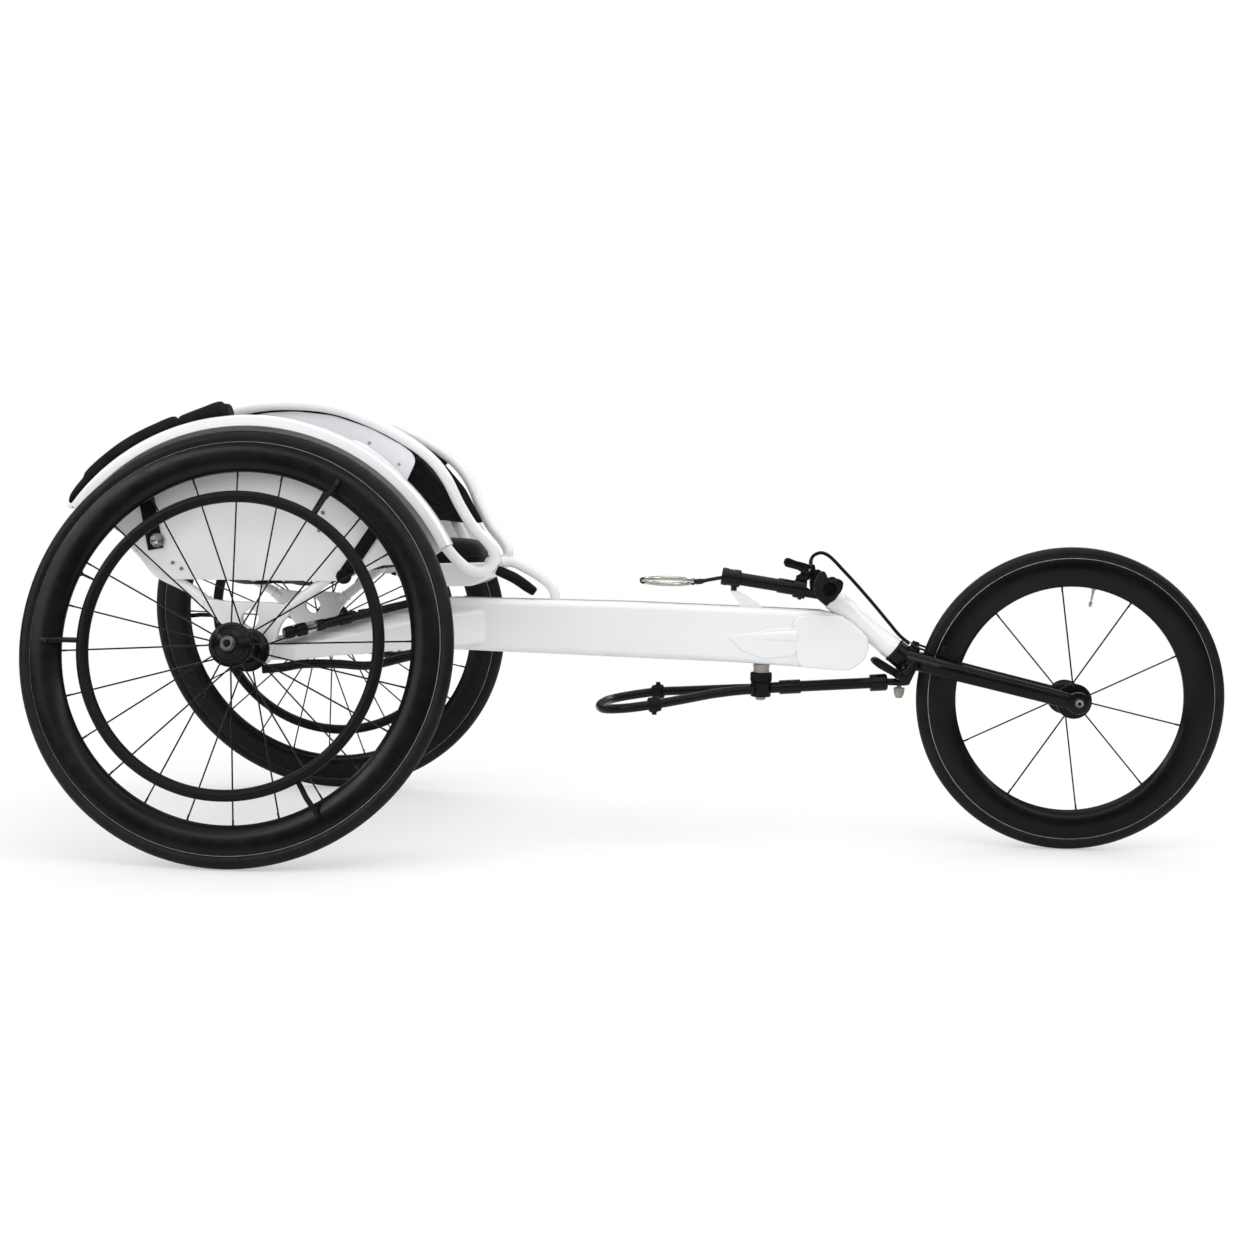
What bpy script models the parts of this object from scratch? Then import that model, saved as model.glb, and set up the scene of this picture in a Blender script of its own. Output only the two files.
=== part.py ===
"""Racing wheelchair with three wheels, cambered rear wheels, a bent-tube seat cage and a tiller.

Metres, +Z up, +X forward. The chair is laid out from its rear axle line and from the lower end of
its head tube, and stands with the middle of its footprint on the world's origin.
"""
import math

import bmesh
import bpy
from mathutils import Matrix, Vector

for old in list(bpy.data.objects):
    bpy.data.objects.remove(old, do_unlink=True)

# Clearances between pieces
GAP = 0.0003
RUNNING = 0.0005

# Wheels
WHEELBASE = 1.32
CAMBER = math.radians(11.0)
HALF_TRACK = 0.27
REAR_RADIUS = 0.335
REAR_TYRE_HEIGHT = 0.020
REAR_RIM_DEPTH = 0.045
REAR_SPOKES = 24
REAR_FACETS = 32
FRONT_RADIUS = 0.2525
FRONT_TYRE_HEIGHT = 0.019
FRONT_RIM_DEPTH = 0.0465
FRONT_SPOKES = 10
FRONT_FACETS = 28
TYRE_HALF_WIDTH = 0.0115
TREAD_HALF_WIDTH = 0.003
RIM_HALF_WIDTH = 0.012
SPOKE_RADIUS = 0.0011

# Rear hubs, measured along the wheel's own axis from the rim's mid plane
HUB_BORE = 0.0070
HUB_FLANGE = 0.034
HUB_OUTER_END = 0.034
HUB_INNER_END = 0.066
OUTER_FLANGE_AT = 0.020
INNER_FLANGE_AT = 0.060
PIN_RADIUS = 0.00635
PIN_END = 0.096
BUTTON_RADIUS = 0.0040
BUTTON_TRAVEL = 0.003

# Handrims
HANDRIM_RADIUS = 0.226
HANDRIM_TUBE = 0.009
HANDRIM_OFFSET = 0.026
HANDRIM_TABS = 3
HANDRIM_TAB_PHASE = math.radians(180.0)

# Front hub and axle
FRONT_HUB_HALF = 0.047
FRONT_FLANGE = 0.029
FRONT_FLANGE_AT = 0.0315
FRONT_AXLE_RADIUS = 0.0050
DROPOUT_THICKNESS = 0.013

# Steering axis and fork
HEAD_ANGLE = math.radians(38.5)
FORK_CLEARANCE = 0.0241
FORK_OFFSET = 0.1233
HEAD_TUBE_LENGTH = 0.1317
HEAD_TUBE_RADIUS = 0.0190
HEAD_TUBE_WALL = 0.0035
STEERER_RADIUS = 0.0125
CROWN_RADIUS = 0.0205
CROWN_HEIGHT = 0.034
CROWN_DROP = 0.0215

# Main beam
BEAM_HALF_WIDTH = 0.030
BEAM_CORNER = 0.012
NOSE_HALF_WIDTH = 0.0335
FIN_HALF_WIDTH = 0.0325
REST_HALF_WIDTH = 0.005

# Rear frame
AXLE_TUBE_RADIUS = 0.017
AXLE_TUBE_BORE = 0.013
YOKE_INNER = 0.170
YOKE_THICKNESS = 0.014
STRUT_RADIUS = 0.0085
BRACE_RADIUS = 0.0072

# Seat cage and fenders
CAGE_TUBE = 0.009
GUARD_INNER = 0.175
GUARD_THICKNESS = 0.003
FENDER_CLEARANCE = 0.018
FENDER_LIP = 0.0105
FENDER_SKIRT = 0.0165
FENDER_START = math.radians(27.0)
FENDER_END = math.radians(143.5)
FENDER_STEPS = 16
PAD_THICKNESS = 0.0165
PANEL_INNER = 0.1277
PANEL_THICKNESS = 0.0028
SLING_HALF = 0.1248
SLING_THICKNESS = 0.005

# Tiller and brake
TILLER_SLOPE = math.radians(8.0)
TILLER_TUBE = 0.0108
SLEEVE_RADIUS = 0.0125
CLAMP_RADIUS = 0.0148
CROSS_BAR_RADIUS = 0.011
RING_RADIUS = 0.0425
RING_TUBE = 0.0036
RING_LEAN = math.radians(-9.0)
CABLE_RADIUS = 0.0025
LEVER_PIN_RADIUS = 0.0022

# Track lever
POST_RADIUS = 0.0138
COLLAR_RADIUS = 0.0182
POST_PIN = 0.0058
LOOP_TUBE = 0.0078
ROD_RADIUS = 0.0092
BALL_RADIUS = 0.0065
BALL_CLEARANCE = 0.0007

SIDES = (("left", 1), ("right", -1))

# Places that follow from the sizes above
AXLE_Z = REAR_RADIUS * math.cos(CAMBER) + TREAD_HALF_WIDTH * math.sin(CAMBER)
CHAIR_X = -(WHEELBASE + FRONT_RADIUS - REAR_RADIUS) / 2
FORWARD_UP = Vector((math.sin(HEAD_ANGLE), 0, math.cos(HEAD_ANGLE)))
STEER_UP = Vector((-math.cos(HEAD_ANGLE), 0, math.sin(HEAD_ANGLE)))
FRONT_AXLE = Vector((WHEELBASE, 0, FRONT_RADIUS))
FORK_LENGTH = FRONT_RADIUS + FORK_CLEARANCE
HEAD_LOW = FRONT_AXLE + STEER_UP * FORK_LENGTH - FORWARD_UP * FORK_OFFSET
REAR_RIM_OUTER = REAR_RADIUS - REAR_TYRE_HEIGHT
REAR_RIM_INNER = REAR_RIM_OUTER - REAR_RIM_DEPTH
FRONT_RIM_OUTER = FRONT_RADIUS - FRONT_TYRE_HEIGHT
FRONT_RIM_INNER = FRONT_RIM_OUTER - FRONT_RIM_DEPTH
AXLE_TUBE_DROP = (INNER_FLANGE_AT + 0.040) * math.sin(CAMBER)
FENDER_RADIUS = REAR_RADIUS + FENDER_CLEARANCE

WHITE = (0.86, 0.87, 0.89)
GREY_WHITE = (0.74, 0.75, 0.77)
BLACK = (0.015, 0.015, 0.016)
RUBBER = (0.02, 0.02, 0.02)
SILVER = (0.62, 0.61, 0.58)
GREY = (0.33, 0.31, 0.28)


def rear(x, y, rise):
    """A place given from the middle of the rear axle line."""
    return Vector((x, y, AXLE_Z + rise))


def front(x, y, rise):
    """A place given from the head tube's lower end."""
    return HEAD_LOW + Vector((x, y, rise))


def steer(forward, y, up):
    """A place given across and along the steering axis, from the head tube's lower end."""
    return HEAD_LOW + FORWARD_UP * forward + Vector((0, y, 0)) + STEER_UP * up


def add_empty(name, location, rotation=(0, 0, 0), parent=None):
    empty = bpy.data.objects.new(name, None)
    bpy.context.collection.objects.link(empty)
    empty.location = location
    empty.rotation_euler = rotation
    empty.parent = parent
    return empty


CHAIR = add_empty("chair", (CHAIR_X, 0, 0))
STEERING = add_empty("steering_axis", HEAD_LOW, parent=CHAIR)
FRONT_HUB_LINE = add_empty("front_wheel_axis", FRONT_AXLE, (math.radians(90), 0, 0), CHAIR)
TRACK_PIVOT_AT = front(-0.2183, 0, -0.0697)
TRACK_PIVOT = add_empty("track_lever_axis", TRACK_PIVOT_AT, parent=CHAIR)
LEVER_PIVOT_AT = front(-0.1433, 0, 0.1293)
LEVER_PIVOT = add_empty("brake_lever_axis", LEVER_PIVOT_AT, parent=CHAIR)
REAR_HUB_LINES = {}
for side_name, side in SIDES:
    tilt = -side * (math.radians(90) - CAMBER)
    REAR_HUB_LINES[side] = add_empty(
        "rear_wheel_axis_" + side_name, rear(0, side * HALF_TRACK, 0), (tilt, 0, 0), CHAIR)


def wheel_matrix(side):
    """Takes a rear wheel's own frame, +Z outward along its axle, to the chair's frame."""
    empty = REAR_HUB_LINES[side]
    return Matrix.Translation(empty.location) @ empty.rotation_euler.to_matrix().to_4x4()


def frame_at(origin, along):
    """A frame at origin whose +Z runs along a direction in the chair's XZ plane or across it."""
    z_axis = along.normalized()
    y_axis = Vector((0, 1, 0)) if abs(z_axis.y) < 0.9 else Vector((0, 0, 1))
    x_axis = y_axis.cross(z_axis).normalized()
    y_axis = z_axis.cross(x_axis)
    turn = Matrix((x_axis, y_axis, z_axis)).transposed().to_4x4()
    return Matrix.Translation(origin) @ turn


STEER_FRAME = frame_at(HEAD_LOW, STEER_UP)


def revolve(profile, facets, start=None, matrix=None):
    """Turns a (radius, height) outline about +Z. The flats lie on the stated radius."""
    bm = bmesh.new() if start is None else start
    grow = 1 / math.cos(math.pi / facets)
    half = math.pi / facets
    new = [bm.verts.new((r * grow * math.cos(half), r * grow * math.sin(half), z)) for r, z in profile]
    edges = [bm.edges.new(pair) for pair in zip(new, new[1:])]
    if profile[0][0] > 0 or profile[-1][0] > 0:
        edges.append(bm.edges.new((new[-1], new[0])))
    before = set(bm.verts) - set(new)
    bmesh.ops.spin(bm, geom=new + edges, cent=(0, 0, 0), axis=(0, 0, 1), angle=math.tau,
                   steps=facets, use_merge=True, use_duplicate=False)
    made = [v for v in bm.verts if v not in before]
    bmesh.ops.remove_doubles(bm, verts=made, dist=0.000005)
    made = [v for v in bm.verts if v not in before]
    if matrix is not None:
        bmesh.ops.transform(bm, matrix=matrix, verts=made)
    bmesh.ops.recalc_face_normals(bm, faces=bm.faces)
    return bm


def loft(rings, start=None):
    """A closed solid through rings of points, one ring after another, with flat ends."""
    bm = bmesh.new() if start is None else start
    loops = [[bm.verts.new(p) for p in ring] for ring in rings]
    count = len(loops[0])
    for low, high in zip(loops, loops[1:]):
        for i in range(count):
            j = (i + 1) % count
            bm.faces.new((low[i], low[j], high[j], high[i]))
    bm.faces.new(list(reversed(loops[0])))
    bm.faces.new(loops[-1])
    bmesh.ops.recalc_face_normals(bm, faces=bm.faces)
    return bm


def sweep(points, radius, sides=8, start=None):
    """A round bar of one radius along a list of points."""
    points = [Vector(p) for p in points]
    radii = radius if isinstance(radius, (list, tuple)) else [radius] * len(points)
    rings = []
    normal = None
    for i, point in enumerate(points):
        ahead = points[min(i + 1, len(points) - 1)]
        behind = points[max(i - 1, 0)]
        tangent = (ahead - behind).normalized()
        if normal is None:
            helper = Vector((0, 1, 0)) if abs(tangent.y) < 0.9 else Vector((0, 0, 1))
            normal = tangent.cross(helper).normalized()
        normal = (normal - tangent * normal.dot(tangent)).normalized()
        other = tangent.cross(normal)
        turn = [math.tau * (k + 0.5) / sides for k in range(sides)]
        rings.append([point + (normal * math.cos(a) + other * math.sin(a)) * radii[i] for a in turn])
    return loft(rings, start)


def smooth_route(points, step):
    """Points about a step apart on the smooth curve through the given ones."""
    points = [Vector(p) for p in points]
    padded = [points[0] * 2 - points[1]] + points + [points[-1] * 2 - points[-2]]
    route = [points[0]]
    for a, b, c, d in zip(padded, padded[1:], padded[2:], padded[3:]):
        pieces = max(1, round((c - b).length / step))
        for k in range(1, pieces + 1):
            t = k / pieces
            route.append(0.5 * ((2 * b) + (c - a) * t + (2 * a - 5 * b + 4 * c - d) * t * t
                                + (3 * b - a - 3 * c + d) * t * t * t))
    return route


def prism(outline, low, high, bevel=0.0, start=None, axis="y"):
    """An outline drawn in XZ and pushed from y = low to y = high, or drawn in XY and pushed along Z."""
    bm = bmesh.new() if start is None else start
    old_faces = set(bm.faces)
    if axis == "y":
        base = [bm.verts.new((x, low, z)) for x, z in outline]
        push = Vector((0, high - low, 0))
    else:
        base = [bm.verts.new((x, y, low)) for x, y in outline]
        push = Vector((0, 0, high - low))
    face = bm.faces.new(base)
    moved = bmesh.ops.extrude_face_region(bm, geom=[face])["geom"]
    bmesh.ops.translate(bm, vec=push, verts=[g for g in moved if isinstance(g, bmesh.types.BMVert)])
    bmesh.ops.recalc_face_normals(bm, faces=bm.faces)
    if bevel:
        new_faces = [f for f in bm.faces if f not in old_faces]
        across = "y" if axis == "y" else "z"
        rim = {e for f in new_faces for e in f.edges
               if abs(getattr(e.verts[0].co, across) - getattr(e.verts[1].co, across)) < 0.00001}
        bmesh.ops.bevel(bm, geom=list(rim), offset=bevel, segments=1, profile=0.5,
                        affect="EDGES", material=-1)
    return bm


def drum(bm, center, along, radius, length, facets=12):
    """A plain round bar centred on a point."""
    bmesh.ops.create_cone(bm, cap_ends=True, segments=facets, radius1=radius, radius2=radius, depth=length,
                          matrix=frame_at(center, along))
    return bm


def finish(name, bm, color, rough=0.5, metal=0.0, parent=CHAIR, local=False, sharp=35.0):
    """Makes one named object with its own finish, its origin on its parent."""
    if parent is not CHAIR and not local:
        bmesh.ops.translate(bm, vec=-parent.location, verts=bm.verts)
    mesh = bpy.data.meshes.new(name)
    bm.to_mesh(mesh)
    bm.free()
    mesh.shade_smooth()
    mesh.set_sharp_from_angle(angle=math.radians(sharp))
    piece = bpy.data.objects.new(name, mesh)
    bpy.context.collection.objects.link(piece)
    piece.parent = parent
    material = bpy.data.materials.new(name + "_finish")
    material.use_nodes = True
    shader = material.node_tree.nodes["Principled BSDF"]
    shader.inputs["Base Color"].default_value = (*color, 1)
    shader.inputs["Roughness"].default_value = rough
    shader.inputs["Metallic"].default_value = metal
    mesh.materials.append(material)
    return piece


def tool(piece, bm, operation, local=False):
    """Joins a hidden shape to a piece, or cuts it out of the piece."""
    if piece.parent is not CHAIR and not local:
        bmesh.ops.translate(bm, vec=-piece.parent.location, verts=bm.verts)
    bmesh.ops.recalc_face_normals(bm, faces=bm.faces)
    mesh = bpy.data.meshes.new(piece.name + "_tool")
    bm.to_mesh(mesh)
    bm.free()
    shape = bpy.data.objects.new(piece.name + "_tool", mesh)
    bpy.context.collection.objects.link(shape)
    shape.parent = piece.parent
    shape.hide_render = True
    shape.display_type = "WIRE"
    modifier = piece.modifiers.new(operation.lower(), "BOOLEAN")
    modifier.operation = operation
    modifier.solver = "EXACT"
    modifier.object = shape
    return piece


# Rear wheels


def tyre_profile(radius, rim_radius):
    half = TYRE_HALF_WIDTH
    seat = rim_radius + GAP
    height = radius - seat
    upper = [(seat, 0.83 * half), (seat + 0.32 * height, half), (radius - 0.25 * height, 0.74 * half),
             (radius, TREAD_HALF_WIDTH)]
    return upper + [(r, -z) for r, z in reversed(upper)]


def rim_profile(outer, depth):
    half = RIM_HALF_WIDTH
    upper = [(outer, 0.88 * half), (outer - 0.40 * depth, half), (outer - 0.71 * depth, 0.82 * half),
             (outer - depth, 0.34 * half)]
    return upper + [(r, -z) for r, z in reversed(upper)]


def spokes(count, hub_radius, rim_radius, outward, inward, phase):
    """Straight spokes that go in turn to the outer flange and to the inner one."""
    bm = bmesh.new()
    for i in range(count):
        angle = phase + math.tau * i / count
        radial = Vector((math.cos(angle), math.sin(angle), 0))
        flange = outward if i % 2 == 0 else -inward
        inner = radial * (hub_radius - 0.002) + Vector((0, 0, flange))
        outer = radial * (rim_radius - GAP)
        sweep([inner, outer], SPOKE_RADIUS, 4, bm)
    return bm


def valve(bm, rim_radius, angle, length):
    radial = Vector((math.cos(angle), math.sin(angle), 0))
    sweep([radial * (rim_radius + 0.002), radial * (rim_radius - length)], 0.003, 6, bm)
    return bm


def rear_hub_profile():
    neck = OUTER_FLANGE_AT - 0.0065
    return [(HUB_BORE, -HUB_INNER_END), (0.015, -HUB_INNER_END), (0.017, -INNER_FLANGE_AT - 0.0025),
            (HUB_FLANGE, -INNER_FLANGE_AT - 0.002), (HUB_FLANGE, -INNER_FLANGE_AT + 0.002),
            (0.0195, -INNER_FLANGE_AT + 0.007), (0.0195, neck), (HUB_FLANGE, OUTER_FLANGE_AT - 0.002),
            (HUB_FLANGE, OUTER_FLANGE_AT + 0.002), (0.026, OUTER_FLANGE_AT + 0.006),
            (0.014, HUB_OUTER_END - 0.003), (0.013, HUB_OUTER_END), (HUB_BORE, HUB_OUTER_END)]


def handrim_profile():
    return [(HANDRIM_RADIUS + HANDRIM_TUBE * math.cos(a), HANDRIM_OFFSET + HANDRIM_TUBE * math.sin(a))
            for a in [math.tau * k / 6 for k in range(6)]]


def handrim_tabs():
    """Bent straps that carry the handrim from the flank of the rim."""
    foot_low = REAR_RIM_OUTER - 0.75 * REAR_RIM_DEPTH
    foot_high = REAR_RIM_OUTER - 0.40 * REAR_RIM_DEPTH
    seat = RIM_HALF_WIDTH + GAP
    strap = 0.003
    bend = foot_low - 0.022
    outline = [(HANDRIM_RADIUS + 0.002, HANDRIM_OFFSET - 0.5 * strap), (bend, HANDRIM_OFFSET - 0.5 * strap),
               (foot_low, seat), (foot_high, seat), (foot_high, seat + strap),
               (foot_low + 0.002, seat + strap), (bend + 0.002, HANDRIM_OFFSET + 0.5 * strap),
               (HANDRIM_RADIUS + 0.002, HANDRIM_OFFSET + 0.5 * strap)]
    bm = bmesh.new()
    for k in range(HANDRIM_TABS):
        spin = Matrix.Rotation(HANDRIM_TAB_PHASE + math.tau * k / HANDRIM_TABS, 4, "Z")
        known = set(bm.verts)
        prism(outline, -0.006, 0.006, start=bm)
        bmesh.ops.transform(bm, matrix=spin, verts=[v for v in bm.verts if v not in known])
    return bm


def release_axle_profile():
    head = HUB_OUTER_END + GAP
    recess = head + 0.007 - 0.0115
    return [(0, -PIN_END), (PIN_RADIUS, -PIN_END), (PIN_RADIUS, head), (0.0115, head),
            (0.0115, head + 0.0055), (0.0100, head + 0.007), (BUTTON_RADIUS + RUNNING, head + 0.007),
            (BUTTON_RADIUS + RUNNING, recess), (0, recess)]


def button_profile():
    head = HUB_OUTER_END + GAP
    floor = head + 0.007 - 0.0115
    return [(0, floor + BUTTON_TRAVEL + GAP), (BUTTON_RADIUS, floor + BUTTON_TRAVEL + GAP),
            (BUTTON_RADIUS, head + 0.0075), (0.8 * BUTTON_RADIUS, head + 0.0085), (0, head + 0.0085)]


SPOKE_PHASE = math.radians(3.0)
VALVE_ANGLE = math.radians(157.0)
for side_name, side in SIDES:
    hub_line = REAR_HUB_LINES[side]
    finish("rear_tyre_" + side_name, revolve(tyre_profile(REAR_RADIUS, REAR_RIM_OUTER), REAR_FACETS),
           RUBBER, 0.75, 0, hub_line, True)
    rim = revolve(rim_profile(REAR_RIM_OUTER, REAR_RIM_DEPTH), REAR_FACETS)
    rim = finish("rear_rim_" + side_name, rim, BLACK, 0.3, 0, hub_line, True)
    tool(rim, valve(bmesh.new(), REAR_RIM_INNER, -side * VALVE_ANGLE, 0.042), "UNION", True)
    hub = finish("rear_hub_" + side_name, revolve(rear_hub_profile(), 12), BLACK, 0.35, 0.3, hub_line, True)
    tool(hub, spokes(REAR_SPOKES, HUB_FLANGE, REAR_RIM_INNER, OUTER_FLANGE_AT, INNER_FLANGE_AT, SPOKE_PHASE),
         "UNION", True)
    handrim = finish("handrim_" + side_name, revolve(handrim_profile(), REAR_FACETS), BLACK, 0.6, 0,
                     hub_line, True)
    tool(handrim, handrim_tabs(), "UNION", True)
    finish("release_button_" + side_name, revolve(button_profile(), 8), BLACK, 0.4, 0, hub_line, True)
    finish("quick_release_axle_" + side_name, revolve(release_axle_profile(), 12), SILVER, 0.3, 1, hub_line,
           True)

# Front wheel


def front_hub_profile():
    half = FRONT_HUB_HALF
    flange = FRONT_FLANGE_AT
    bore = FRONT_AXLE_RADIUS + 0.0010
    upper = [(bore, half), (0.011, half), (0.013, flange + 0.004), (FRONT_FLANGE, flange + 0.0015),
             (FRONT_FLANGE, flange - 0.0015), (0.013, flange - 0.007)]
    return upper + [(r, -z) for r, z in reversed(upper)]


def front_axle_profile():
    shaft = FRONT_AXLE_RADIUS
    face = FRONT_HUB_HALF + RUNNING + DROPOUT_THICKNESS + GAP
    upper = [(0, face + 0.006), (0.0065, face + 0.006), (0.0095, face + 0.003), (0.0095, face), (shaft, face)]
    return upper + [(r, -z) for r, z in reversed(upper)]


finish("front_tyre", revolve(tyre_profile(FRONT_RADIUS, FRONT_RIM_OUTER), FRONT_FACETS),
       RUBBER, 0.75, 0, FRONT_HUB_LINE, True)
front_rim = finish("front_rim", revolve(rim_profile(FRONT_RIM_OUTER, FRONT_RIM_DEPTH), FRONT_FACETS),
                   BLACK, 0.3, 0, FRONT_HUB_LINE, True)
tool(front_rim, valve(bmesh.new(), FRONT_RIM_INNER, math.radians(80), 0.032), "UNION", True)
front_hub = finish("front_hub", revolve(front_hub_profile(), 12), BLACK, 0.35, 0.3, FRONT_HUB_LINE, True)
tool(front_hub,
     spokes(FRONT_SPOKES, FRONT_FLANGE, FRONT_RIM_INNER, FRONT_FLANGE_AT, FRONT_FLANGE_AT, math.radians(24)),
     "UNION", True)
finish("front_axle", revolve(front_axle_profile(), 12), SILVER, 0.3, 1, FRONT_HUB_LINE, True)

# Head tube, bearings and fork

head_tube_bore = HEAD_TUBE_RADIUS - HEAD_TUBE_WALL
finish("head_tube",
       revolve([(head_tube_bore, 0), (HEAD_TUBE_RADIUS, 0), (HEAD_TUBE_RADIUS, HEAD_TUBE_LENGTH),
                (head_tube_bore, HEAD_TUBE_LENGTH)], 20, matrix=STEER_FRAME), WHITE, 0.25)
race_in = STEERER_RADIUS + RUNNING
race_out = head_tube_bore - RUNNING
bearing_end = HEAD_TUBE_LENGTH - GAP
bearings = [(race_in, GAP), (race_out, GAP), (race_out, 0.009), (race_out - 0.001, 0.010),
            (race_out - 0.001, bearing_end - 0.010), (race_out, bearing_end - 0.009),
            (race_out, bearing_end), (race_in, bearing_end)]
finish("head_bearings", revolve(bearings, 16, matrix=STEER_FRAME), SILVER, 0.3, 1)

STEERER_TOP = HEAD_TUBE_LENGTH + 0.012
crown = revolve([(0, -CROWN_HEIGHT), (0.012, -CROWN_HEIGHT), (CROWN_RADIUS, -CROWN_HEIGHT + 0.006),
                 (CROWN_RADIUS, -2 * RUNNING), (STEERER_RADIUS, -2 * RUNNING),
                 (STEERER_RADIUS, STEERER_TOP), (0, STEERER_TOP)], 16, matrix=STEER_FRAME)
fork = finish("fork", crown, BLACK, 0.3, 0, STEERING)
CROWN_AT = steer(0, 0, -CROWN_DROP)
DROPOUT_MID = FRONT_HUB_HALF + RUNNING + DROPOUT_THICKNESS / 2


def fork_leg(side):
    """An oval leg that leaves the crown, spreads round the tyre and tapers to the axle."""
    reach = FRONT_AXLE - CROWN_AT
    across = reach.normalized().cross(Vector((0, 1, 0)))
    stations = [(0.0, 0.008, 0.0145, 0.0100), (0.11, 0.026, 0.0150, 0.0100), (0.22, 0.044, 0.0145, 0.0085),
                (0.50, DROPOUT_MID - 0.004, 0.0135, 0.0075), (1.0, DROPOUT_MID, 0.0125, 0.0060)]
    rings = []
    for share, spread, half_height, half_width in stations:
        center = CROWN_AT + reach * share + Vector((0, side * spread, 0))
        ring = []
        for k in range(8):
            angle = math.tau * (k + 0.5) / 8
            ring.append(center + across * half_height * math.cos(angle)
                        + Vector((0, half_width * math.sin(angle), 0)))
        rings.append(ring)
    return loft(rings)


for side_name, side in SIDES:
    tool(fork, fork_leg(side), "UNION")
    dropout = bmesh.new()
    drum(dropout, FRONT_AXLE + Vector((0, side * DROPOUT_MID, 0)), Vector((0, 1, 0)), 0.018,
         DROPOUT_THICKNESS, 16)
    tool(fork, dropout, "UNION")
axle_hole = bmesh.new()
drum(axle_hole, FRONT_AXLE, Vector((0, 1, 0)), FRONT_AXLE_RADIUS + 2 * RUNNING, 0.2, 12)
tool(fork, axle_hole, "DIFFERENCE")

# Main beam with its nose block, side fins and the rest for the tiller

BEAM_TOP = 0.0680
BEAM_TOP_MIDDLE = 0.0686
BEAM_TOP_FRONT = 0.0628
BEAM_REAR_AT = 0.285
REST_TOP = 0.0908


def beam_ring(x, top, bottom):
    """A rounded upright section across the beam, with three points to a corner."""
    ring = []
    middle = (top + bottom) / 2
    half_height = (top - bottom) / 2
    corners = ((1, 1), (-1, 1), (-1, -1), (1, -1))
    for quarter, (side_y, side_z) in enumerate(corners):
        y = side_y * (BEAM_HALF_WIDTH - BEAM_CORNER)
        z = middle + side_z * (half_height - BEAM_CORNER)
        for k in range(3):
            angle = math.radians(90 * quarter + 45 * k)
            ring.append(Vector((x, y + BEAM_CORNER * math.cos(angle), z + BEAM_CORNER * math.sin(angle))))
    return ring


beam_mid_x = 0.45 * WHEELBASE
beam_mid_z = (AXLE_Z + HEAD_LOW.z) / 2
beam_mid_top = beam_mid_z + BEAM_TOP_MIDDLE
beam_rings = [beam_ring(0.004, AXLE_Z + 0.012, AXLE_Z - 0.040),
              beam_ring(0.160, AXLE_Z + 0.045, AXLE_Z - 0.0205),
              beam_ring(BEAM_REAR_AT, AXLE_Z + BEAM_TOP, AXLE_Z - 0.0195),
              beam_ring(beam_mid_x, beam_mid_top, beam_mid_z - 0.0249)]
for ahead, top, bottom in ((-0.2568, 0.0658, -0.0277), (-0.1218, BEAM_TOP_FRONT, -0.0337),
                           (-0.0850, 0.0540, -0.0335)):
    beam_rings.append(beam_ring(HEAD_LOW.x + ahead, HEAD_LOW.z + top, HEAD_LOW.z + bottom))
main_beam = finish("main_beam", loft(beam_rings), WHITE, 0.25)


def beam_top_at(x):
    """The height of the beam's top between its rear and its middle station."""
    share = (x - BEAM_REAR_AT) / (beam_mid_x - BEAM_REAR_AT)
    return AXLE_Z + BEAM_TOP + share * (beam_mid_top - AXLE_Z - BEAM_TOP)


def front_outline(points):
    return [(HEAD_LOW.x + x, HEAD_LOW.z + z) for x, z in points]


nose = front_outline([(-0.1678, 0.0348), (-0.1638, 0.0518), (-0.1423, 0.0573), (-0.0928, 0.0553),
                      (-0.0721, 0.0455), (-0.0451, 0.0195), (-0.0438, 0.0018), (-0.0513, -0.0182),
                      (-0.0738, -0.0352), (-0.1068, -0.0347), (-0.1558, -0.0312), (-0.1618, -0.0112)])
tool(main_beam, prism(nose, -NOSE_HALF_WIDTH, NOSE_HALF_WIDTH, 0.003), "UNION")
fin = front_outline([(-0.2738, 0.0158), (-0.1978, 0.0328), (-0.1600, 0.0336), (-0.1590, 0.0118),
                     (-0.1640, -0.0125), (-0.2158, -0.0192), (-0.2542, -0.0054)])
tool(main_beam, prism(fin, -FIN_HALF_WIDTH, FIN_HALF_WIDTH, 0.0014), "UNION")
rest = front_outline([(-0.2588, 0.0598), (-0.2148, 0.0598), (-0.2268, 0.0708), (-0.2491, 0.0843),
                      (-0.2613, REST_TOP), (-0.2748, REST_TOP), (-0.2570, 0.0680)])
tool(main_beam, prism(rest, -REST_HALF_WIDTH, REST_HALF_WIDTH), "UNION")
head_cut = bmesh.new()
drum(head_cut, steer(0, 0, HEAD_TUBE_LENGTH / 2), STEER_UP, (HEAD_TUBE_RADIUS + GAP) * 1.02,
     HEAD_TUBE_LENGTH + 0.06, 20)
tool(main_beam, head_cut, "DIFFERENCE")
axle_cut = bmesh.new()
drum(axle_cut, rear(0, 0, -AXLE_TUBE_DROP), Vector((0, 1, 0)), (AXLE_TUBE_RADIUS + GAP) * 1.02, 0.1, 20)
tool(main_beam, axle_cut, "DIFFERENCE")

# Axle tube, hub yokes and frame arms

axle_tube_half = YOKE_INNER - GAP
finish("axle_tube",
       revolve([(AXLE_TUBE_BORE, -axle_tube_half), (AXLE_TUBE_RADIUS, -axle_tube_half),
                (AXLE_TUBE_RADIUS, axle_tube_half), (AXLE_TUBE_BORE, axle_tube_half)], 16,
               matrix=frame_at(rear(0, 0, -AXLE_TUBE_DROP), Vector((0, 1, 0)))), WHITE, 0.25)

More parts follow.
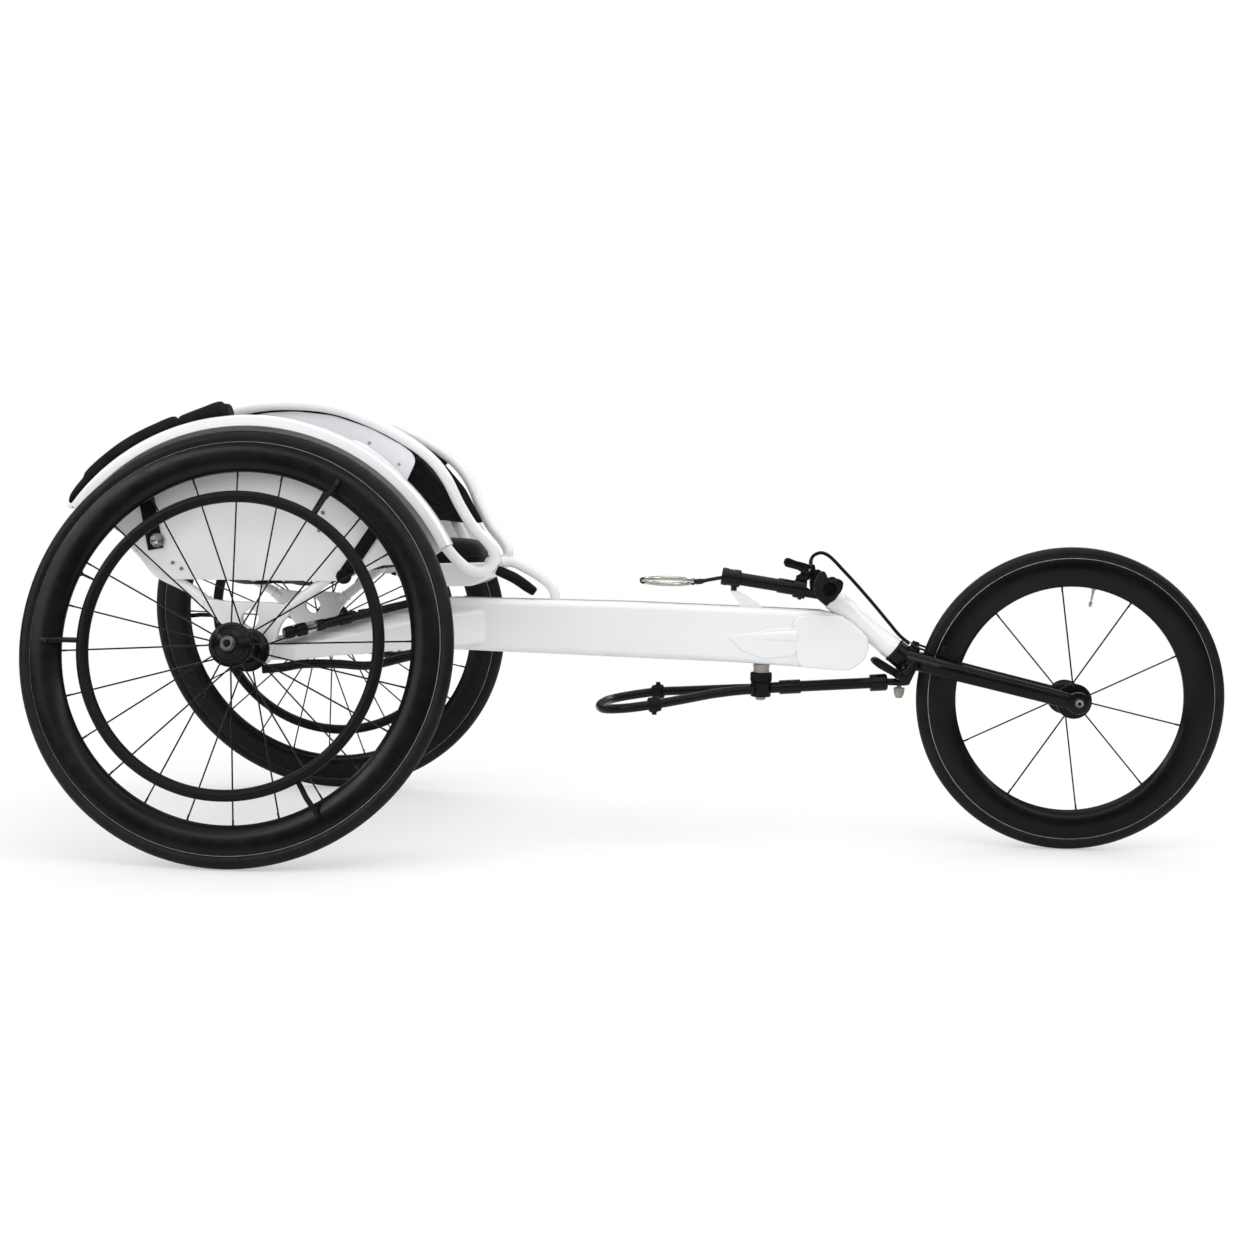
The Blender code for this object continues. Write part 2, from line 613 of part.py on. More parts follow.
GUARD_TOUCH = GUARD_INNER - STRUT_RADIUS - GAP
CAGE_TOUCH = GUARD_INNER - CAGE_TUBE - GAP
REAR_JOINT = (-0.190, 0.140)
REAR_JOINT_WAY = (-0.65, 0.76)
YOKE_OUTLINE = [(-0.024, -0.036), (0.024, -0.036), (0.030, -0.010), (0.042, 0.028), (0.060, 0.048),
                (0.050, 0.060), (0.026, 0.062), (-0.045, 0.062), (-0.072, 0.066), (-0.085, 0.055),
                (-0.060, 0.030), (-0.030, -0.008)]
for side_name, side in SIDES:
    low, high = sorted((side * YOKE_INNER, side * (YOKE_INNER + YOKE_THICKNESS)))
    plate = prism([(x, AXLE_Z + z) for x, z in YOKE_OUTLINE], low, high, 0.002)
    yoke = finish("hub_yoke_" + side_name, plate, WHITE, 0.25)
    boss = revolve([(0, -HUB_INNER_END - RUNNING), (0.0195, -HUB_INNER_END - RUNNING),
                    (0.0195, -PIN_END - RUNNING), (0, -PIN_END - RUNNING)], 16, matrix=wheel_matrix(side))
    tool(yoke, boss, "UNION")
    bore = revolve([(0, -0.12), (HUB_BORE, -0.12), (HUB_BORE, -0.05), (0, -0.05)], 12,
                   matrix=wheel_matrix(side))
    tool(yoke, bore, "DIFFERENCE")
    middle = YOKE_INNER + 0.5 * YOKE_THICKNESS
    rear_strut = [rear(-0.0660, side * middle, 0.0530), rear(-0.115, side * 0.165, 0.083),
                  rear(-0.160, side * CAGE_TOUCH, 0.105), rear(-0.177, side * CAGE_TOUCH, 0.1248),
                  rear(REAR_JOINT[0], side * CAGE_TOUCH, REAR_JOINT[1])]
    tool(yoke, sweep(smooth_route(rear_strut, 0.04), STRUT_RADIUS, 8), "UNION")
    front_strut = [rear(0.0450, side * middle, 0.0480), rear(0.090, side * 0.165, 0.083),
                   rear(0.150, side * GUARD_TOUCH, 0.133)]
    tool(yoke, sweep(smooth_route(front_strut, 0.05), STRUT_RADIUS, 8), "UNION")
    arch = bmesh.new()
    drum(arch, rear(-0.006, side * (YOKE_INNER + 0.5 * YOKE_THICKNESS), 0.036), Vector((0, 1, 0)), 0.0145,
         0.05, 12)
    tool(yoke, arch, "DIFFERENCE")


def arm_ring(y, x_low, x_high, rise_low, rise_high, corner=0.009):
    ring = []
    corners = ((x_high, rise_high), (x_low, rise_high), (x_low, rise_low), (x_high, rise_low))
    for quarter, (x, rise) in enumerate(corners):
        cx = x - corner if x == x_high else x + corner
        cz = rise - corner if rise == rise_high else rise + corner
        for k in range(2):
            angle = math.radians(90 * quarter + 15 + 60 * k)
            ring.append(rear(cx + corner * math.cos(angle), y, cz + corner * math.sin(angle)))
    return ring


for side_name, side in SIDES:
    rings = [arm_ring(side * (BEAM_HALF_WIDTH + GAP), 0.225, 0.345, -0.008, 0.050),
             arm_ring(side * 0.075, 0.150, 0.255, -0.014, 0.036),
             arm_ring(side * 0.125, 0.075, 0.160, -0.022, 0.013),
             arm_ring(side * (YOKE_INNER - GAP), 0.0185, 0.062, -0.030, -0.006)]
    finish("frame_arm_" + side_name, loft(rings), WHITE, 0.25)

# Seat struts, lower braces and adjusters

BRACE_ROUTE = [(0.012, 0.177, -0.0446), (0.045, 0.170, -0.0412), (0.068, 0.158, -0.0370),
               (0.115, 0.125, -0.0385), (0.162, 0.090, -0.0435), (0.207, 0.050, -0.0345),
               (0.236, 0.020, -0.0283)]
brace_route = [rear(x, y, z) for x, y, z in BRACE_ROUTE] + [rear(0.243, 0, -0.0278)]
brace_route += [rear(x, -y, z) for x, y, z in reversed(BRACE_ROUTE)]
finish("lower_brace", sweep(smooth_route(brace_route, 0.05), BRACE_RADIUS, 8), BLACK, 0.3)

ADJUSTER_PROFILE = [(0, 0), (0.0085, 0), (0.0098, 0.004), (0.0098, 0.016), (0.0075, 0.018),
                    (0.0105, 0.022), (0.0105, 0.037), (0.0045, 0.039), (0.0045, 0.054),
                    (0.0090, 0.056), (0.0090, 0.068), (0.0078, 0.070), (0.0078, 0.092), (0.0092, 0.094),
                    (0.0092, 0.112), (0.0070, 0.116)]
for side_name, side in SIDES:
    low_end = rear(0.0460, side * 0.1750, 0.0125)
    high_end = rear(0.262, side * 0.0235, 0.0688)
    reach = high_end - low_end
    profile = ADJUSTER_PROFILE + [(0.0062, reach.length - 0.002), (0, reach.length)]
    finish("brace_adjuster_" + side_name, revolve(profile, 8, matrix=frame_at(low_end, reach)), BLACK, 0.35)

# Seat cage

CAGE_ROUTE = [(-0.213, 0.163, 0.185), (-0.205, 0.156, 0.245), (-0.155, 0.148, 0.303),
              (-0.100, 0.144, 0.340), (-0.045, 0.142, 0.363), (0.000, 0.140, 0.373), (0.049, 0.139, 0.376),
              (0.111, 0.138, 0.371), (0.171, 0.134, 0.352), (0.227, 0.128, 0.324), (0.266, 0.122, 0.296),
              (0.291, 0.115, 0.265), (0.312, 0.105, 0.222), (0.334, 0.095, 0.186), (0.356, 0.085, 0.162),
              (0.366, 0.080, 0.144), (0.361, 0.080, 0.125), (0.345, 0.085, 0.114), (0.328, 0.090, 0.117),
              (0.310, 0.097, 0.131), (0.289, 0.109, 0.157), (0.267, 0.123, 0.191), (0.240, 0.141, 0.235),
              (0.215, 0.151, 0.267), (0.180, 0.160, 0.297), (0.150, 0.1655, 0.316)]
for side_name, side in SIDES:
    step_x, step_z = REAR_JOINT_WAY
    start = [rear(REAR_JOINT[0] + step_x * s, side * CAGE_TOUCH, REAR_JOINT[1] + step_z * s)
             for s in (2 * GAP, 0.02)]
    route = start + [rear(x, side * y, z) for x, y, z in CAGE_ROUTE]
    finish("cage_loop_" + side_name, sweep(smooth_route(route, 0.06), CAGE_TUBE, 8), WHITE, 0.25)

NOSE_BAR_AT = (0.358, 0.1300)
NOSE_BAR_RADIUS = 0.0085
PANEL_OUTLINE = [(-0.175, 0.200), (-0.150, 0.283), (-0.100, 0.3285), (-0.045, 0.3515), (0.000, 0.3625),
                 (0.049, 0.3658), (0.111, 0.3605), (0.171, 0.3415), (0.227, 0.3130), (0.247, 0.2950),
                 (0.226, 0.2490), (0.185, 0.190), (0.150, 0.115), (-0.140, 0.115)]
for side_name, side in SIDES:
    low, high = sorted((side * PANEL_INNER, side * (PANEL_INNER + PANEL_THICKNESS)))
    finish("side_panel_" + side_name, prism([(x, AXLE_Z + z) for x, z in PANEL_OUTLINE], low, high),
           GREY_WHITE, 0.5)

# Fenders with their arm pads


def arc_band(profile, start_angle, end_angle, steps):
    """A (radius, y) outline carried round the rear axle line from one angle to another."""
    rings = []
    for k in range(steps + 1):
        angle = start_angle + (end_angle - start_angle) * k / steps
        rings.append([rear(r * math.cos(angle), y, r * math.sin(angle)) for r, y in profile])
    return loft(rings)


FENDER_STEP = (FENDER_END - FENDER_START) / FENDER_STEPS
PAD_STATIONS = [(FENDER_END - FENDER_STEP * k, top * PAD_THICKNESS) for k, top in
                ((0, 0.6), (0.4, 1), (1, 1), (2, 1), (3, 1), (4, 1), (4.7, 1), (4.85, 0.35), (5, 0.9),
                 (5.7, 1.15), (6.3, 1.4), (6.6, 0.9))]
for side_name, side in SIDES:
    inner = GUARD_INNER
    lip = [(FENDER_RADIUS - 0.017, inner), (FENDER_RADIUS, inner), (FENDER_RADIUS + 0.0015, inner + 0.005),
           (FENDER_RADIUS, inner + 0.031), (FENDER_RADIUS - 0.004, inner + 0.0345),
           (FENDER_RADIUS - FENDER_SKIRT, inner + 0.0345), (FENDER_RADIUS - FENDER_SKIRT, inner + 0.0318),
           (FENDER_RADIUS - 0.0060, inner + 0.0300), (FENDER_RADIUS - 0.0050, inner + 0.009),
           (FENDER_RADIUS - 0.017, inner + GUARD_THICKNESS)]
    band = arc_band([(r, side * y) for r, y in lip], FENDER_START, FENDER_END, FENDER_STEPS)
    fender = finish("fender_" + side_name, band, WHITE, 0.25)
    arc = [FENDER_START + (FENDER_END - FENDER_START) * k / FENDER_STEPS for k in range(FENDER_STEPS + 1)]
    guard_radius = FENDER_RADIUS - FENDER_LIP
    edge = [(guard_radius * math.cos(a), guard_radius * math.sin(a)) for a in arc]
    guard = edge + [(-0.215, 0.165), (-0.150, 0.105), (-0.130, 0.095), (0.135, 0.098), (0.205, 0.125),
                    (0.268, 0.128)]
    low, high = sorted((side * (inner + 0.0002), side * (inner + GUARD_THICKNESS - 0.0002)))
    tool(fender, prism([(x, AXLE_Z + z) for x, z in guard], low, high), "UNION")

    base = FENDER_RADIUS + 0.0015 + RUNNING
    rings = []
    for angle, top in PAD_STATIONS:
        crown_r = base + top
        rings.append([rear(r * math.cos(angle), side * y, r * math.sin(angle)) for r, y in
                      ((base, inner + 0.003), (crown_r - 0.004, inner + 0.002), (crown_r, inner + 0.008),
                       (crown_r, inner + 0.026), (crown_r - 0.004, inner + 0.032), (base, inner + 0.031))])
    finish("fender_pad_" + side_name, loft(rings), BLACK, 0.7)

# Seat: sling, knee tray, knee cushion and straps

SLING_STATIONS = [(-0.185, 0.118, 0.225, 0.140), (-0.150, SLING_HALF, 0.262, 0.122),
                  (-0.080, SLING_HALF, 0.330, 0.1165), (0.010, SLING_HALF, 0.356, 0.1165),
                  (0.090, SLING_HALF, 0.357, 0.1165), (0.172, SLING_HALF, 0.334, 0.1175),
                  (0.205, 0.1195, 0.316, 0.185), (0.245, 0.1090, 0.296, 0.187), (0.285, 0.0960, 0.252, 0.187),
                  (0.318, 0.0825, 0.196, 0.184)]
WALL_ROWS = 6


def sling_mesh():
    """A bucket of quilted cloth: two side walls in channels, and a floor behind the knee tray."""
    bm = bmesh.new()
    grid = []
    for x, half, top, bottom in SLING_STATIONS:
        wall = []
        for k in range(WALL_ROWS + 1):
            share = k / WALL_ROWS
            bulge = -0.003 if k % 2 else 0.0
            wall.append((half + bulge, top + (bottom + 0.012 - top) * share))
        floor = [(half - 0.014, bottom), (0.5 * half, bottom)]
        across = wall + floor
        row = [(-y, z) for y, z in across] + [(0, bottom)] + [(y, z) for y, z in reversed(across)]
        grid.append([bm.verts.new(rear(x, y, z)) for y, z in row])
    last = len(grid[0]) - 1
    for i in range(len(grid) - 1):
        for j in range(last):
            in_wall = j < WALL_ROWS or j >= last - WALL_ROWS
            if i < 5 or in_wall:
                bm.faces.new((grid[i][j], grid[i][j + 1], grid[i + 1][j + 1], grid[i + 1][j]))
    loose = [v for v in bm.verts if not v.link_faces]
    bmesh.ops.delete(bm, geom=loose, context="VERTS")
    bmesh.ops.recalc_face_normals(bm, faces=bm.faces)
    return bm


sling = finish("seat_sling", sling_mesh(), BLACK, 0.85, sharp=60)
thickness = sling.modifiers.new("cloth", "SOLIDIFY")
thickness.thickness = SLING_THICKNESS
thickness.offset = 0

TRAY_HALF = 0.0700
TRAY_WALL = 0.004
TRAY_FLOOR = 0.0905
tray = prism([(x, AXLE_Z + z) for x, z in
              [(0.200, 0.1235), (0.200, 0.104), (0.235, TRAY_FLOOR - TRAY_WALL),
               (0.330, TRAY_FLOOR), (0.352, 0.104), (0.354, 0.1300)]], -TRAY_HALF, TRAY_HALF)
knee_tray = finish("knee_tray", tray, WHITE, 0.25)
dish = prism([(x, AXLE_Z + z) for x, z in
              [(0.204, 0.1075), (0.237, TRAY_FLOOR),
               (0.329, TRAY_FLOOR + TRAY_WALL), (0.348, 0.1075), (0.348, 0.145), (0.204, 0.145)]],
             -TRAY_HALF + TRAY_WALL, TRAY_HALF - TRAY_WALL)
tool(knee_tray, dish, "DIFFERENCE")
nose_bar = bmesh.new()
drum(nose_bar, rear(NOSE_BAR_AT[0], 0, NOSE_BAR_AT[1]), Vector((0, 1, 0)), NOSE_BAR_RADIUS, 0.1412, 10)
tool(knee_tray, nose_bar, "UNION")

CUSHION_HALF = Vector((0.0700, TRAY_HALF - TRAY_WALL - 0.0012, 0.0405))
CUSHION_MIDDLE = rear(0.2765, 0, 0.1334)
cushion = bmesh.new()
bmesh.ops.create_cube(cushion, size=2)
bmesh.ops.subdivide_edges(cushion, edges=cushion.edges, cuts=5, use_grid_fill=True)
for vert in cushion.verts:
    length = sum(abs(c) ** 3.2 for c in vert.co) ** (1 / 3.2)
    unit = vert.co / length
    pinch = 1 - 0.06 * (1 - abs(unit.z)) * (unit.x * unit.x + unit.y * unit.y < 1.4)
    vert.co = CUSHION_MIDDLE + Vector((unit.x * CUSHION_HALF.x * pinch, unit.y * CUSHION_HALF.y * pinch,
                                       unit.z * CUSHION_HALF.z))
finish("knee_cushion", cushion, BLACK, 0.85, sharp=60)


def band(points, width_way, width, thickness_way, thick):
    """A flat strap through points, with its width and its thickness along fixed directions."""
    rings = []
    for p in points:
        w = width_way * (width / 2)
        t = thickness_way * (thick / 2)
        rings.append([p - w - t, p + w - t, p + w + t, p - w + t])
    return loft(rings)


hammock = band([rear(-0.045, y, z) for y, z in
                ((-GUARD_INNER + GAP, 0.1010), (-0.12, 0.0930), (-0.05, 0.0845), (0.05, 0.0845),
                 (0.12, 0.0930), (GUARD_INNER - GAP, 0.1010))],
               Vector((1, 0, 0)), 0.030, Vector((0, 0, 1)), 0.003)
seat_straps = finish("seat_straps", hammock, BLACK, 0.85)
second = band([rear(0.050, y, z) for y, z in
               ((-GUARD_INNER + GAP, 0.1010), (-0.12, 0.0930), (-0.05, 0.0845), (0.05, 0.0845),
                (0.12, 0.0930), (GUARD_INNER - GAP, 0.1010))],
              Vector((1, 0, 0)), 0.030, Vector((0, 0, 1)), 0.003)
tool(seat_straps, second, "UNION")
link = band([rear(-0.055, 0, 0.0846), rear(0.060, 0, 0.0846)], Vector((0, 1, 0)), 0.024, Vector((0, 0, 1)),
            0.0024)
tool(seat_straps, link, "UNION")
strap_in = GUARD_INNER + GUARD_THICKNESS + GAP
for side_name, side in SIDES:
    y = side * (strap_in + 0.0015)
    strip = band([rear(-0.179, y, 0.228), rear(-0.159, y, 0.130)], Vector((1, 0, 0.2)), 0.016,
                 Vector((0, 1, 0)), 0.003)
    side_strap = finish("side_strap_" + side_name, strip, BLACK, 0.85)
    bolt = bmesh.new()
    drum(bolt, rear(-0.1625, side * (strap_in + 0.0045), 0.147), Vector((0, 1, 0)), 0.0105, 0.007, 6)
    tool(side_strap, bolt, "UNION")
back_points = [rear(x, y, z) for x, y, z in
               ((-0.1990, -0.1475, 0.2150), (-0.2000, -0.110, 0.2150), (-0.2005, 0.0, 0.2150),
                (-0.2000, 0.110, 0.2150), (-0.1990, 0.1475, 0.2150))]
finish("back_strap", band(back_points, Vector((0, 0, 1)), 0.055, Vector((1, 0, 0)), 0.004), BLACK, 0.85)

STAY_FOOT_X = 0.4580
stay_foot = Vector((STAY_FOOT_X, 0, beam_top_at(STAY_FOOT_X) + GAP))
stay_route = [rear(NOSE_BAR_AT[0] + NOSE_BAR_RADIUS + RUNNING, 0, NOSE_BAR_AT[1] - 0.001),
              rear(0.384, 0, 0.129), rear(0.402, 0, 0.122), rear(0.434, 0, 0.104), rear(0.452, 0, 0.088),
              stay_foot + Vector((0, 0, 0.0057)), stay_foot]
finish("front_stay", sweep(smooth_route(stay_route, 0.02), 0.0082, 8), GREY_WHITE, 0.35)
strap_route = [rear(0.3585, 0, 0.1150), rear(0.388, 0, 0.1025), rear(0.412, 0, 0.0870),
               rear(0.424, 0, 0.0790)]
finish("front_strap", sweep(strap_route, [0.0085, 0.0092, 0.0092, 0.0072], 8), BLACK, 0.6)

# Stem, cross bar and grips

stem_top = HEAD_TUBE_LENGTH + 0.034
stem_bore = STEERER_RADIUS + RUNNING
STEM_RADIUS = 0.0172
stem = revolve([(0, HEAD_TUBE_LENGTH + RUNNING), (STEM_RADIUS, HEAD_TUBE_LENGTH + RUNNING),
                (STEM_RADIUS, stem_top - 0.004), (0.012, stem_top), (0, stem_top)], 16, matrix=STEER_FRAME)
handlebar = finish("handlebar", stem, BLACK, 0.4, 0, STEERING)
CROSS_BAR_AT = steer(0.0075, 0, HEAD_TUBE_LENGTH + 0.0183)
cross_bar = bmesh.new()
drum(cross_bar, CROSS_BAR_AT, Vector((0, 1, 0)), CROSS_BAR_RADIUS, 0.104, 12)
tool(handlebar, cross_bar, "UNION")
steerer_hole = revolve([(0, HEAD_TUBE_LENGTH - 0.01), (stem_bore, HEAD_TUBE_LENGTH - 0.01),
                        (stem_bore, STEERER_TOP + GAP), (0, STEERER_TOP + GAP)], 16, matrix=STEER_FRAME)
tool(handlebar, steerer_hole, "DIFFERENCE")

GRIP_OUTLINE = [(-0.016, 0.029), (-0.009, 0.030), (-0.003, 0.017), (0.004, 0.0145), (0.014, 0.0185),
                (0.022, 0.013), (0.020, 0.000), (0.008, -0.018), (-0.003, -0.024), (-0.012, -0.021),
                (-0.024, -0.008), (-0.026, 0.010)]
for side_name, side in SIDES:
    low, high = sorted((side * 0.036, side * 0.058))
    grip = prism([(CROSS_BAR_AT.x + x, CROSS_BAR_AT.z + z) for x, z in GRIP_OUTLINE], low, high, 0.003)
    handlebar_grip = finish("handlebar_grip_" + side_name, grip, BLACK, 0.6, 0, STEERING)
    grip_hole = bmesh.new()
    drum(grip_hole, CROSS_BAR_AT, Vector((0, 1, 0)), CROSS_BAR_RADIUS + RUNNING, 0.14, 12)
    tool(handlebar_grip, grip_hole, "DIFFERENCE")

# Tiller with its clamp, ring handle, brake lever and cable

TILLER_WAY = Vector((math.cos(TILLER_SLOPE), 0, -math.sin(TILLER_SLOPE)))
CLAMP_REAR = front(-0.2888, 0, 0.1155)
TILLER_FRAME = frame_at(CLAMP_REAR, TILLER_WAY)
TILLER_LENGTH = 0.172
tiller = revolve([(0, 0), (CLAMP_RADIUS - 0.002, 0),
                  (CLAMP_RADIUS, 0.002), (CLAMP_RADIUS, 0.030), (CLAMP_RADIUS - 0.002, 0.032),
                  (TILLER_TUBE, 0.032), (TILLER_TUBE, 0.094), (SLEEVE_RADIUS, 0.096),
                  (SLEEVE_RADIUS, TILLER_LENGTH), (0, TILLER_LENGTH)], 12, matrix=TILLER_FRAME)
tiller_tube = finish("tiller_tube", tiller, BLACK, 0.4, 0, STEERING)
ring_center = front(-0.3788, 0, 0.1046)
ring_front = ring_center + Vector((RING_RADIUS + RING_TUBE + GAP, 0, 0))
rod_bend = [CLAMP_REAR + Vector((0.0060, 0, -0.0020)), CLAMP_REAR + Vector((-0.0060, 0, -0.0040)),
            front(-0.3140, 0, 0.1076), ring_front + Vector((0.0090, 0, 0.0010)),
            ring_front + Vector((0.0001, 0, 0))]
tool(tiller_tube, sweep(smooth_route(rod_bend, 0.012), 0.0034, 6), "UNION")
clamp_foot = bmesh.new()
foot_low = HEAD_LOW.z + REST_TOP + 2 * GAP
foot_mid = front(-0.2680, 0, 0)
drum(clamp_foot, Vector((foot_mid.x, 0, foot_low + 0.005)), Vector((0, 0, 1)), 0.0050, 0.010, 8)
tool(tiller_tube, clamp_foot, "UNION")
stem_cut = bmesh.new()
drum(stem_cut, steer(0, 0, HEAD_TUBE_LENGTH + 0.02), STEER_UP, (STEM_RADIUS + GAP) * 1.045, 0.10, 16)
tool(tiller_tube, stem_cut, "DIFFERENCE")

ring_turn = Matrix.Translation(ring_center) @ Matrix.Rotation(RING_LEAN, 4, "X")
ring_profile = [(RING_RADIUS + RING_TUBE * math.cos(a), RING_TUBE * math.sin(a))
                for a in [math.tau * k / 6 for k in range(6)]]
finish("ring_handle", revolve(ring_profile, 24, matrix=ring_turn), SILVER, 0.2, 1, STEERING)

band_inner = SLEEVE_RADIUS + RUNNING
mount_band = revolve([(band_inner, 0.122), (band_inner + 0.003, 0.122), (band_inner + 0.003, 0.142),
                      (band_inner, 0.142)], 12, matrix=TILLER_FRAME)
lever_mount = finish("brake_lever_mount", mount_band, BLACK, 0.4, 0, STEERING)
mount_body = front_outline([(-0.1645, 0.1130), (-0.1465, 0.1110), (-0.1350, 0.1180), (-0.1320, 0.1250),
                            (-0.1350, 0.1385), (-0.1470, 0.1385), (-0.1520, 0.1240), (-0.1645, 0.1190)])
tool(lever_mount, prism(mount_body, -0.008, 0.008), "UNION")
pin_hole = bmesh.new()
drum(pin_hole, LEVER_PIVOT_AT, Vector((0, 1, 0)), LEVER_PIN_RADIUS + RUNNING, 0.03, 8)
tool(lever_mount, pin_hole, "DIFFERENCE")
sleeve_hole = revolve([(0, 0.10), (band_inner, 0.10), (band_inner, 0.19), (0, 0.19)], 12,
                      matrix=TILLER_FRAME)
tool(lever_mount, sleeve_hole, "DIFFERENCE")

LEVER_OUTLINE = [(-0.1378, 0.1233), (-0.1358, 0.1300), (-0.1400, 0.1365), (-0.1500, 0.1400),
                 (-0.1668, 0.1440), (-0.1778, 0.1485), (-0.1838, 0.1470), (-0.1862, 0.1400),
                 (-0.1835, 0.1335), (-0.1700, 0.1305), (-0.1620, 0.1283), (-0.1568, 0.1250),
                 (-0.1468, 0.1220)]
lever = prism(front_outline(LEVER_OUTLINE), -0.0113, 0.0113, 0.0008)
brake_lever = finish("brake_lever", lever, BLACK, 0.4, 0, LEVER_PIVOT)
slot = front_outline([(-0.1620, 0.110), (-0.1620, 0.150), (-0.125, 0.150), (-0.125, 0.110)])
tool(brake_lever, prism(slot, -0.0084, 0.0084), "DIFFERENCE")
lever_pin = bmesh.new()
drum(lever_pin, LEVER_PIVOT_AT, Vector((0, 1, 0)), LEVER_PIN_RADIUS, 0.0200, 8)
tool(brake_lever, lever_pin, "UNION")

# Brake at the front wheel: pivot pin on the crown, two arms with their pads

BRAKE_AT = steer(0.0242, 0, -0.0255)
BRAKE_WAY = (FRONT_AXLE - BRAKE_AT).normalized()
BRAKE_UP = Vector((-BRAKE_WAY.z, 0, BRAKE_WAY.x))
BRAKE_FRAME = frame_at(BRAKE_AT, BRAKE_UP)
BRAKE_TO_AXLE = (FRONT_AXLE - BRAKE_AT).length
ARM_LOW = 0.0006
ARM_THICK = 0.0036
ARM_STACK = 2 * ARM_THICK + GAP
brake_pin = revolve([(0, -0.012), (0.0062, -0.012), (0.0062, ARM_LOW - GAP), (0.0032, ARM_LOW - GAP),
                     (0.0032, ARM_LOW + ARM_STACK + GAP), (0.0060, ARM_LOW + ARM_STACK + GAP),
                     (0.0060, ARM_LOW + ARM_STACK + 0.003), (0, ARM_LOW + ARM_STACK + 0.003)], 10,
                    matrix=BRAKE_FRAME)
tool(fork, brake_pin, "UNION")

PAD_FROM = BRAKE_TO_AXLE - FRONT_RIM_OUTER + 0.003
PAD_TO = PAD_FROM + 0.009
PAD_FACE = RIM_HALF_WIDTH + 0.002
for side_name, side in SIDES:
    low = ARM_LOW if side < 0 else ARM_LOW + ARM_THICK + GAP
    outline = [(0.003, -0.0070), (0.016, -0.0040), (0.0265, 0.008), (0.0275, 0.030),
               (0.0262, PAD_TO + 0.001), (0.0205, PAD_TO + 0.001), (0.0205, 0.030), (0.0190, 0.0130),
               (0.0120, 0.0065), (0.003, 0.0070)]
    arm = bmesh.new()
    rings = []
    for height in (low, low + ARM_THICK):
        rings.append([BRAKE_AT + BRAKE_UP * height + Vector((0, side * y, 0)) + BRAKE_WAY * r
                      for y, r in outline])
    loft(rings, arm)
    brake_arm = finish("brake_arm_" + side_name, arm, BLACK, 0.4, 0, STEERING)
    boss = bmesh.new()
    drum(boss, BRAKE_AT + BRAKE_UP * (low + ARM_THICK / 2), BRAKE_UP, 0.0075, ARM_THICK - 0.0002, 12)
    tool(brake_arm, boss, "UNION")
    pad = bmesh.new()
    pad_rings = []
    for height in (-0.008, 0.020):
        pad_rings.append([BRAKE_AT + BRAKE_UP * height + Vector((0, side * y, 0)) + BRAKE_WAY * r
                          for y, r in ((PAD_FACE, PAD_FROM), (0.0215, PAD_FROM), (0.0215, PAD_TO),
                                       (PAD_FACE, PAD_TO))])
    loft(pad_rings, pad)
    tool(brake_arm, pad, "UNION")
    hole = bmesh.new()
    drum(hole, BRAKE_AT, BRAKE_UP, 0.0032 + RUNNING, 0.05, 10)
    tool(brake_arm, hole, "DIFFERENCE")

CABLE_ROUTE = [(-0.1412, 0.1389), (-0.1410, 0.1455), (-0.1368, 0.1530), (-0.1237, 0.1584), (-0.1113, 0.1545),
               (-0.0839, 0.1268), (-0.0409, 0.0811), (-0.0064, 0.0418)]
cable_clear = CROWN_RADIUS + CABLE_RADIUS + 2 * RUNNING
cable_end = [steer(cable_clear, 0, 0.006), steer(cable_clear, 0, -0.0150)]
route = smooth_route([front(x, 0, z) for x, z in CABLE_ROUTE] + cable_end, 0.016)
curve = bpy.data.curves.new("brake_cable", "CURVE")
curve.dimensions = "3D"
curve.bevel_depth = CABLE_RADIUS
curve.bevel_resolution = 2
curve.use_fill_caps = True
curve.resolution_u = 1
curve.render_resolution_u = 0
spline = curve.splines.new("POLY")
spline.points.add(len(route) - 1)
for slot_point, place in zip(spline.points, route):
    slot_point.co = (*(place - STEERING.location), 1)
brake_cable = bpy.data.objects.new("brake_cable", curve)
bpy.context.collection.objects.link(brake_cable)
brake_cable.parent = STEERING
cable_finish = bpy.data.materials.new("brake_cable_finish")
cable_finish.use_nodes = True
cable_finish.node_tree.nodes["Principled BSDF"].inputs["Base Color"].default_value = (*BLACK, 1)
curve.materials.append(cable_finish)

# Steering arm under the crown, with the stud that drives the track rod's eye

STUD_X = 0.0124
EYE_RISE = -0.0552
ARM_BOTTOM = -0.0452
steering_saddle = front_outline([(-0.0363, -0.0222), (-0.0338, -0.0157), (-0.0268, -0.0142),
                                 (-0.0203, -0.0177), (-0.0135, -0.0215), (0.0095, -0.0352),
                                 (0.0190, -0.0392), (0.0212, ARM_BOTTOM), (0.0022, ARM_BOTTOM),
                                 (-0.0118, -0.0382), (-0.0268, -0.0302)])
steering_arm = finish("steering_arm", prism(steering_saddle, -0.014, 0.014, 0.0015), BLACK, 0.45, 0, STEERING)
for side_name, side in SIDES:
    horn = sweep(smooth_route([front(0.0032, side * 0.010, -0.0407), front(0.0092, side * 0.027, -0.0412),
                               front(0.0192, side * 0.0365, -0.0337), front(0.0307, side * 0.0370, -0.0157)],
                              0.012), 0.0050, 6)
    tool(steering_arm, horn, "UNION")
crown_cut = bmesh.new()
drum(crown_cut, steer(0, 0, -0.5 * CROWN_HEIGHT), STEER_UP, (CROWN_RADIUS + GAP) * 1.025,
     2 * CROWN_HEIGHT, 16)
tool(steering_arm, crown_cut, "DIFFERENCE")
stud_at = front(STUD_X, 0, EYE_RISE)
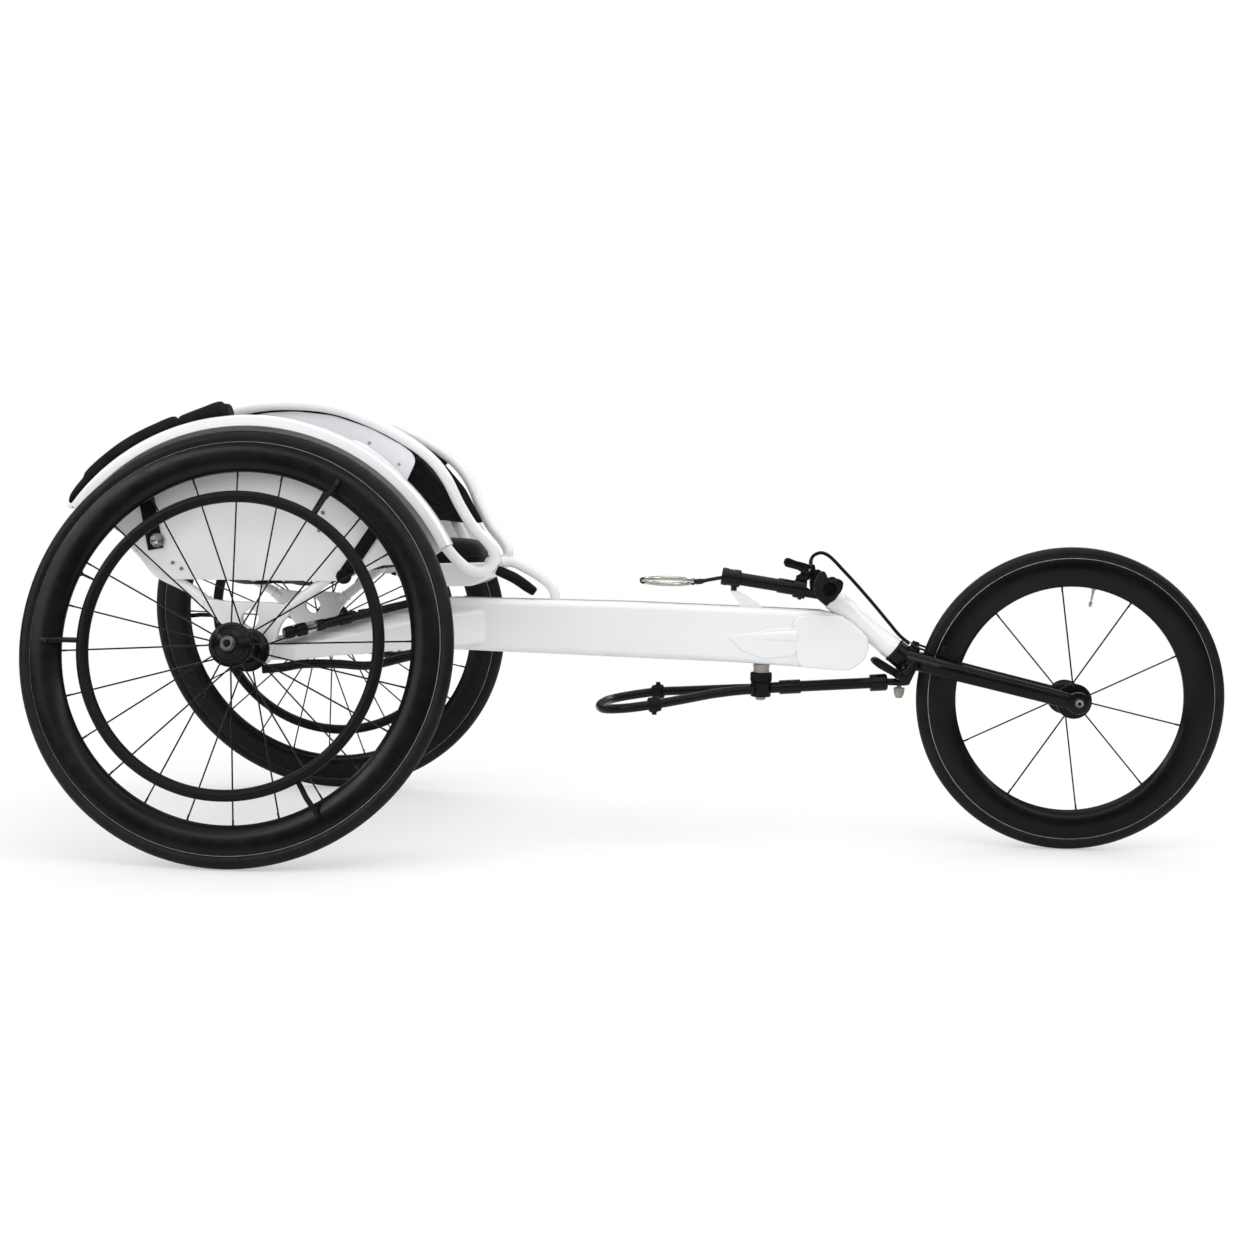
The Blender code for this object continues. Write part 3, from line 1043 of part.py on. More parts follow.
stud_top = HEAD_LOW.z + ARM_BOTTOM - GAP - stud_at.z
stud = revolve([(0, stud_top), (0.0045, stud_top), (0.0045, 0.0062), (BALL_RADIUS * 0.8, 0.0040),
                (BALL_RADIUS, 0), (BALL_RADIUS * 0.8, -0.0040), (0.0040, -0.0062), (0.0040, -0.0090),
                (0.0092, -0.0100), (0.0082, -0.0200), (0.0050, -0.0265), (0, -0.0265)], 12,
               matrix=Matrix.Translation(stud_at))
finish("steering_stud", stud, GREY, 0.6, 0, STEERING)

# Track lever: post, collar, loop, clamps, rod and its slotted eye

BEAM_UNDER_POST = -0.0297
BLOCK_HIGH = -0.0607
BLOCK_LOW = -0.0858
post_top = BEAM_UNDER_POST - GAP - 0.0004
post = [(0, post_top), (POST_RADIUS, post_top), (POST_RADIUS, -0.0447), (POST_PIN, -0.0447),
        (POST_PIN, BLOCK_LOW - GAP), (0.0085, BLOCK_LOW - GAP), (0.0085, BLOCK_LOW - 0.0045),
        (0.0060, BLOCK_LOW - 0.006), (0, BLOCK_LOW - 0.006)]
POST_FRAME = Matrix.Translation(Vector((TRACK_PIVOT_AT.x, 0, HEAD_LOW.z)))
pivot_post = finish("pivot_post", revolve(list(reversed(post)), 12, matrix=POST_FRAME), GREY, 0.5)
collar = [(0, BLOCK_HIGH + GAP), (COLLAR_RADIUS, BLOCK_HIGH + GAP), (COLLAR_RADIUS, -0.0450), (0, -0.0450)]
tool(pivot_post, revolve(collar, 14, matrix=POST_FRAME), "UNION")

LOOP_HALF = [(-0.0120, 0.0105, -0.0005), (-0.030, 0.013, -0.0015), (-0.078, 0.030, -0.0065),
             (-0.128, 0.061, -0.0135), (-0.1755, 0.088, -0.0200), (-0.222, 0.088, -0.0275),
             (-0.255, 0.066, -0.0325), (-0.267, 0.032, -0.0345)]
block_mid = HEAD_LOW.z + (BLOCK_HIGH + BLOCK_LOW) / 2
near = [Vector((TRACK_PIVOT_AT.x + x, -y, block_mid + z)) for x, y, z in LOOP_HALF]
far = [Vector((p.x, -p.y, p.z)) for p in reversed(near)]
turn_point = Vector((TRACK_PIVOT_AT.x - 0.270, 0, block_mid - 0.0350))
loop_route = smooth_route(near + [turn_point] + far, 0.05)
track_loop = finish("track_loop", sweep(loop_route, LOOP_TUBE, 8), BLACK, 0.35, 0, TRACK_PIVOT)
block_shape = revolve([(0, BLOCK_LOW), (0.0172, BLOCK_LOW), (0.0172, BLOCK_HIGH), (0, BLOCK_HIGH)], 14,
                      matrix=POST_FRAME)
tool(track_loop, block_shape, "UNION")
post_hole = revolve([(0, BLOCK_LOW - 0.02), (POST_PIN + RUNNING, BLOCK_LOW - 0.02),
                     (POST_PIN + RUNNING, BLOCK_HIGH + 0.02), (0, BLOCK_HIGH + 0.02)], 12, matrix=POST_FRAME)
tool(track_loop, post_hole, "DIFFERENCE")

for side in (-1, 1):
    clamp = bmesh.new()
    center = Vector((TRACK_PIVOT_AT.x - 0.1755, side * 0.088, block_mid - 0.0200))
    along = Vector((0.094, -side * 0.027, 0.0140))
    clamp_frame = frame_at(center, along)
    outer = LOOP_TUBE + 0.0045
    revolve([(0, -0.0095), (outer, -0.0095), (outer, 0.0095), (0, 0.0095)], 10, clamp, clamp_frame)
    tool(track_loop, clamp, "UNION")
    clamp_bolt = bmesh.new()
    drum(clamp_bolt, center + Vector((0, 0, side * (outer + 0.0015))), Vector((0, 0, 1)), 0.0050, 0.0090, 6)
    tool(track_loop, clamp_bolt, "UNION")

ROD_RISE = 0.0025
rod_start = Vector((TRACK_PIVOT_AT.x + 0.0187, 0, block_mid + ROD_RISE))
rod_end = front(STUD_X - 0.0205, 0, EYE_RISE - 0.0006)
rod_way = rod_end - rod_start
rod_length = rod_way.length
rod = revolve([(0, 0), (ROD_RADIUS, 0), (ROD_RADIUS, 0.014), (0.0118, 0.015), (0.0118, 0.050),
               (ROD_RADIUS, 0.052), (ROD_RADIUS, rod_length - 0.029), (0.0142, rod_length - 0.028),
               (0.0142, rod_length - 0.002), (0.0120, rod_length), (0, rod_length)], 12,
              matrix=frame_at(rod_start, rod_way))
track_rod = finish("track_rod", rod, BLACK, 0.35, 0, TRACK_PIVOT)
eye_low = stud_at.z - 0.0035
eye_high = stud_at.z + 0.0035
eye_outline = [(stud_at.x + x, y) for x, y in ((-0.026, -0.0115), (0.001, -0.0135), (0.0115, -0.009),
                                              (0.0130, 0), (0.0115, 0.009), (0.001, 0.0135),
                                              (-0.026, 0.0115))]
tool(track_rod, prism(eye_outline, eye_low, eye_high, axis="z"), "UNION")
slot_half = BALL_RADIUS + BALL_CLEARANCE
slot_outline = [(stud_at.x + x, y) for x, y in ((-0.0095, -slot_half), (0.0092, -slot_half),
                                               (0.0092, slot_half), (-0.0095, slot_half))]
tool(track_rod, prism(slot_outline, eye_low - 0.015, eye_high + 0.015, axis="z"), "DIFFERENCE")
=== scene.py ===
# %% [markdown]
# A racing wheelchair is a long tricycle: two big wheels that lean in at the top, a slim box beam, and a
# small front wheel in a raked fork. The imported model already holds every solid, joint and body. This file
# dresses it: each plain solid gets a fine mesh of the same size in the same place, and a finish made of
# nodes. The first cell loads that model and keeps its outer box, so the last cell can compare.

# %% Load the model
import math

import bmesh
import bpy
from mathutils import Matrix, Vector
from mathutils.bvhtree import BVHTree


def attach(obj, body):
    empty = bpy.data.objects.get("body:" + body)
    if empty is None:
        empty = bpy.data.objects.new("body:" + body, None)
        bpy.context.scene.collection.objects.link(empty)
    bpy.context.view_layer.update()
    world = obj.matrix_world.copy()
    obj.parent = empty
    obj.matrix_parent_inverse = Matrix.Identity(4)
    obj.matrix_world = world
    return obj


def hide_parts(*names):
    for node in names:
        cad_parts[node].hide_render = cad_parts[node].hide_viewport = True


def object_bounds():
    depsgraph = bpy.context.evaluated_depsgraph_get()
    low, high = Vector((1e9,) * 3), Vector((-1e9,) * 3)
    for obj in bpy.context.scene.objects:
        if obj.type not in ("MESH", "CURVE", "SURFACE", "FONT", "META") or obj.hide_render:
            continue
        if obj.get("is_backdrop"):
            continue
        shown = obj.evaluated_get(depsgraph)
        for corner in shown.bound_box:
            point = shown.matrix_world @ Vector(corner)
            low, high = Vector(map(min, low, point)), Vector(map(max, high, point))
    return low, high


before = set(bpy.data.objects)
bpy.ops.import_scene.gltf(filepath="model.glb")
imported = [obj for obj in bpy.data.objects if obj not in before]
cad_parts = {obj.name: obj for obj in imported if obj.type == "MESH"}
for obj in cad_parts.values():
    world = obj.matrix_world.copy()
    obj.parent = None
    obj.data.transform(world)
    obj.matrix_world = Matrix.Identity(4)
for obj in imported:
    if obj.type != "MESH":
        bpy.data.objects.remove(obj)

scene = bpy.context.scene
solid_box = [[float(c) for c in corner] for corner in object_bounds()]
print("box of the solids:", solid_box)

# %% [markdown]
# The photograph looks at the chair from its right side, a little from above, through a long lens. A camera
# can be turned with three angles. Here its matrix is put together from its own right, up and back
# directions, because a small roll is then easy to add: turn right and up about the view line.

# %% Camera at the photograph's place
CAMERA_PLACE = Vector((0.0898, -2.3556, 0.5283))
CAMERA_YAW = 0.05422
CAMERA_PITCH = 0.07389
CAMERA_ROLL = 0.02167
IMAGE_SIZE = 1254
FOCAL_PIXELS = 1401.4
SENSOR = 36.0

view_line = Vector((-math.sin(CAMERA_YAW) * math.cos(CAMERA_PITCH),
                    math.cos(CAMERA_YAW) * math.cos(CAMERA_PITCH), -math.sin(CAMERA_PITCH)))
level_right = Vector((math.cos(CAMERA_YAW), math.sin(CAMERA_YAW), 0))
level_up = level_right.cross(view_line)
right = level_right * math.cos(CAMERA_ROLL) + level_up * math.sin(CAMERA_ROLL)
up = level_up * math.cos(CAMERA_ROLL) - level_right * math.sin(CAMERA_ROLL)
camera = bpy.data.objects.new("camera", bpy.data.cameras.new("camera"))
camera.data.sensor_width = SENSOR
camera.data.lens = SENSOR * FOCAL_PIXELS / IMAGE_SIZE
camera.matrix_world = (Matrix.Translation(CAMERA_PLACE)
                       @ Matrix((right, up, -view_line)).transposed().to_4x4())
scene.collection.objects.link(camera)
scene.camera = camera
scene.view_settings.view_transform = "Standard"
print("lens:", round(camera.data.lens, 2), "mm")

# %% [markdown]
# A studio shot on white has one big soft light above and weaker ones that fill the sides. The world is a
# pale grey that lights the chair evenly. The camera sees plain white instead. Glossy rays see a dim room
# with one bright band round it, which gives black parts their deep tone and their thin streaks.

# %% Soft studio light
FILL_LEVEL = 0.88
world = bpy.data.worlds.new("studio")
scene.world = world
world.use_nodes = True
nodes = world.node_tree.nodes
links = world.node_tree.links
path = nodes.new("ShaderNodeLightPath")
heading = nodes.new("ShaderNodeTexCoord")
parts = nodes.new("ShaderNodeSeparateXYZ")
ceiling = nodes.new("ShaderNodeValToRGB")
stops = ceiling.color_ramp.elements
stops[0].color = (0.01, 0.01, 0.01, 1)
stops[1].color = (0.22, 0.22, 0.22, 1)
for height, level in ((0.3, 0.03), (0.43, 0.05), (0.47, 1.0), (0.52, 1.0), (0.56, 0.06), (0.8, 0.16)):
    stops.new(height).color = (level, level, level, 1)
BAND_LEVEL = 4.4
scaled = nodes.new("ShaderNodeMath")
scaled.operation = "MULTIPLY"
scaled.inputs[1].default_value = BAND_LEVEL
links.new(heading.outputs["Generated"], parts.inputs[0])
links.new(parts.outputs["Z"], ceiling.inputs["Fac"])
links.new(ceiling.outputs["Color"], scaled.inputs[0])


def background(strength):
    made = nodes.new("ShaderNodeBackground")
    made.inputs["Color"].default_value = (1, 1, 1, 1)
    made.inputs["Strength"].default_value = strength
    return made


def chosen(fac, otherwise, when):
    """One shader for most rays and another for the rays that a light path output marks."""
    mix = nodes.new("ShaderNodeMixShader")
    links.new(fac, mix.inputs["Fac"])
    links.new(otherwise.outputs[0], mix.inputs[1])
    links.new(when.outputs[0], mix.inputs[2])
    return mix


room = background(1.0)
links.new(scaled.outputs[0], room.inputs["Strength"])
lit = chosen(path.outputs["Is Glossy Ray"], background(FILL_LEVEL), room)
seen = chosen(path.outputs["Is Camera Ray"], lit, background(1.0))
links.new(seen.outputs[0], nodes["World Output"].inputs["Surface"])


def soft_light(name, place, aim, size, power):
    """One square soft box that looks at a point."""
    lamp = bpy.data.lights.new(name, "AREA")
    lamp.shape = "SQUARE"
    lamp.size = size
    lamp.energy = power
    box = bpy.data.objects.new(name, lamp)
    way = (Vector(aim) - Vector(place)).normalized()
    box.matrix_world = Matrix.Translation(place) @ way.to_track_quat("-Z", "Y").to_matrix().to_4x4()
    scene.collection.objects.link(box)


soft_light("top_light", (0.2, -0.6, 3.0), (0, 0, 0.3), 2.6, 22)
soft_light("side_light", (-2.4, -2.2, 1.6), (-0.2, 0, 0.3), 1.6, 18)
soft_light("rear_light", (2.0, 2.4, 1.8), (0, 0, 0.3), 1.8, 9)

# %% [markdown]
# The floor of the photograph is as white as its background, with only a faint shadow at the wheels. A
# floor lit to pure white would flood the chair with light from below. So the camera sees a dim floor with
# a white glow added to it, which keeps the shadow, and every other ray meets plain pale paint.

# %% Floor
FLOOR_HALF = 6.0
FLOOR_GLOW = 0.33
FADE_START = 1.3
FADE_END = 2.4
floor_bm = bmesh.new()
bmesh.ops.create_grid(floor_bm, x_segments=1, y_segments=1, size=FLOOR_HALF)
floor_mesh = bpy.data.meshes.new("floor")
floor_bm.to_mesh(floor_mesh)
floor_bm.free()
floor = bpy.data.objects.new("floor", floor_mesh)
scene.collection.objects.link(floor)
floor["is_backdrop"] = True
floor_paint = bpy.data.materials.new("floor_paint")
floor_paint.use_nodes = True
nodes = floor_paint.node_tree.nodes
links = floor_paint.node_tree.links
plain = nodes["Principled BSDF"]
plain.inputs["Base Color"].default_value = (0.8, 0.8, 0.8, 1)
plain.inputs["Roughness"].default_value = 0.9
plain.inputs["Specular IOR Level"].default_value = 0.1
dim = nodes.new("ShaderNodeBsdfDiffuse")
dim.inputs["Color"].default_value = (0.66, 0.66, 0.66, 1)
glow = nodes.new("ShaderNodeEmission")
glow.inputs["Strength"].default_value = FLOOR_GLOW
shown = nodes.new("ShaderNodeAddShader")
links.new(dim.outputs[0], shown.inputs[0])
links.new(glow.outputs[0], shown.inputs[1])
place = nodes.new("ShaderNodeNewGeometry")
distance = nodes.new("ShaderNodeVectorMath")
distance.operation = "LENGTH"
fade = nodes.new("ShaderNodeMapRange")
for socket, value in (("From Min", FADE_START), ("From Max", FADE_END), ("To Min", 0.0), ("To Max", 1.0)):
    fade.inputs[socket].default_value = value
links.new(place.outputs["Position"], distance.inputs[0])
links.new(distance.outputs["Value"], fade.inputs["Value"])
white = nodes.new("ShaderNodeEmission")
faded = chosen(fade.outputs["Result"], shown, white)
path = nodes.new("ShaderNodeLightPath")
surface = chosen(path.outputs["Is Camera Ray"], plain, faded)
links.new(surface.outputs[0], nodes["Material Output"].inputs["Surface"])
floor_mesh.materials.append(floor_paint)

# %% [markdown]
# Sizes come next, in metres. They are the real ones of the solids: this file can't read the script that
# made those, so the driving sizes are written again. Everything else is placed from two points, the
# middle of the rear axle line and the lower end of the head tube, as a frame builder's drawing would.
# Long lists of points are written in millimetres and go through `mm`.

# %% Sizes and places
CAMBER = math.radians(11.0)
HALF_TRACK = 0.27
WHEELBASE = 1.32
REAR_RADIUS = 0.335
REAR_RIM_OUTER = 0.315
REAR_RIM_INNER = 0.27
FRONT_RADIUS = 0.2525
FRONT_RIM_OUTER = 0.2335
FRONT_RIM_INNER = 0.187
TREAD_HALF_WIDTH = 0.003
HEAD_ANGLE = math.radians(38.5)
FORK_LENGTH = FRONT_RADIUS + 0.0241
FORK_OFFSET = 0.1233
GAP = 0.0003
RUNNING = 0.0005
SIDES = (("left", 1), ("right", -1))
X_WAY = Vector((1, 0, 0))
Y_WAY = Vector((0, 1, 0))
Z_WAY = Vector((0, 0, 1))

AXLE_Z = REAR_RADIUS * math.cos(CAMBER) + TREAD_HALF_WIDTH * math.sin(CAMBER)
CHAIR_X = -(WHEELBASE + FRONT_RADIUS - REAR_RADIUS) / 2
FORWARD_UP = Vector((math.sin(HEAD_ANGLE), 0, math.cos(HEAD_ANGLE)))
STEER_UP = Vector((-math.cos(HEAD_ANGLE), 0, math.sin(HEAD_ANGLE)))
FRONT_AXLE = Vector((WHEELBASE + CHAIR_X, 0, FRONT_RADIUS))
HEAD_LOW = FRONT_AXLE + STEER_UP * FORK_LENGTH - FORWARD_UP * FORK_OFFSET


def rear(x, y, rise):
    """A place given from the middle of the rear axle line."""
    return Vector((CHAIR_X + x, y, AXLE_Z + rise))


def front(x, y, rise):
    """A place given from the head tube's lower end."""
    return HEAD_LOW + Vector((x, y, rise))


def steer(forward, y, rise):
    """A place given across and along the steering axis, from the head tube's lower end."""
    return HEAD_LOW + FORWARD_UP * forward + Y_WAY * y + STEER_UP * rise


def mm(*points):
    """Points that are written in millimetres, turned into metres."""
    return [tuple(c / 1000 for c in point) for point in points]


def rear_route(points, side=1):
    """Places given from the rear axle line, on the left side or mirrored to the right."""
    return [rear(x, side * y, z) for x, y, z in points]


def at_rear(points):
    """An outline in the XZ plane, given from the rear axle line."""
    return [(CHAIR_X + x, AXLE_Z + z) for x, z in points]


def at_front(points):
    """An outline in the XZ plane, given from the head tube's lower end."""
    return [(HEAD_LOW.x + x, HEAD_LOW.z + z) for x, z in points]


def frame_at(origin, along):
    """A frame at a place whose +Z runs along a direction."""
    z_axis = along.normalized()
    helper = Y_WAY if abs(z_axis.y) < 0.9 else Z_WAY
    x_axis = helper.cross(z_axis).normalized()
    turn = Matrix((x_axis, z_axis.cross(x_axis), z_axis)).transposed().to_4x4()
    return Matrix.Translation(origin) @ turn


def rear_wheel_frame(side):
    """The frame of a rear wheel, with +Z outward along its leaning axle."""
    lean = Matrix.Rotation(-side * (math.radians(90) - CAMBER), 4, "X")
    return Matrix.Translation(rear(0, side * HALF_TRACK, 0)) @ lean


STEER_FRAME = frame_at(HEAD_LOW, STEER_UP)
print("rear axle height:", round(AXLE_Z, 4), "head tube foot:", [round(c, 4) for c in HEAD_LOW])

# %% [markdown]
# A finish is a Principled shader with some life in it. Sprayed paint is never one flat value: its colour
# drifts a little, its gloss changes with handling, and a faint ripple shows in reflections. Small helpers
# add those to any finish with Noise nodes on Object coordinates, so a pattern stays on its piece at a real
# scale whatever the mesh underneath is.


def rgb(tone):
    """A colour as three values; one number stands for a grey."""
    return tone if isinstance(tone, tuple) else (tone, tone, tone)


def new_finish(name, slot, color, rough, metal=0.0, coat=0.0, sheen=0.0, mirror=0.5):
    """A Principled finish with plain values on its own sockets."""
    made = bpy.data.materials.new(name)
    made.use_nodes = True
    shader = made.node_tree.nodes["Principled BSDF"]
    for socket, value in (("Base Color", (*rgb(color), 1)), ("Roughness", rough), ("Metallic", metal),
                          ("Specular IOR Level", mirror), ("Coat Weight", coat), ("Coat Roughness", 0.06),
                          ("Sheen Weight", sheen), ("Sheen Roughness", 0.4)):
        shader.inputs[socket].default_value = value
    made.diffuse_color = (*rgb(color), 1)
    return made


def noise_on(made, scale, detail=3.0, stretch=(1, 1, 1)):
    """A Noise texture on Object coordinates, with its size in features per metre."""
    nodes = made.node_tree.nodes
    links = made.node_tree.links
    place = nodes.new("ShaderNodeTexCoord")
    mapping = nodes.new("ShaderNodeMapping")
    mapping.inputs["Scale"].default_value = stretch
    texture = nodes.new("ShaderNodeTexNoise")
    texture.inputs["Scale"].default_value = scale
    texture.inputs["Detail"].default_value = detail
    links.new(place.outputs["Object"], mapping.inputs["Vector"])
    links.new(mapping.outputs["Vector"], texture.inputs["Vector"])
    return texture.outputs["Fac"]


def between(made, value, node, way_in, way_out, socket):
    """Puts a node between a texture's value and a socket of the shader."""
    made.node_tree.links.new(value, node.inputs[way_in])
    made.node_tree.links.new(node.outputs[way_out], made.node_tree.nodes["Principled BSDF"].inputs[socket])


def drift_color(made, value, low, high):
    """Lets the colour drift between two tones with a texture's value."""
    ramp = made.node_tree.nodes.new("ShaderNodeValToRGB")
    for element, position, tone in zip(ramp.color_ramp.elements, (0.35, 0.65), (low, high)):
        element.position = position
        element.color = (*rgb(tone), 1)
    between(made, value, ramp, "Fac", "Color", "Base Color")


def drift_gloss(made, value, low, high):
    """Lets the roughness move between two values with a texture's value."""
    reach = made.node_tree.nodes.new("ShaderNodeMapRange")
    for socket, number in (("From Min", 0.3), ("From Max", 0.7), ("To Min", low), ("To Max", high)):
        reach.inputs[socket].default_value = number
    between(made, value, reach, "Value", "Result", "Roughness")


def ripple(made, value, height, strength=1.0):
    """Raises a texture's value as a bump of a real height."""
    bump = made.node_tree.nodes.new("ShaderNodeBump")
    bump.inputs["Strength"].default_value = strength
    bump.inputs["Distance"].default_value = height
    between(made, value, bump, "Height", "Normal", "Normal")


def finish(name, slot, color, rough, drift=None, gloss=None, bump=None, **more):
    """A whole finish. Drift, gloss and bump each name their noise first, then their two values."""
    made = new_finish(name, slot, color, rough, **more)
    for effect, values in ((drift_color, drift), (drift_gloss, gloss), (ripple, bump)):
        if values:
            effect(made, noise_on(made, *values[0]), *values[1:])
    return made


# %% [markdown]
# The frame, fenders and tray are sprayed gloss white, over a cool grey-white on the seat's side panels.
# The black parts are of four kinds: satin lacquer on rims, hubs, fork and levers, matt moulded plastic,
# the soft grip of the push rims, and dense foam on the fenders.

# %% Paints, plastics and rubber
white_paint = finish("white_paint", "white_paint", (0.89, 0.895, 0.91), 0.26,
                     ((3, 1), (0.888, 0.893, 0.908), (0.894, 0.899, 0.912)),
                     ((12, 1), 0.25, 0.27), ((120, 0), 0.00001, 0.2), coat=0.5)
grey_panel = finish("grey_panel", "grey_panel", (0.86, 0.868, 0.89), 0.42,
                    ((4, 1), (0.855, 0.863, 0.885), (0.865, 0.873, 0.895)),
                    ((60,), 0.38, 0.48), ((900, 2), 0.00003, 0.4), coat=0.15)
black_lacquer = finish("black_lacquer", "black_paint", 0.004, 0.24, ((9,), 0.003, 0.006),
                       ((45,), 0.2, 0.3), ((1100, 2), 0.00003, 0.4), mirror=0.18)
black_plastic = finish("black_plastic", "black_plastic", 0.006, 0.5, ((14,), 0.004, 0.008),
                       ((80,), 0.46, 0.64), ((1600, 3), 0.0001, 0.7), mirror=0.12)
grip_rubber = finish("grip_rubber", "pad_foam", 0.004, 0.34, None,
                     ((70,), 0.36, 0.5), ((1300, 2), 0.00006, 0.5), mirror=0.15)
pad_foam = finish("pad_foam", "pad_foam", 0.008, 0.82, ((20,), 0.006, 0.012),
                  None, ((1500, 4), 0.0003, 0.8), sheen=0.05, mirror=0.12)
tyre_rubber = finish("tyre_rubber", "tyre_rubber", 0.005, 0.32, ((30,), 0.004, 0.008),
                     ((90,), 0.36, 0.54), ((1400, 3), 0.0001, 0.6), mirror=0.19)
tan_edge = finish("tan_edge", "tyre_rubber", (0.44, 0.41, 0.35), 0.7,
                  ((120,), (0.36, 0.33, 0.28), (0.52, 0.48, 0.42)), mirror=0.2)
grey_plastic = finish("grey_plastic", "grey_plastic", (0.34, 0.32, 0.28), 0.5,
                      ((60,), (0.29, 0.27, 0.24), (0.39, 0.37, 0.33)), None,
                      ((1500, 3), 0.0001, 0.6), mirror=0.3)

# %% [markdown]
# Bare metal shows only in small places: the nuts at the wheels, the bolts, the ring at the tiller and the
# races in the head tube. Turned and polished metal keeps fine streaks. A noise that is squeezed along two
# directions gives them to the roughness.

# %% Metals
satin_silver = finish("satin_silver", "silver", (0.42, 0.41, 0.385), 0.3, None,
                      ((900, 2, (1, 1, 0.08)), 0.22, 0.4), metal=1.0)
bright_steel = finish("bright_steel", "bright_steel", (0.5, 0.485, 0.45), 0.16, None,
                      ((700, 2, (0.1, 1, 1)), 0.1, 0.24), metal=1.0)
dull_steel = finish("dull_steel", "silver", (0.17, 0.165, 0.155), 0.32, None,
                    ((600,), 0.26, 0.4), metal=1.0)
bearing_steel = finish("bearing_steel", "bearing_steel", (0.38, 0.38, 0.37), 0.28, None,
                       ((800,), 0.2, 0.36), metal=1.0)
black_steel = finish("black_steel", "black_paint", 0.016, 0.34, None,
                     ((500,), 0.26, 0.44), metal=0.3, mirror=0.2)

# %% [markdown]
# Cloth comes as two kinds. The sling and the knee cushion are a quilted nylon, and the straps are woven
# webbing with ribs across their width. A weave is two Wave textures at right angles, multiplied, and it
# feeds both the colour and the bump: the colour is painted shade, darker where the threads dip.

# %% Cloth


def weave(made, across, along, height, low, high):
    """Two crossed Wave textures, with their threads per metre along two Object axes, and painted shade in the
    dips.
    """
    nodes = made.node_tree.nodes
    links = made.node_tree.links
    place = nodes.new("ShaderNodeTexCoord")
    product = nodes.new("ShaderNodeMath")
    product.operation = "MULTIPLY"
    for index, (direction, count) in enumerate((across, along)):
        wave = nodes.new("ShaderNodeTexWave")
        wave.bands_direction = direction
        wave.inputs["Scale"].default_value = count / 20
        wave.inputs["Distortion"].default_value = 0.4
        wave.inputs["Detail Scale"].default_value = 2.0
        links.new(place.outputs["Object"], wave.inputs["Vector"])
        links.new(wave.outputs["Fac"], product.inputs[index])
    # Painted shade: the colour darkens where the weave dips.
    drift_color(made, product.outputs[0], low, high)
    ripple(made, product.outputs[0], height)


quilted_cloth = new_finish("quilted_cloth", "seat_cloth", 0.01, 0.8, sheen=0.12, mirror=0.15)
weave(quilted_cloth, ("X", 9000), ("Z", 9000), 0.00012, (0.005, 0.005, 0.006), (0.018, 0.018, 0.019))
webbing = new_finish("webbing", "seat_cloth", 0.009, 0.72, sheen=0.1, mirror=0.15)
weave(webbing, ("DIAGONAL", 4500), ("Y", 5200), 0.0002, 0.005, (0.017, 0.017, 0.018))
thread = finish("thread", "seat_cloth", (0.05, 0.05, 0.052), 0.7,
                ((2500,), (0.03, 0.03, 0.032), (0.085, 0.085, 0.088)), sheen=0.3)
print("finishes:", len(bpy.data.materials))

# %% [markdown]
# Every shape below starts as its own small bmesh and is closed when it is done. Four ways to start cover
# nearly all of a chair: an outline turned on a lathe, a tube bent along a route, a plate cut from a
# sheet, and a ring that changes its section as it goes. Each shape function here is one of them. The
# first two functions only give directions round an axle.

# %% Lathe, tube and plate
def ray(angle):
    """The direction from a wheel's axle at an angle, in the wheel's own frame."""
    return Vector((math.cos(angle), math.sin(angle), 0))


def around(count, start_degrees):
    """Angles evenly spaced round a full turn."""
    return [math.radians(start_degrees) + math.tau * k / count for k in range(count)]


def moved(bm, matrix):
    """A whole shape, moved by a matrix."""
    bmesh.ops.transform(bm, matrix=matrix, verts=bm.verts)
    return bm


def pulled(bm, face):
    """Extrudes a face where it is, and returns the new one for the caller to move."""
    made = bmesh.ops.extrude_face_region(bm, geom=[face])["geom"]
    return [g for g in made if isinstance(g, bmesh.types.BMFace)][0]


def turned(profile, steps=64, matrix=None):
    """Spins a (radius, height) outline about +Z. Points at radius 0 close on the axis."""
    bm = bmesh.new()
    points = [bm.verts.new((r, 0, z)) for r, z in profile]
    edges = [bm.edges.new(pair) for pair in zip(points, points[1:])]
    if profile[0][0] > 0 or profile[-1][0] > 0:
        edges.append(bm.edges.new((points[-1], points[0])))
    bmesh.ops.spin(bm, geom=points + edges, cent=(0, 0, 0), axis=(0, 0, 1), angle=math.tau, steps=steps,
                   use_merge=True, use_duplicate=False)
    bmesh.ops.remove_doubles(bm, verts=bm.verts, dist=0.000005)
    return bm if matrix is None else moved(bm, matrix)


def mirrored(half):
    """A lathe outline that is given up to its middle, with its other half added in reverse."""
    return half + [(r, -z) for r, z in reversed(half)]


def smooth_route(points, step):
    """Points about a step apart on the smooth curve through the given ones."""
    points = [Vector(p) for p in points]
    padded = [points[0] * 2 - points[1]] + points + [points[-1] * 2 - points[-2]]
    route = [points[0]]
    for a, b, c, d in zip(padded, padded[1:], padded[2:], padded[3:]):
        ab, bc, cd = (max((q - p).length, 0.000001) ** 0.5 for p, q in ((a, b), (b, c), (c, d)))
        leave = c - b + ((b - a) / ab - (c - a) / (ab + bc)) * bc
        arrive = c - b + ((d - c) / cd - (d - b) / (bc + cd)) * bc
        pieces = max(1, round((c - b).length / step))
        for k in range(1, pieces + 1):
            t = k / pieces
            route.append(b * (2 * t ** 3 - 3 * t * t + 1) + leave * (t ** 3 - 2 * t * t + t)
                         + c * (3 * t * t - 2 * t ** 3) + arrive * (t ** 3 - t * t))
    return route


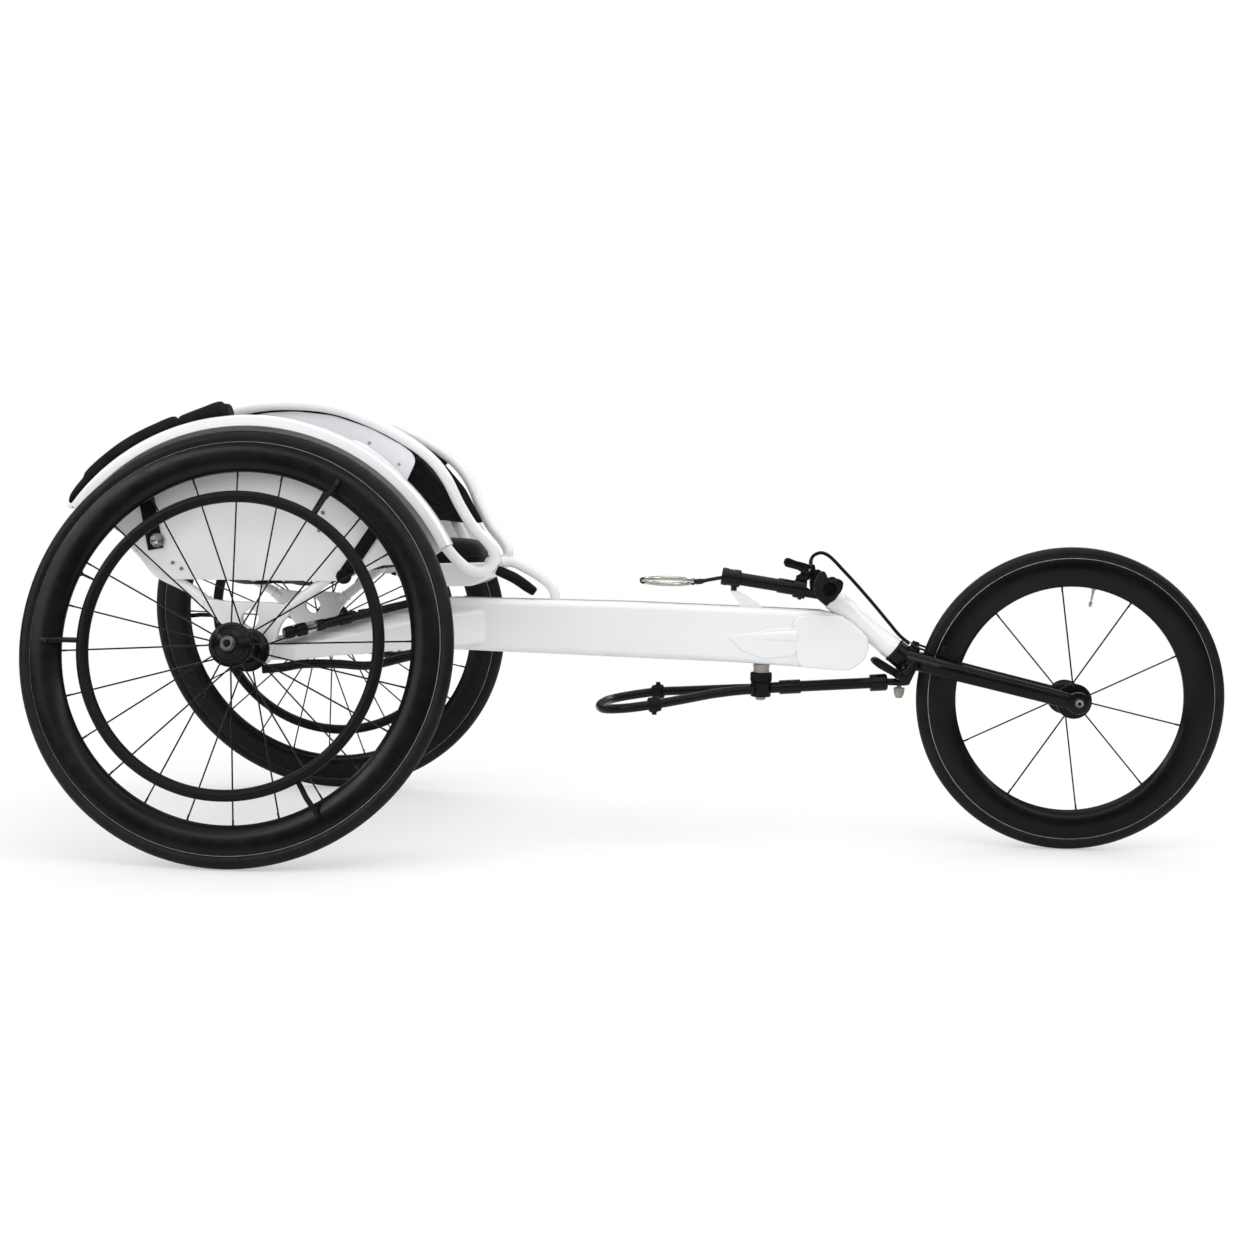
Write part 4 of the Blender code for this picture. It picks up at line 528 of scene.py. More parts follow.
def route_frames(points, closed=False):
    """A frame at each point whose +Z follows the route and whose sides don't twist."""
    frames = []
    side = None
    count = len(points)
    for i, point in enumerate(points):
        ahead = points[(i + 1) % count] if closed else points[min(i + 1, count - 1)]
        behind = points[i - 1] if closed else points[max(i - 1, 0)]
        along = (ahead - behind).normalized()
        if side is None:
            side = along.cross(Y_WAY if abs(along.y) < 0.9 else Z_WAY)
        side = (side - along * side.dot(along)).normalized()
        turn = Matrix((side, along.cross(side), along)).transposed().to_4x4()
        frames.append(Matrix.Translation(point) @ turn)
    return frames


def swept(matrices, sides, closed=False):
    """A circle of radius 1 that is pulled from frame to frame, with flat ends or joined to itself."""
    bm = bmesh.new()
    bmesh.ops.create_circle(bm, cap_ends=False, segments=sides, radius=1)
    moved(bm, matrices[0])
    start = edges = list(bm.edges)
    for before, after in zip(matrices, matrices[1:]):
        made = bmesh.ops.extrude_edge_only(bm, edges=edges)["geom"]
        ring = [g for g in made if isinstance(g, bmesh.types.BMVert)]
        bmesh.ops.transform(bm, matrix=after @ before.inverted(), verts=ring)
        edges = [g for g in made if isinstance(g, bmesh.types.BMEdge) and g.is_boundary
                 and g.verts[0] in ring and g.verts[1] in ring]
    if closed:
        bmesh.ops.bridge_loops(bm, edges=start + edges)
    else:
        bmesh.ops.edgeloop_fill(bm, edges=start)
        bmesh.ops.edgeloop_fill(bm, edges=edges)
    return bm


def tube(points, radius, sides=20, closed=False):
    """A round bar along a route, with one radius or one for each point."""
    points = [Vector(p) for p in points]
    radii = radius if isinstance(radius, list) else [radius] * len(points)
    frames = route_frames(points, closed)
    return swept([f @ Matrix.Diagonal((r, r, 1, 1)) for f, r in zip(frames, radii)], sides, closed)


def plate(outline, low, high, corner=0.0, edge=0.0, axis="Y", edge_steps=3):
    """A sheet cut to an outline in XZ, or in XY when axis is Z, with round corners and edges."""
    low, high = sorted((low, high))
    way = Y_WAY if axis == "Y" else Z_WAY
    bm = bmesh.new()
    points = [bm.verts.new((a, low, b) if axis == "Y" else (a, b, low)) for a, b in outline]
    bm.faces.new(points)
    if corner:
        bmesh.ops.bevel(bm, geom=points, offset=corner, segments=4, profile=0.5, affect="VERTICES",
                        clamp_overlap=True, material=-1)
    bmesh.ops.translate(bm, vec=way * (high - low), verts=pulled(bm, bm.faces[:][0]).verts)
    bmesh.ops.recalc_face_normals(bm, faces=bm.faces)
    if edge:
        bm.normal_update()
        caps = [f for f in bm.faces if abs(f.normal.dot(way)) > 0.9]
        rim = list({e for f in caps for e in f.edges if any(g not in caps for g in e.link_faces)})
        bmesh.ops.bevel(bm, geom=rim, offset=edge, segments=edge_steps, profile=0.5, affect="EDGES",
                        clamp_overlap=True, material=-1)
    return bm


def rod(center, along, radius, length, sides=24, edge=0.0):
    """A round bar centred on a place, with its end corners rounded off when edge is given."""
    half = length / 2
    end = [(radius, -half)]
    if edge:
        end = [(radius - edge, -half), (radius - 0.3 * edge, -half + 0.3 * edge), (radius, -half + edge)]
    return turned(mirrored([(0, -half)] + end), sides, frame_at(center, along))


# %% [markdown]
# Some pieces are several shapes of one finish, or of two, such as a bolt in a clamp. Each shape is closed
# and has its faces pointing out before it is put into the mesh of its piece. Where two shapes must truly
# be one, as where a block is welded to a beam, the Boolean modifier joins them, and its result is taken.

# %% Putting pieces together


def put(whole, part, finish=0, matrix=None):
    """Moves one shape into the mesh of its piece and gives it one of the piece's finishes."""
    if matrix is not None:
        moved(part, matrix)
    bmesh.ops.recalc_face_normals(part, faces=part.faces)
    for face in part.faces:
        face.material_index = finish
    holder = bpy.data.meshes.new("holder")
    part.to_mesh(holder)
    part.free()
    whole.from_mesh(holder)
    bpy.data.meshes.remove(holder)
    return whole


def begun(part):
    """The mesh of a piece, begun with its first shape."""
    return put(bmesh.new(), part)


def combined(first, second, way):
    """Two closed shapes after a Boolean: UNION joins them, DIFFERENCE cuts the second out."""
    holders = []
    for part in (first, second):
        bmesh.ops.recalc_face_normals(part, faces=part.faces)
        mesh = bpy.data.meshes.new("holder")
        part.to_mesh(mesh)
        part.free()
        holders.append(bpy.data.objects.new("holder", mesh))
        scene.collection.objects.link(holders[-1])
    modifier = holders[0].modifiers.new("boolean", "BOOLEAN")
    modifier.operation = way
    modifier.solver = "EXACT"
    modifier.object = holders[1]
    result = bmesh.new()
    result.from_object(holders[0], bpy.context.evaluated_depsgraph_get())
    for holder in holders:
        mesh = holder.data
        bpy.data.objects.remove(holder)
        bpy.data.meshes.remove(mesh)
    return result


def joined(first, second):
    return combined(first, second, "UNION")


def cut(first, second):
    return combined(first, second, "DIFFERENCE")


made_pieces = []


def piece(name, bm, finishes, node=None, body="frame", sharp=38):
    """Makes the finished object, rides it on its body and hides the solid it stands for."""
    mesh = bpy.data.meshes.new(name)
    bm.to_mesh(mesh)
    bm.free()
    mesh.shade_smooth()
    mesh.set_sharp_from_angle(angle=math.radians(sharp))
    made = bpy.data.objects.new(name, mesh)
    scene.collection.objects.link(made)
    for finish in finishes:
        mesh.materials.append(finish)
    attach(made, body)
    if node:
        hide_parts(node)
    made_pieces.append(made)
    return made


def hexagon(radius, depth, height):
    """A six-sided block about +Z, with its middle at a height."""
    bm = bmesh.new()
    bmesh.ops.create_cone(bm, cap_ends=True, segments=6, radius1=radius, radius2=radius, depth=depth,
                          matrix=Matrix.Translation((0, 0, height)))
    return bm


def hex_bolt(radius, height):
    """A six-sided head on its washer, standing on z = 0 and pointing along +Z."""
    bm = turned([(0, 0), (1.25 * radius, 0), (1.25 * radius, 0.2 * height), (0, 0.2 * height)], 24)
    head = hexagon(radius, 0.8 * height, 0.6 * height)
    top = [f for f in head.faces if f.normal.z > 0.9]
    bmesh.ops.inset_region(head, faces=top, thickness=0.45 * radius)
    bmesh.ops.translate(head, vec=(0, 0, -0.45 * height), verts=list({v for f in top for v in f.verts}))
    return put(bm, head)


def cap_bolt(radius, height):
    """A round socket head, standing on z = 0 and pointing along +Z."""
    hole = 0.5 * radius
    return turned([(0, 0), (radius, 0), (radius, 0.8 * height), (0.85 * radius, height), (hole, height),
                   (hole, 0.5 * height), (0, 0.5 * height)], 24)


# %% [markdown]
# The tyres are slick tubulars glued to a deep rim. A cross-section of one is a circle that is cut flat
# where it sits on the rim, so its outline is an arc by formula, and a lathe makes the tyre. The thin tan
# line between tyre and rim is the edge of the tyre's cotton strip, a small bead of its own.

# %% Tyres
TYRE_HALF_WIDTH = 0.0115
TYRE_ARC_STEPS = 22


def tyre(radius, seat, steps, matrix):
    """A slick tyre with a tan bead on each side of its seat."""
    middle = radius - TYRE_HALF_WIDTH
    open_half = math.acos((seat - middle) / TYRE_HALF_WIDTH)
    outline = []
    for k in range(TYRE_ARC_STEPS + 1):
        angle = -open_half + 2 * open_half * k / TYRE_ARC_STEPS
        outline.append((middle + TYRE_HALF_WIDTH * math.cos(angle), TYRE_HALF_WIDTH * math.sin(angle)))
    bm = begun(turned(outline, steps))
    edge = abs(outline[0][1])
    for way in (-1, 1):
        bead = [(seat + 0.0001 + 0.0007 * math.cos(a), way * (edge + 0.0002) + 0.0007 * math.sin(a))
                for a in around(8, 0)]
        put(bm, turned(bead, steps), 1)
    return moved(bm, matrix)


for hand, side in SIDES:
    piece(f"tyre_{hand}", tyre(REAR_RADIUS, REAR_RIM_OUTER + GAP, 160, rear_wheel_frame(side)),
          [tyre_rubber, tan_edge], f"rear_tyre_{hand}", f"rear_wheel_{hand}")
FRONT_FRAME = frame_at(FRONT_AXLE, -Y_WAY)
piece("tyre_front", tyre(FRONT_RADIUS, FRONT_RIM_OUTER + GAP, 144, FRONT_FRAME), [tyre_rubber, tan_edge],
      "front_tyre", "front_wheel")
print("tyre width:", 2000 * TYRE_HALF_WIDTH, "mm")

# %% [markdown]
# A deep carbon rim is a teardrop in section: nearly upright walls at the tyre, a belly, and a nose that
# the spokes enter. A few points on one wall, smoothed with a spline and mirrored, give that curve to the
# lathe. Each spoke ends in a nipple at the nose, and the valve stands between two of them.

# %% Rims with nipples and valve
RIM_HALF_WIDTH = 0.012


def rim_section(outer, depth):
    half = RIM_HALF_WIDTH
    wall = [(outer - inward * depth, 0, share * half) for inward, share in
            ((0, 0.86), (0.12, 0.95), (0.36, 1), (0.68, 0.84), (0.9, 0.5), (1, 0.16))]
    points = [(p.x, p.z) for p in smooth_route(wall, 0.003)]
    hook = [(outer - 0.0016, 0.6 * half), (outer, 0.7 * half)]
    return mirrored(hook + points)


def wheel_rim(outer, inner, steps, spoke_angles, valve_angle, valve_length, matrix):
    """A rim, its nipples and its valve."""
    bm = begun(turned(rim_section(outer, outer - inner), steps))
    nipple = mm((0, 0), (2, 0), (2, 1.2), (1.6, 1.8), (1.6, 8.5), (1.2, 9.2), (0, 9.2))
    for angle in spoke_angles:
        put(bm, turned(nipple, 12, frame_at(ray(angle) * (inner + 0.0006), -ray(angle))), 1)
    stem = [(0, -0.003), (0.0022, -0.003), (0.0022, 0.0), (0.004, 0.0), (0.004, 0.002), (0.0022, 0.0022),
            (0.0016, 0.62 * valve_length), (0.0012, 0.64 * valve_length), (0.0012, 0.7 * valve_length),
            (0.0026, 0.72 * valve_length), (0.0029, 0.84 * valve_length), (0.0022, 0.95 * valve_length),
            (0.001, valve_length), (0, valve_length)]
    put(bm, turned(stem, 20, frame_at(ray(valve_angle) * (inner + 0.0004), -ray(valve_angle))), 2)
    return moved(bm, matrix)


REAR_VALVE_ANGLE = math.radians(157.0)
FRONT_VALVE_ANGLE = math.radians(80.0)
rear_angles = around(24, 3.0)
front_angles = around(10, 24.0)
for hand, side in SIDES:
    rim = wheel_rim(REAR_RIM_OUTER, REAR_RIM_INNER, 160, rear_angles, -side * REAR_VALVE_ANGLE, 0.04,
                    rear_wheel_frame(side))
    piece(f"deep_rim_{hand}", rim, [black_lacquer, black_steel, black_plastic], f"rear_rim_{hand}",
          f"rear_wheel_{hand}")
FRONT_WHEEL_FRAME = Matrix.Translation(FRONT_AXLE) @ Matrix.Rotation(math.radians(90), 4, "X")
rim = wheel_rim(FRONT_RIM_OUTER, FRONT_RIM_INNER, 144, front_angles, FRONT_VALVE_ANGLE, 0.031,
                FRONT_WHEEL_FRAME)
piece("deep_rim_front", rim, [black_lacquer, black_steel, satin_silver], "front_rim", "front_wheel")

# %% [markdown]
# The hub shell is another lathe job: two flanges on a narrower barrel, and at the rear a domed outer
# cover round the axle. The spokes are thin blades of black steel, pulled straight from the flanges to the
# rim, every second one to each flange. Each has a round head where it hooks through the flange.

# %% Hubs and spokes
HUB_FLANGE = 0.034
OUTER_FLANGE_AT = 0.02
INNER_FLANGE_AT = 0.06
HUB_OUTER_END = 0.034
FRONT_FLANGE = 0.029
FRONT_FLANGE_AT = 0.0315
FRONT_HUB_HALF = 0.047
FRONT_AXLE_RADIUS = 0.005
SPOKE_RADIUS = 0.0013


def spoked(shell, steps, angles, flange_radius, rim_radius, outward, inward, matrix):
    """A hub shell with its spokes, in turn from the outer flange and from the inner one."""
    hub = begun(turned(shell, steps))
    boss = mm((0, 0), (2.1, 0.2), (1.8, 1.1), (0.9, 1.6), (0, 1.7))
    for i, angle in enumerate(angles):
        height = outward if i % 2 == 0 else -inward
        low = ray(angle) * (flange_radius - 0.004) + Vector((0, 0, height))
        high = ray(angle) * (rim_radius - GAP)
        put(hub, tube([low, low.lerp(high, 0.5), high], SPOKE_RADIUS, 8))
        face = Vector((0, 0, math.copysign(0.0019, height)))
        put(hub, turned(boss, 10, frame_at(low + face, face)), 1)
    return moved(hub, matrix)


rear_hub_shell = mm((7, -66), (15, -66), (15.8, -65), (17, -63), (30, -62.2), (33.4, -61.9), (34, -61.2),
                    (34, -58.8), (33.4, -58.1), (26, -57.6), (21, -55), (19.5, -51), (19, -30), (19, -10),
                    (19.5, 9), (21.5, 14), (26, 17.2), (33.4, 18.1), (34, 18.8), (34, 21.2), (33.4, 21.9),
                    (30, 22.3), (29.2, 23.2), (27, 25.6), (25.2, 26.4), (24.6, 25.8), (20, 28.8),
                    (15, 31.2), (14.2, 33), (13.2, 34), (7, 34))
for hand, side in SIDES:
    hub = spoked(rear_hub_shell, 72, rear_angles, HUB_FLANGE, REAR_RIM_INNER, OUTER_FLANGE_AT,
                 INNER_FLANGE_AT, rear_wheel_frame(side))
    piece(f"spoked_hub_{hand}", hub, [black_lacquer, black_steel], f"rear_hub_{hand}",
          f"rear_wheel_{hand}", 30)

half_shell = mm((6, 47), (10.5, 47), (11.2, 46.2), (11.8, 37.5), (14.5, 34.5), (28, 33.1), (29, 32.3),
                (29, 30.7), (28, 29.9), (17, 27.9), (13.5, 24), (12.4, 10))
hub = spoked(mirrored(half_shell), 64, front_angles, FRONT_FLANGE, FRONT_RIM_INNER, FRONT_FLANGE_AT,
             FRONT_FLANGE_AT, FRONT_WHEEL_FRAME)
piece("spoked_hub_front", hub, [black_lacquer, black_steel], "front_hub", "front_wheel", 30)

# %% [markdown]
# The rider doesn't grip the push rim but punches it with rubber-faced gloves, so it is a thick round ring
# with a rubber skin, well inside the wheel. Three bent straps carry it, each bolted to the rim's flank. The
# ring is a tube along a circle, and a strap is a plate with its bends in the outline.

# %% Push rims
HANDRIM_RADIUS = 0.226
HANDRIM_TUBE = 0.009
HANDRIM_OFFSET = 0.026
HANDRIM_TABS = 3
TAB_THICKNESS = 0.003
TAB_HALF_WIDTH = 0.004


def push_rim(matrix):
    section = [(HANDRIM_RADIUS + HANDRIM_TUBE * math.cos(a), HANDRIM_OFFSET + HANDRIM_TUBE * math.sin(a))
               for a in around(24, 0)]
    bm = begun(turned(section, 160))
    depth = REAR_RIM_OUTER - REAR_RIM_INNER
    foot_low = REAR_RIM_OUTER - 0.75 * depth
    foot_high = REAR_RIM_OUTER - 0.4 * depth
    seat = RIM_HALF_WIDTH + GAP
    bend = foot_low - 0.022
    low = HANDRIM_OFFSET - 0.5 * TAB_THICKNESS
    outline = [(HANDRIM_RADIUS + 0.002, low), (bend, low), (foot_low, seat), (foot_high, seat),
               (foot_high, seat + TAB_THICKNESS), (foot_low + 0.002, seat + TAB_THICKNESS),
               (bend + 0.002, low + TAB_THICKNESS), (HANDRIM_RADIUS + 0.002, low + TAB_THICKNESS)]
    screw_at = Matrix.Translation(((foot_low + foot_high) / 2, 0, seat + TAB_THICKNESS))
    for angle in around(HANDRIM_TABS, 180):
        spin = Matrix.Rotation(angle, 4, "Z")
        put(bm, plate(outline, -TAB_HALF_WIDTH, TAB_HALF_WIDTH, edge=0.0007), 1, spin)
        put(bm, cap_bolt(0.0034, 0.0022), 2, spin @ screw_at)
    return moved(bm, matrix)


for hand, side in SIDES:
    piece(f"push_rim_{hand}", push_rim(rear_wheel_frame(side)), [grip_rubber, black_lacquer, black_steel],
          f"handrim_{hand}", f"rear_wheel_{hand}")

# %% [markdown]
# Each rear wheel slides on with a quick-release axle: a hollow pin with a nut-like head, and a button in
# the head's middle that frees the balls at the pin's far end. The head is a lathe shape with a hexagon
# round it. The front axle has the same silver end caps on both sides of the fork.

# %% Axles and release buttons
head_at = HUB_OUTER_END + GAP
pin_shape = mm((0, -96), (4.5, -96), (5.2, -95), (5.2, -92), (6.35, -91), (6.35, 34.3), (11.5, 34.3),
               (11.5, 36.7), (10.4, 37.3), (9.8, 40.5), (9, 41.3), (6, 41.3), (5.4, 40.7), (4.5, 40.3),
               (4.5, 29.8), (0, 29.8))
button_shape = mm((0, 33.1), (4, 33.1), (4, 41.3), (3.6, 42.3), (2.4, 42.7), (0, 42.5))
for hand, side in SIDES:
    hollow = turned(mm((0, 34.3), (8.8, 34.3), (8.8, 44.3), (0, 44.3)), 32)
    pin = begun(turned(pin_shape, 48))
    put(pin, cut(hexagon(0.0113, 0.003, head_at + 0.004), hollow))
    made = piece(f"release_axle_{hand}", moved(pin, rear_wheel_frame(side)), [dull_steel],
                 f"quick_release_axle_{hand}", "frame", 30)
    bevel = made.modifiers.new("edges", "BEVEL")
    bevel.width = 0.0003
    bevel.segments = 2
    bevel.limit_method = "ANGLE"
    bevel.angle_limit = math.radians(50)
    bevel.harden_normals = True
    piece(f"push_button_{hand}", turned(button_shape, 32, rear_wheel_frame(side)), [black_plastic],
          f"release_button_{hand}", f"release_button_{hand}")

DROPOUT_THICKNESS = 0.013
half_axle = mm((0, 64.3), (2.8, 64.3), (3.4, 66.6), (6.2, 66.8), (7.2, 66), (9.2, 63.4), (9.5, 60.8),
               (5, 60.8))
front_pin = begun(turned(mirrored(half_axle), 48, FRONT_WHEEL_FRAME))
for face in front_pin.faces:
    from_axis = face.calc_center_median() - FRONT_AXLE
    face.material_index = 0 if 0.003 < math.hypot(from_axis.x, from_axis.z) < 0.006 else 1
piece("axle_front", front_pin, [satin_silver, black_steel], "front_axle", "steering", 30)
print("wheel pieces:", len(made_pieces))

# %% [markdown]
# The main beam is a rectangular aluminium tube with round corners that tapers behind the seat. A plain
# box with its four long corners bevelled would keep one height, so here the section is drawn once, with
# vertex bevels for its corners, and then pulled along the beam: at every station its upper and lower
# halves are moved to that station's top and bottom.

# %% Main beam
BEAM_HALF_WIDTH = 0.03
BEAM_CORNER = 0.012
BEAM_TOP = 0.068
BEAM_TOP_MIDDLE = 0.0686
foot = HEAD_LOW - rear(0, 0, 0)
beam_mid_x = 0.45 * WHEELBASE
beam_mid_z = foot.z / 2
beam_stations = [(0.004, 0.012, -0.04), (0.08, 0.0295, -0.0295), (0.16, 0.045, -0.0205),
                 (0.225, 0.059, -0.0195), (0.285, BEAM_TOP, -0.0195),
                 (beam_mid_x, beam_mid_z + BEAM_TOP_MIDDLE, beam_mid_z - 0.0249),
                 (foot.x - 0.2568, foot.z + 0.0658, foot.z - 0.0277),
                 (foot.x - 0.1218, foot.z + 0.0628, foot.z - 0.0337),
                 (foot.x - 0.085, foot.z + 0.054, foot.z - 0.0335)]


def rounded(corners, corner, segments):
    """One face through the given corners, with each corner rounded off."""
    bm = bmesh.new()
    points = [bm.verts.new(place) for place in corners]
    bm.faces.new(points)
    bmesh.ops.bevel(bm, geom=points, offset=corner, segments=segments, profile=0.5, affect="VERTICES",
                    material=-1)
    return bm, bm.faces[:][0]


def beam_shell():
    half = 0.03
    bm, face = rounded([(0, y, z) for y, z in ((-BEAM_HALF_WIDTH, -half), (BEAM_HALF_WIDTH, -half),
                                               (BEAM_HALF_WIDTH, half), (-BEAM_HALF_WIDTH, half))],
                       BEAM_CORNER, 6)
    section = {v: (v.co.y, v.co.z) for v in bm.verts}
    for index, (x, top, bottom) in enumerate(beam_stations):
        if index:
            before = {v.co.to_tuple(5): section[v] for v in face.verts}
            face = pulled(bm, face)
            section = {v: before[v.co.to_tuple(5)] for v in face.verts}
        for vert in face.verts:
            y, z = section[vert]
            vert.co = rear(x, y, top + (z - half) if z > 0 else bottom + (z + half))
    bmesh.ops.recalc_face_normals(bm, faces=bm.faces)
    return bm

# %% [markdown]
# Three things are welded to the beam. The nose block closes its front end round the head tube, a flat
# fin on each side stiffens the place where the steering post is fixed, and a small bent tab on top holds
# up the tiller. Booleans join them, and the head tube and the axle tube are then cut out with a little
# more room than those tubes need. Weld beads along these joints come after, as ridges of their own.

# %% Nose block, fins and tiller rest
NOSE_HALF_WIDTH = 0.0335
FIN_HALF_WIDTH = 0.0325
REST_HALF_WIDTH = 0.005
REST_TOP = 0.0908
HEAD_TUBE_LENGTH = 0.1317
HEAD_TUBE_RADIUS = 0.019
AXLE_TUBE_RADIUS = 0.017
AXLE_TUBE_DROP = (INNER_FLANGE_AT + 0.04) * math.sin(CAMBER)

nose_outline = at_front(mm(
    (-167.8, 34.8), (-163.8, 51.8), (-142.3, 57.3), (-92.8, 55.3), (-72.1, 45.5), (-45.1, 19.5),
    (-43.8, 1.8), (-51.3, -18.2), (-73.8, -35.2), (-106.8, -34.7), (-155.8, -31.2), (-161.8, -11.2)))
fin_outline = at_front(mm(
    (-273.8, 15.8), (-197.8, 32.8), (-160, 33.6), (-159, 11.8), (-164, -12.5), (-215.8, -19.2),
    (-254.2, -5.4)))
rest_outline = at_front(mm(
    (-258.8, 59.8), (-214.8, 59.8), (-226.8, 70.8), (-249.1, 84.3), (-261.3, 90.8), (-274.8, 90.8),
    (-257, 68)))
beam = joined(beam_shell(), plate(nose_outline, -NOSE_HALF_WIDTH, NOSE_HALF_WIDTH, 0.006, 0.0032))
beam = joined(beam, plate(rest_outline, -REST_HALF_WIDTH, REST_HALF_WIDTH, 0.0012, 0.0008))
beam = cut(beam, rod(steer(0, 0, HEAD_TUBE_LENGTH / 2), STEER_UP, HEAD_TUBE_RADIUS + GAP,
                     HEAD_TUBE_LENGTH + 0.06, 96))
beam = cut(beam, rod(rear(0, 0, -AXLE_TUBE_DROP), Y_WAY, AXLE_TUBE_RADIUS + GAP, 0.1, 96))
beam_look = begun(beam)


def weld_bead(route, radius=0.0016, ripple_every=0.004):
    """A welded seam: a thin tube along a route whose thickness pulses like laid drops."""
    points = smooth_route(route, ripple_every / 4)
    radii = [radius * (0.85 + 0.22 * abs(math.sin(math.pi * 0.25 * i))) for i in range(len(points))]
    return tube(points, radii, 8)


def ring_route(radius, height, start, end, matrix, steps=28):
    """Points on part of a circle about a frame's +Z."""
    angles = [start + (end - start) * k / steps for k in range(steps + 1)]
    return [matrix @ Vector((radius * math.cos(a), radius * math.sin(a), height)) for a in angles]


def seam_round(whole, radius, thickness, matrix, steps, height=0.0):
    """Lays a weld bead round a tube."""
    put(whole, weld_bead(ring_route(radius, height, 0, math.tau, matrix, steps), thickness))


for side in (-1, 1):
    put(beam_look, plate(fin_outline, side * (BEAM_HALF_WIDTH - 0.002), side * FIN_HALF_WIDTH, 0.005, 0.0014))
    ridge = smooth_route([front(x, 0, z) for x, z in mm((-276, 15), (-240, 17.2), (-200, 19), (-162, 20))],
                         0.006)
    last = len(ridge) - 1
    ridge_radii = [0.001 + 0.0095 * math.sin(1.3 * k / last) for k in range(last + 1)]
    flat = Matrix.Translation(Y_WAY * (side * (BEAM_HALF_WIDTH + 0.0005))) @ Matrix.Diagonal((1, 0.5, 1, 1))
    put(beam_look, tube(ridge, ridge_radii, 28), 0, flat)
    seam = [front(x, side * (BEAM_HALF_WIDTH + 0.0004), z) for x, z in
            mm((-164, -29), (-167.2, -11.2), (-172, 14), (-172.2, 34.8), (-170, 50))]
    put(beam_look, weld_bead(seam, 0.0014))
piece("box_beam", beam_look, [white_paint], "main_beam", sharp=32)
print("beam height at its middle:", round(1000 * (BEAM_TOP + 0.0225), 1), "mm")

# %% [markdown]
# The head tube is cut square at both ends, with a raised band at each for the pressed-in races. Bearings
# and steerer pass through it, so it stays open. The races inside are bare turned steel with a groove.

# %% Head tube and its races
STEERER_RADIUS = 0.0125
head_shape = mm((15.5, 0), (18.2, 0), (19, 0.8), (19, 14), (18.4, 15), (18.4, 116.7), (19, 117.7),
                (19, 130.9), (18.2, 131.7), (15.5, 131.7))
piece("head_shell", begun(turned(head_shape, 96, STEER_FRAME)), [white_paint], "head_tube")
races = mm((13, 0.3), (15, 0.3), (15, 4), (14.4, 4.6), (15, 5.2), (15, 9), (14, 10), (14, 121.7),
           (15, 122.7), (15, 131.4), (13, 131.4))
piece("head_races", turned(races, 64, STEER_FRAME), [bearing_steel], "head_bearings")

# %% [markdown]
# Behind the beam a straight axle tube joins two hub yokes, the plates that hold the wheels at their
# camber. A yoke is cut from thick plate with a round notch, has a short boss that points along the
# leaning axle, and carries two struts up to the seat. A lofted arm ties each yoke to the beam.

# %% Axle tube, yokes and struts
YOKE_INNER = 0.17
YOKE_THICKNESS = 0.014
STRUT_RADIUS = 0.0085
GUARD_INNER = 0.175
CAGE_TUBE = 0.009
GUARD_TOUCH = GUARD_INNER - STRUT_RADIUS - GAP
CAGE_TOUCH = GUARD_INNER - CAGE_TUBE - GAP
REAR_JOINT = (-0.19, 0.14)
REAR_JOINT_WAY = (-0.65, 0.76)
ARCH_RADIUS = 0.0145
tube_half = YOKE_INNER - GAP
axle_frame = frame_at(rear(0, 0, -AXLE_TUBE_DROP), Y_WAY)
axle = begun(turned(mm((13, -169.7), (17, -169.7), (17, 169.7), (13, 169.7)), 64, axle_frame))
for side in (-1, 1):
    seam_round(axle, AXLE_TUBE_RADIUS + 0.0004, 0.0015, axle_frame, 64, side * (tube_half - 0.0014))
piece("rear_axle_tube", axle, [white_paint], "axle_tube")

yoke_outline = at_rear(mm(
    (-24, -36), (24, -36), (30, -10), (42, 28), (60, 48), (50, 60), (26, 62), (-45, 62), (-72, 66),
    (-85, 55), (-60, 30), (-30, -8)))
boss_shape = mm((0, -66.5), (18.5, -66.5), (19.5, -67.5), (19.5, -96.5), (0, -96.5))
pin_room = mm((0, -120), (7, -120), (7, -50), (0, -50))
middle = YOKE_INNER + 0.5 * YOKE_THICKNESS
back_strut = [(-0.066, middle, 0.053), (-0.115, 0.165, 0.083), (-0.16, CAGE_TOUCH, 0.105),
              (-0.177, CAGE_TOUCH, 0.1248), (REAR_JOINT[0], CAGE_TOUCH, REAR_JOINT[1])]
fore_strut = [(0.045, middle, 0.048), (0.09, 0.165, 0.083), (0.15, GUARD_TOUCH, 0.133)]
for hand, side in SIDES:
    shape = plate(yoke_outline, side * YOKE_INNER, side * (YOKE_INNER + YOKE_THICKNESS), 0.007, 0.002)
    shape = joined(shape, turned(boss_shape, 64, rear_wheel_frame(side)))
    shape = cut(shape, rod(rear(-0.006, side * middle, 0.036), Y_WAY, ARCH_RADIUS, 0.05, 48))
    yoke = begun(cut(shape, turned(pin_room, 48, rear_wheel_frame(side))))
    for strut in (back_strut, fore_strut):
        put(yoke, tube(smooth_route(rear_route(strut, side), 0.01), STRUT_RADIUS, 28))
    for foot_at, way in (((-0.078, 0.06), (-0.05, -side * 0.008, 0.03)),
                         ((0.056, 0.056), (0.045, -side * 0.01, 0.035))):
        foot_frame = frame_at(rear(foot_at[0], side * 0.174, foot_at[1]), Vector(way))
        seam_round(yoke, STRUT_RADIUS + 0.0006, 0.0016, foot_frame, 40)
    piece(f"wheel_yoke_{hand}", yoke, [white_paint], f"hub_yoke_{hand}", sharp=34)

# %% [markdown]
# The frame arm changes from a deep section at the beam to a low one at the yoke, so it is a loft. A
# rounded section is drawn with vertex bevels and pulled outwards three times, and each time its points
# are moved to the next station's own width and height.

# %% Frame arms


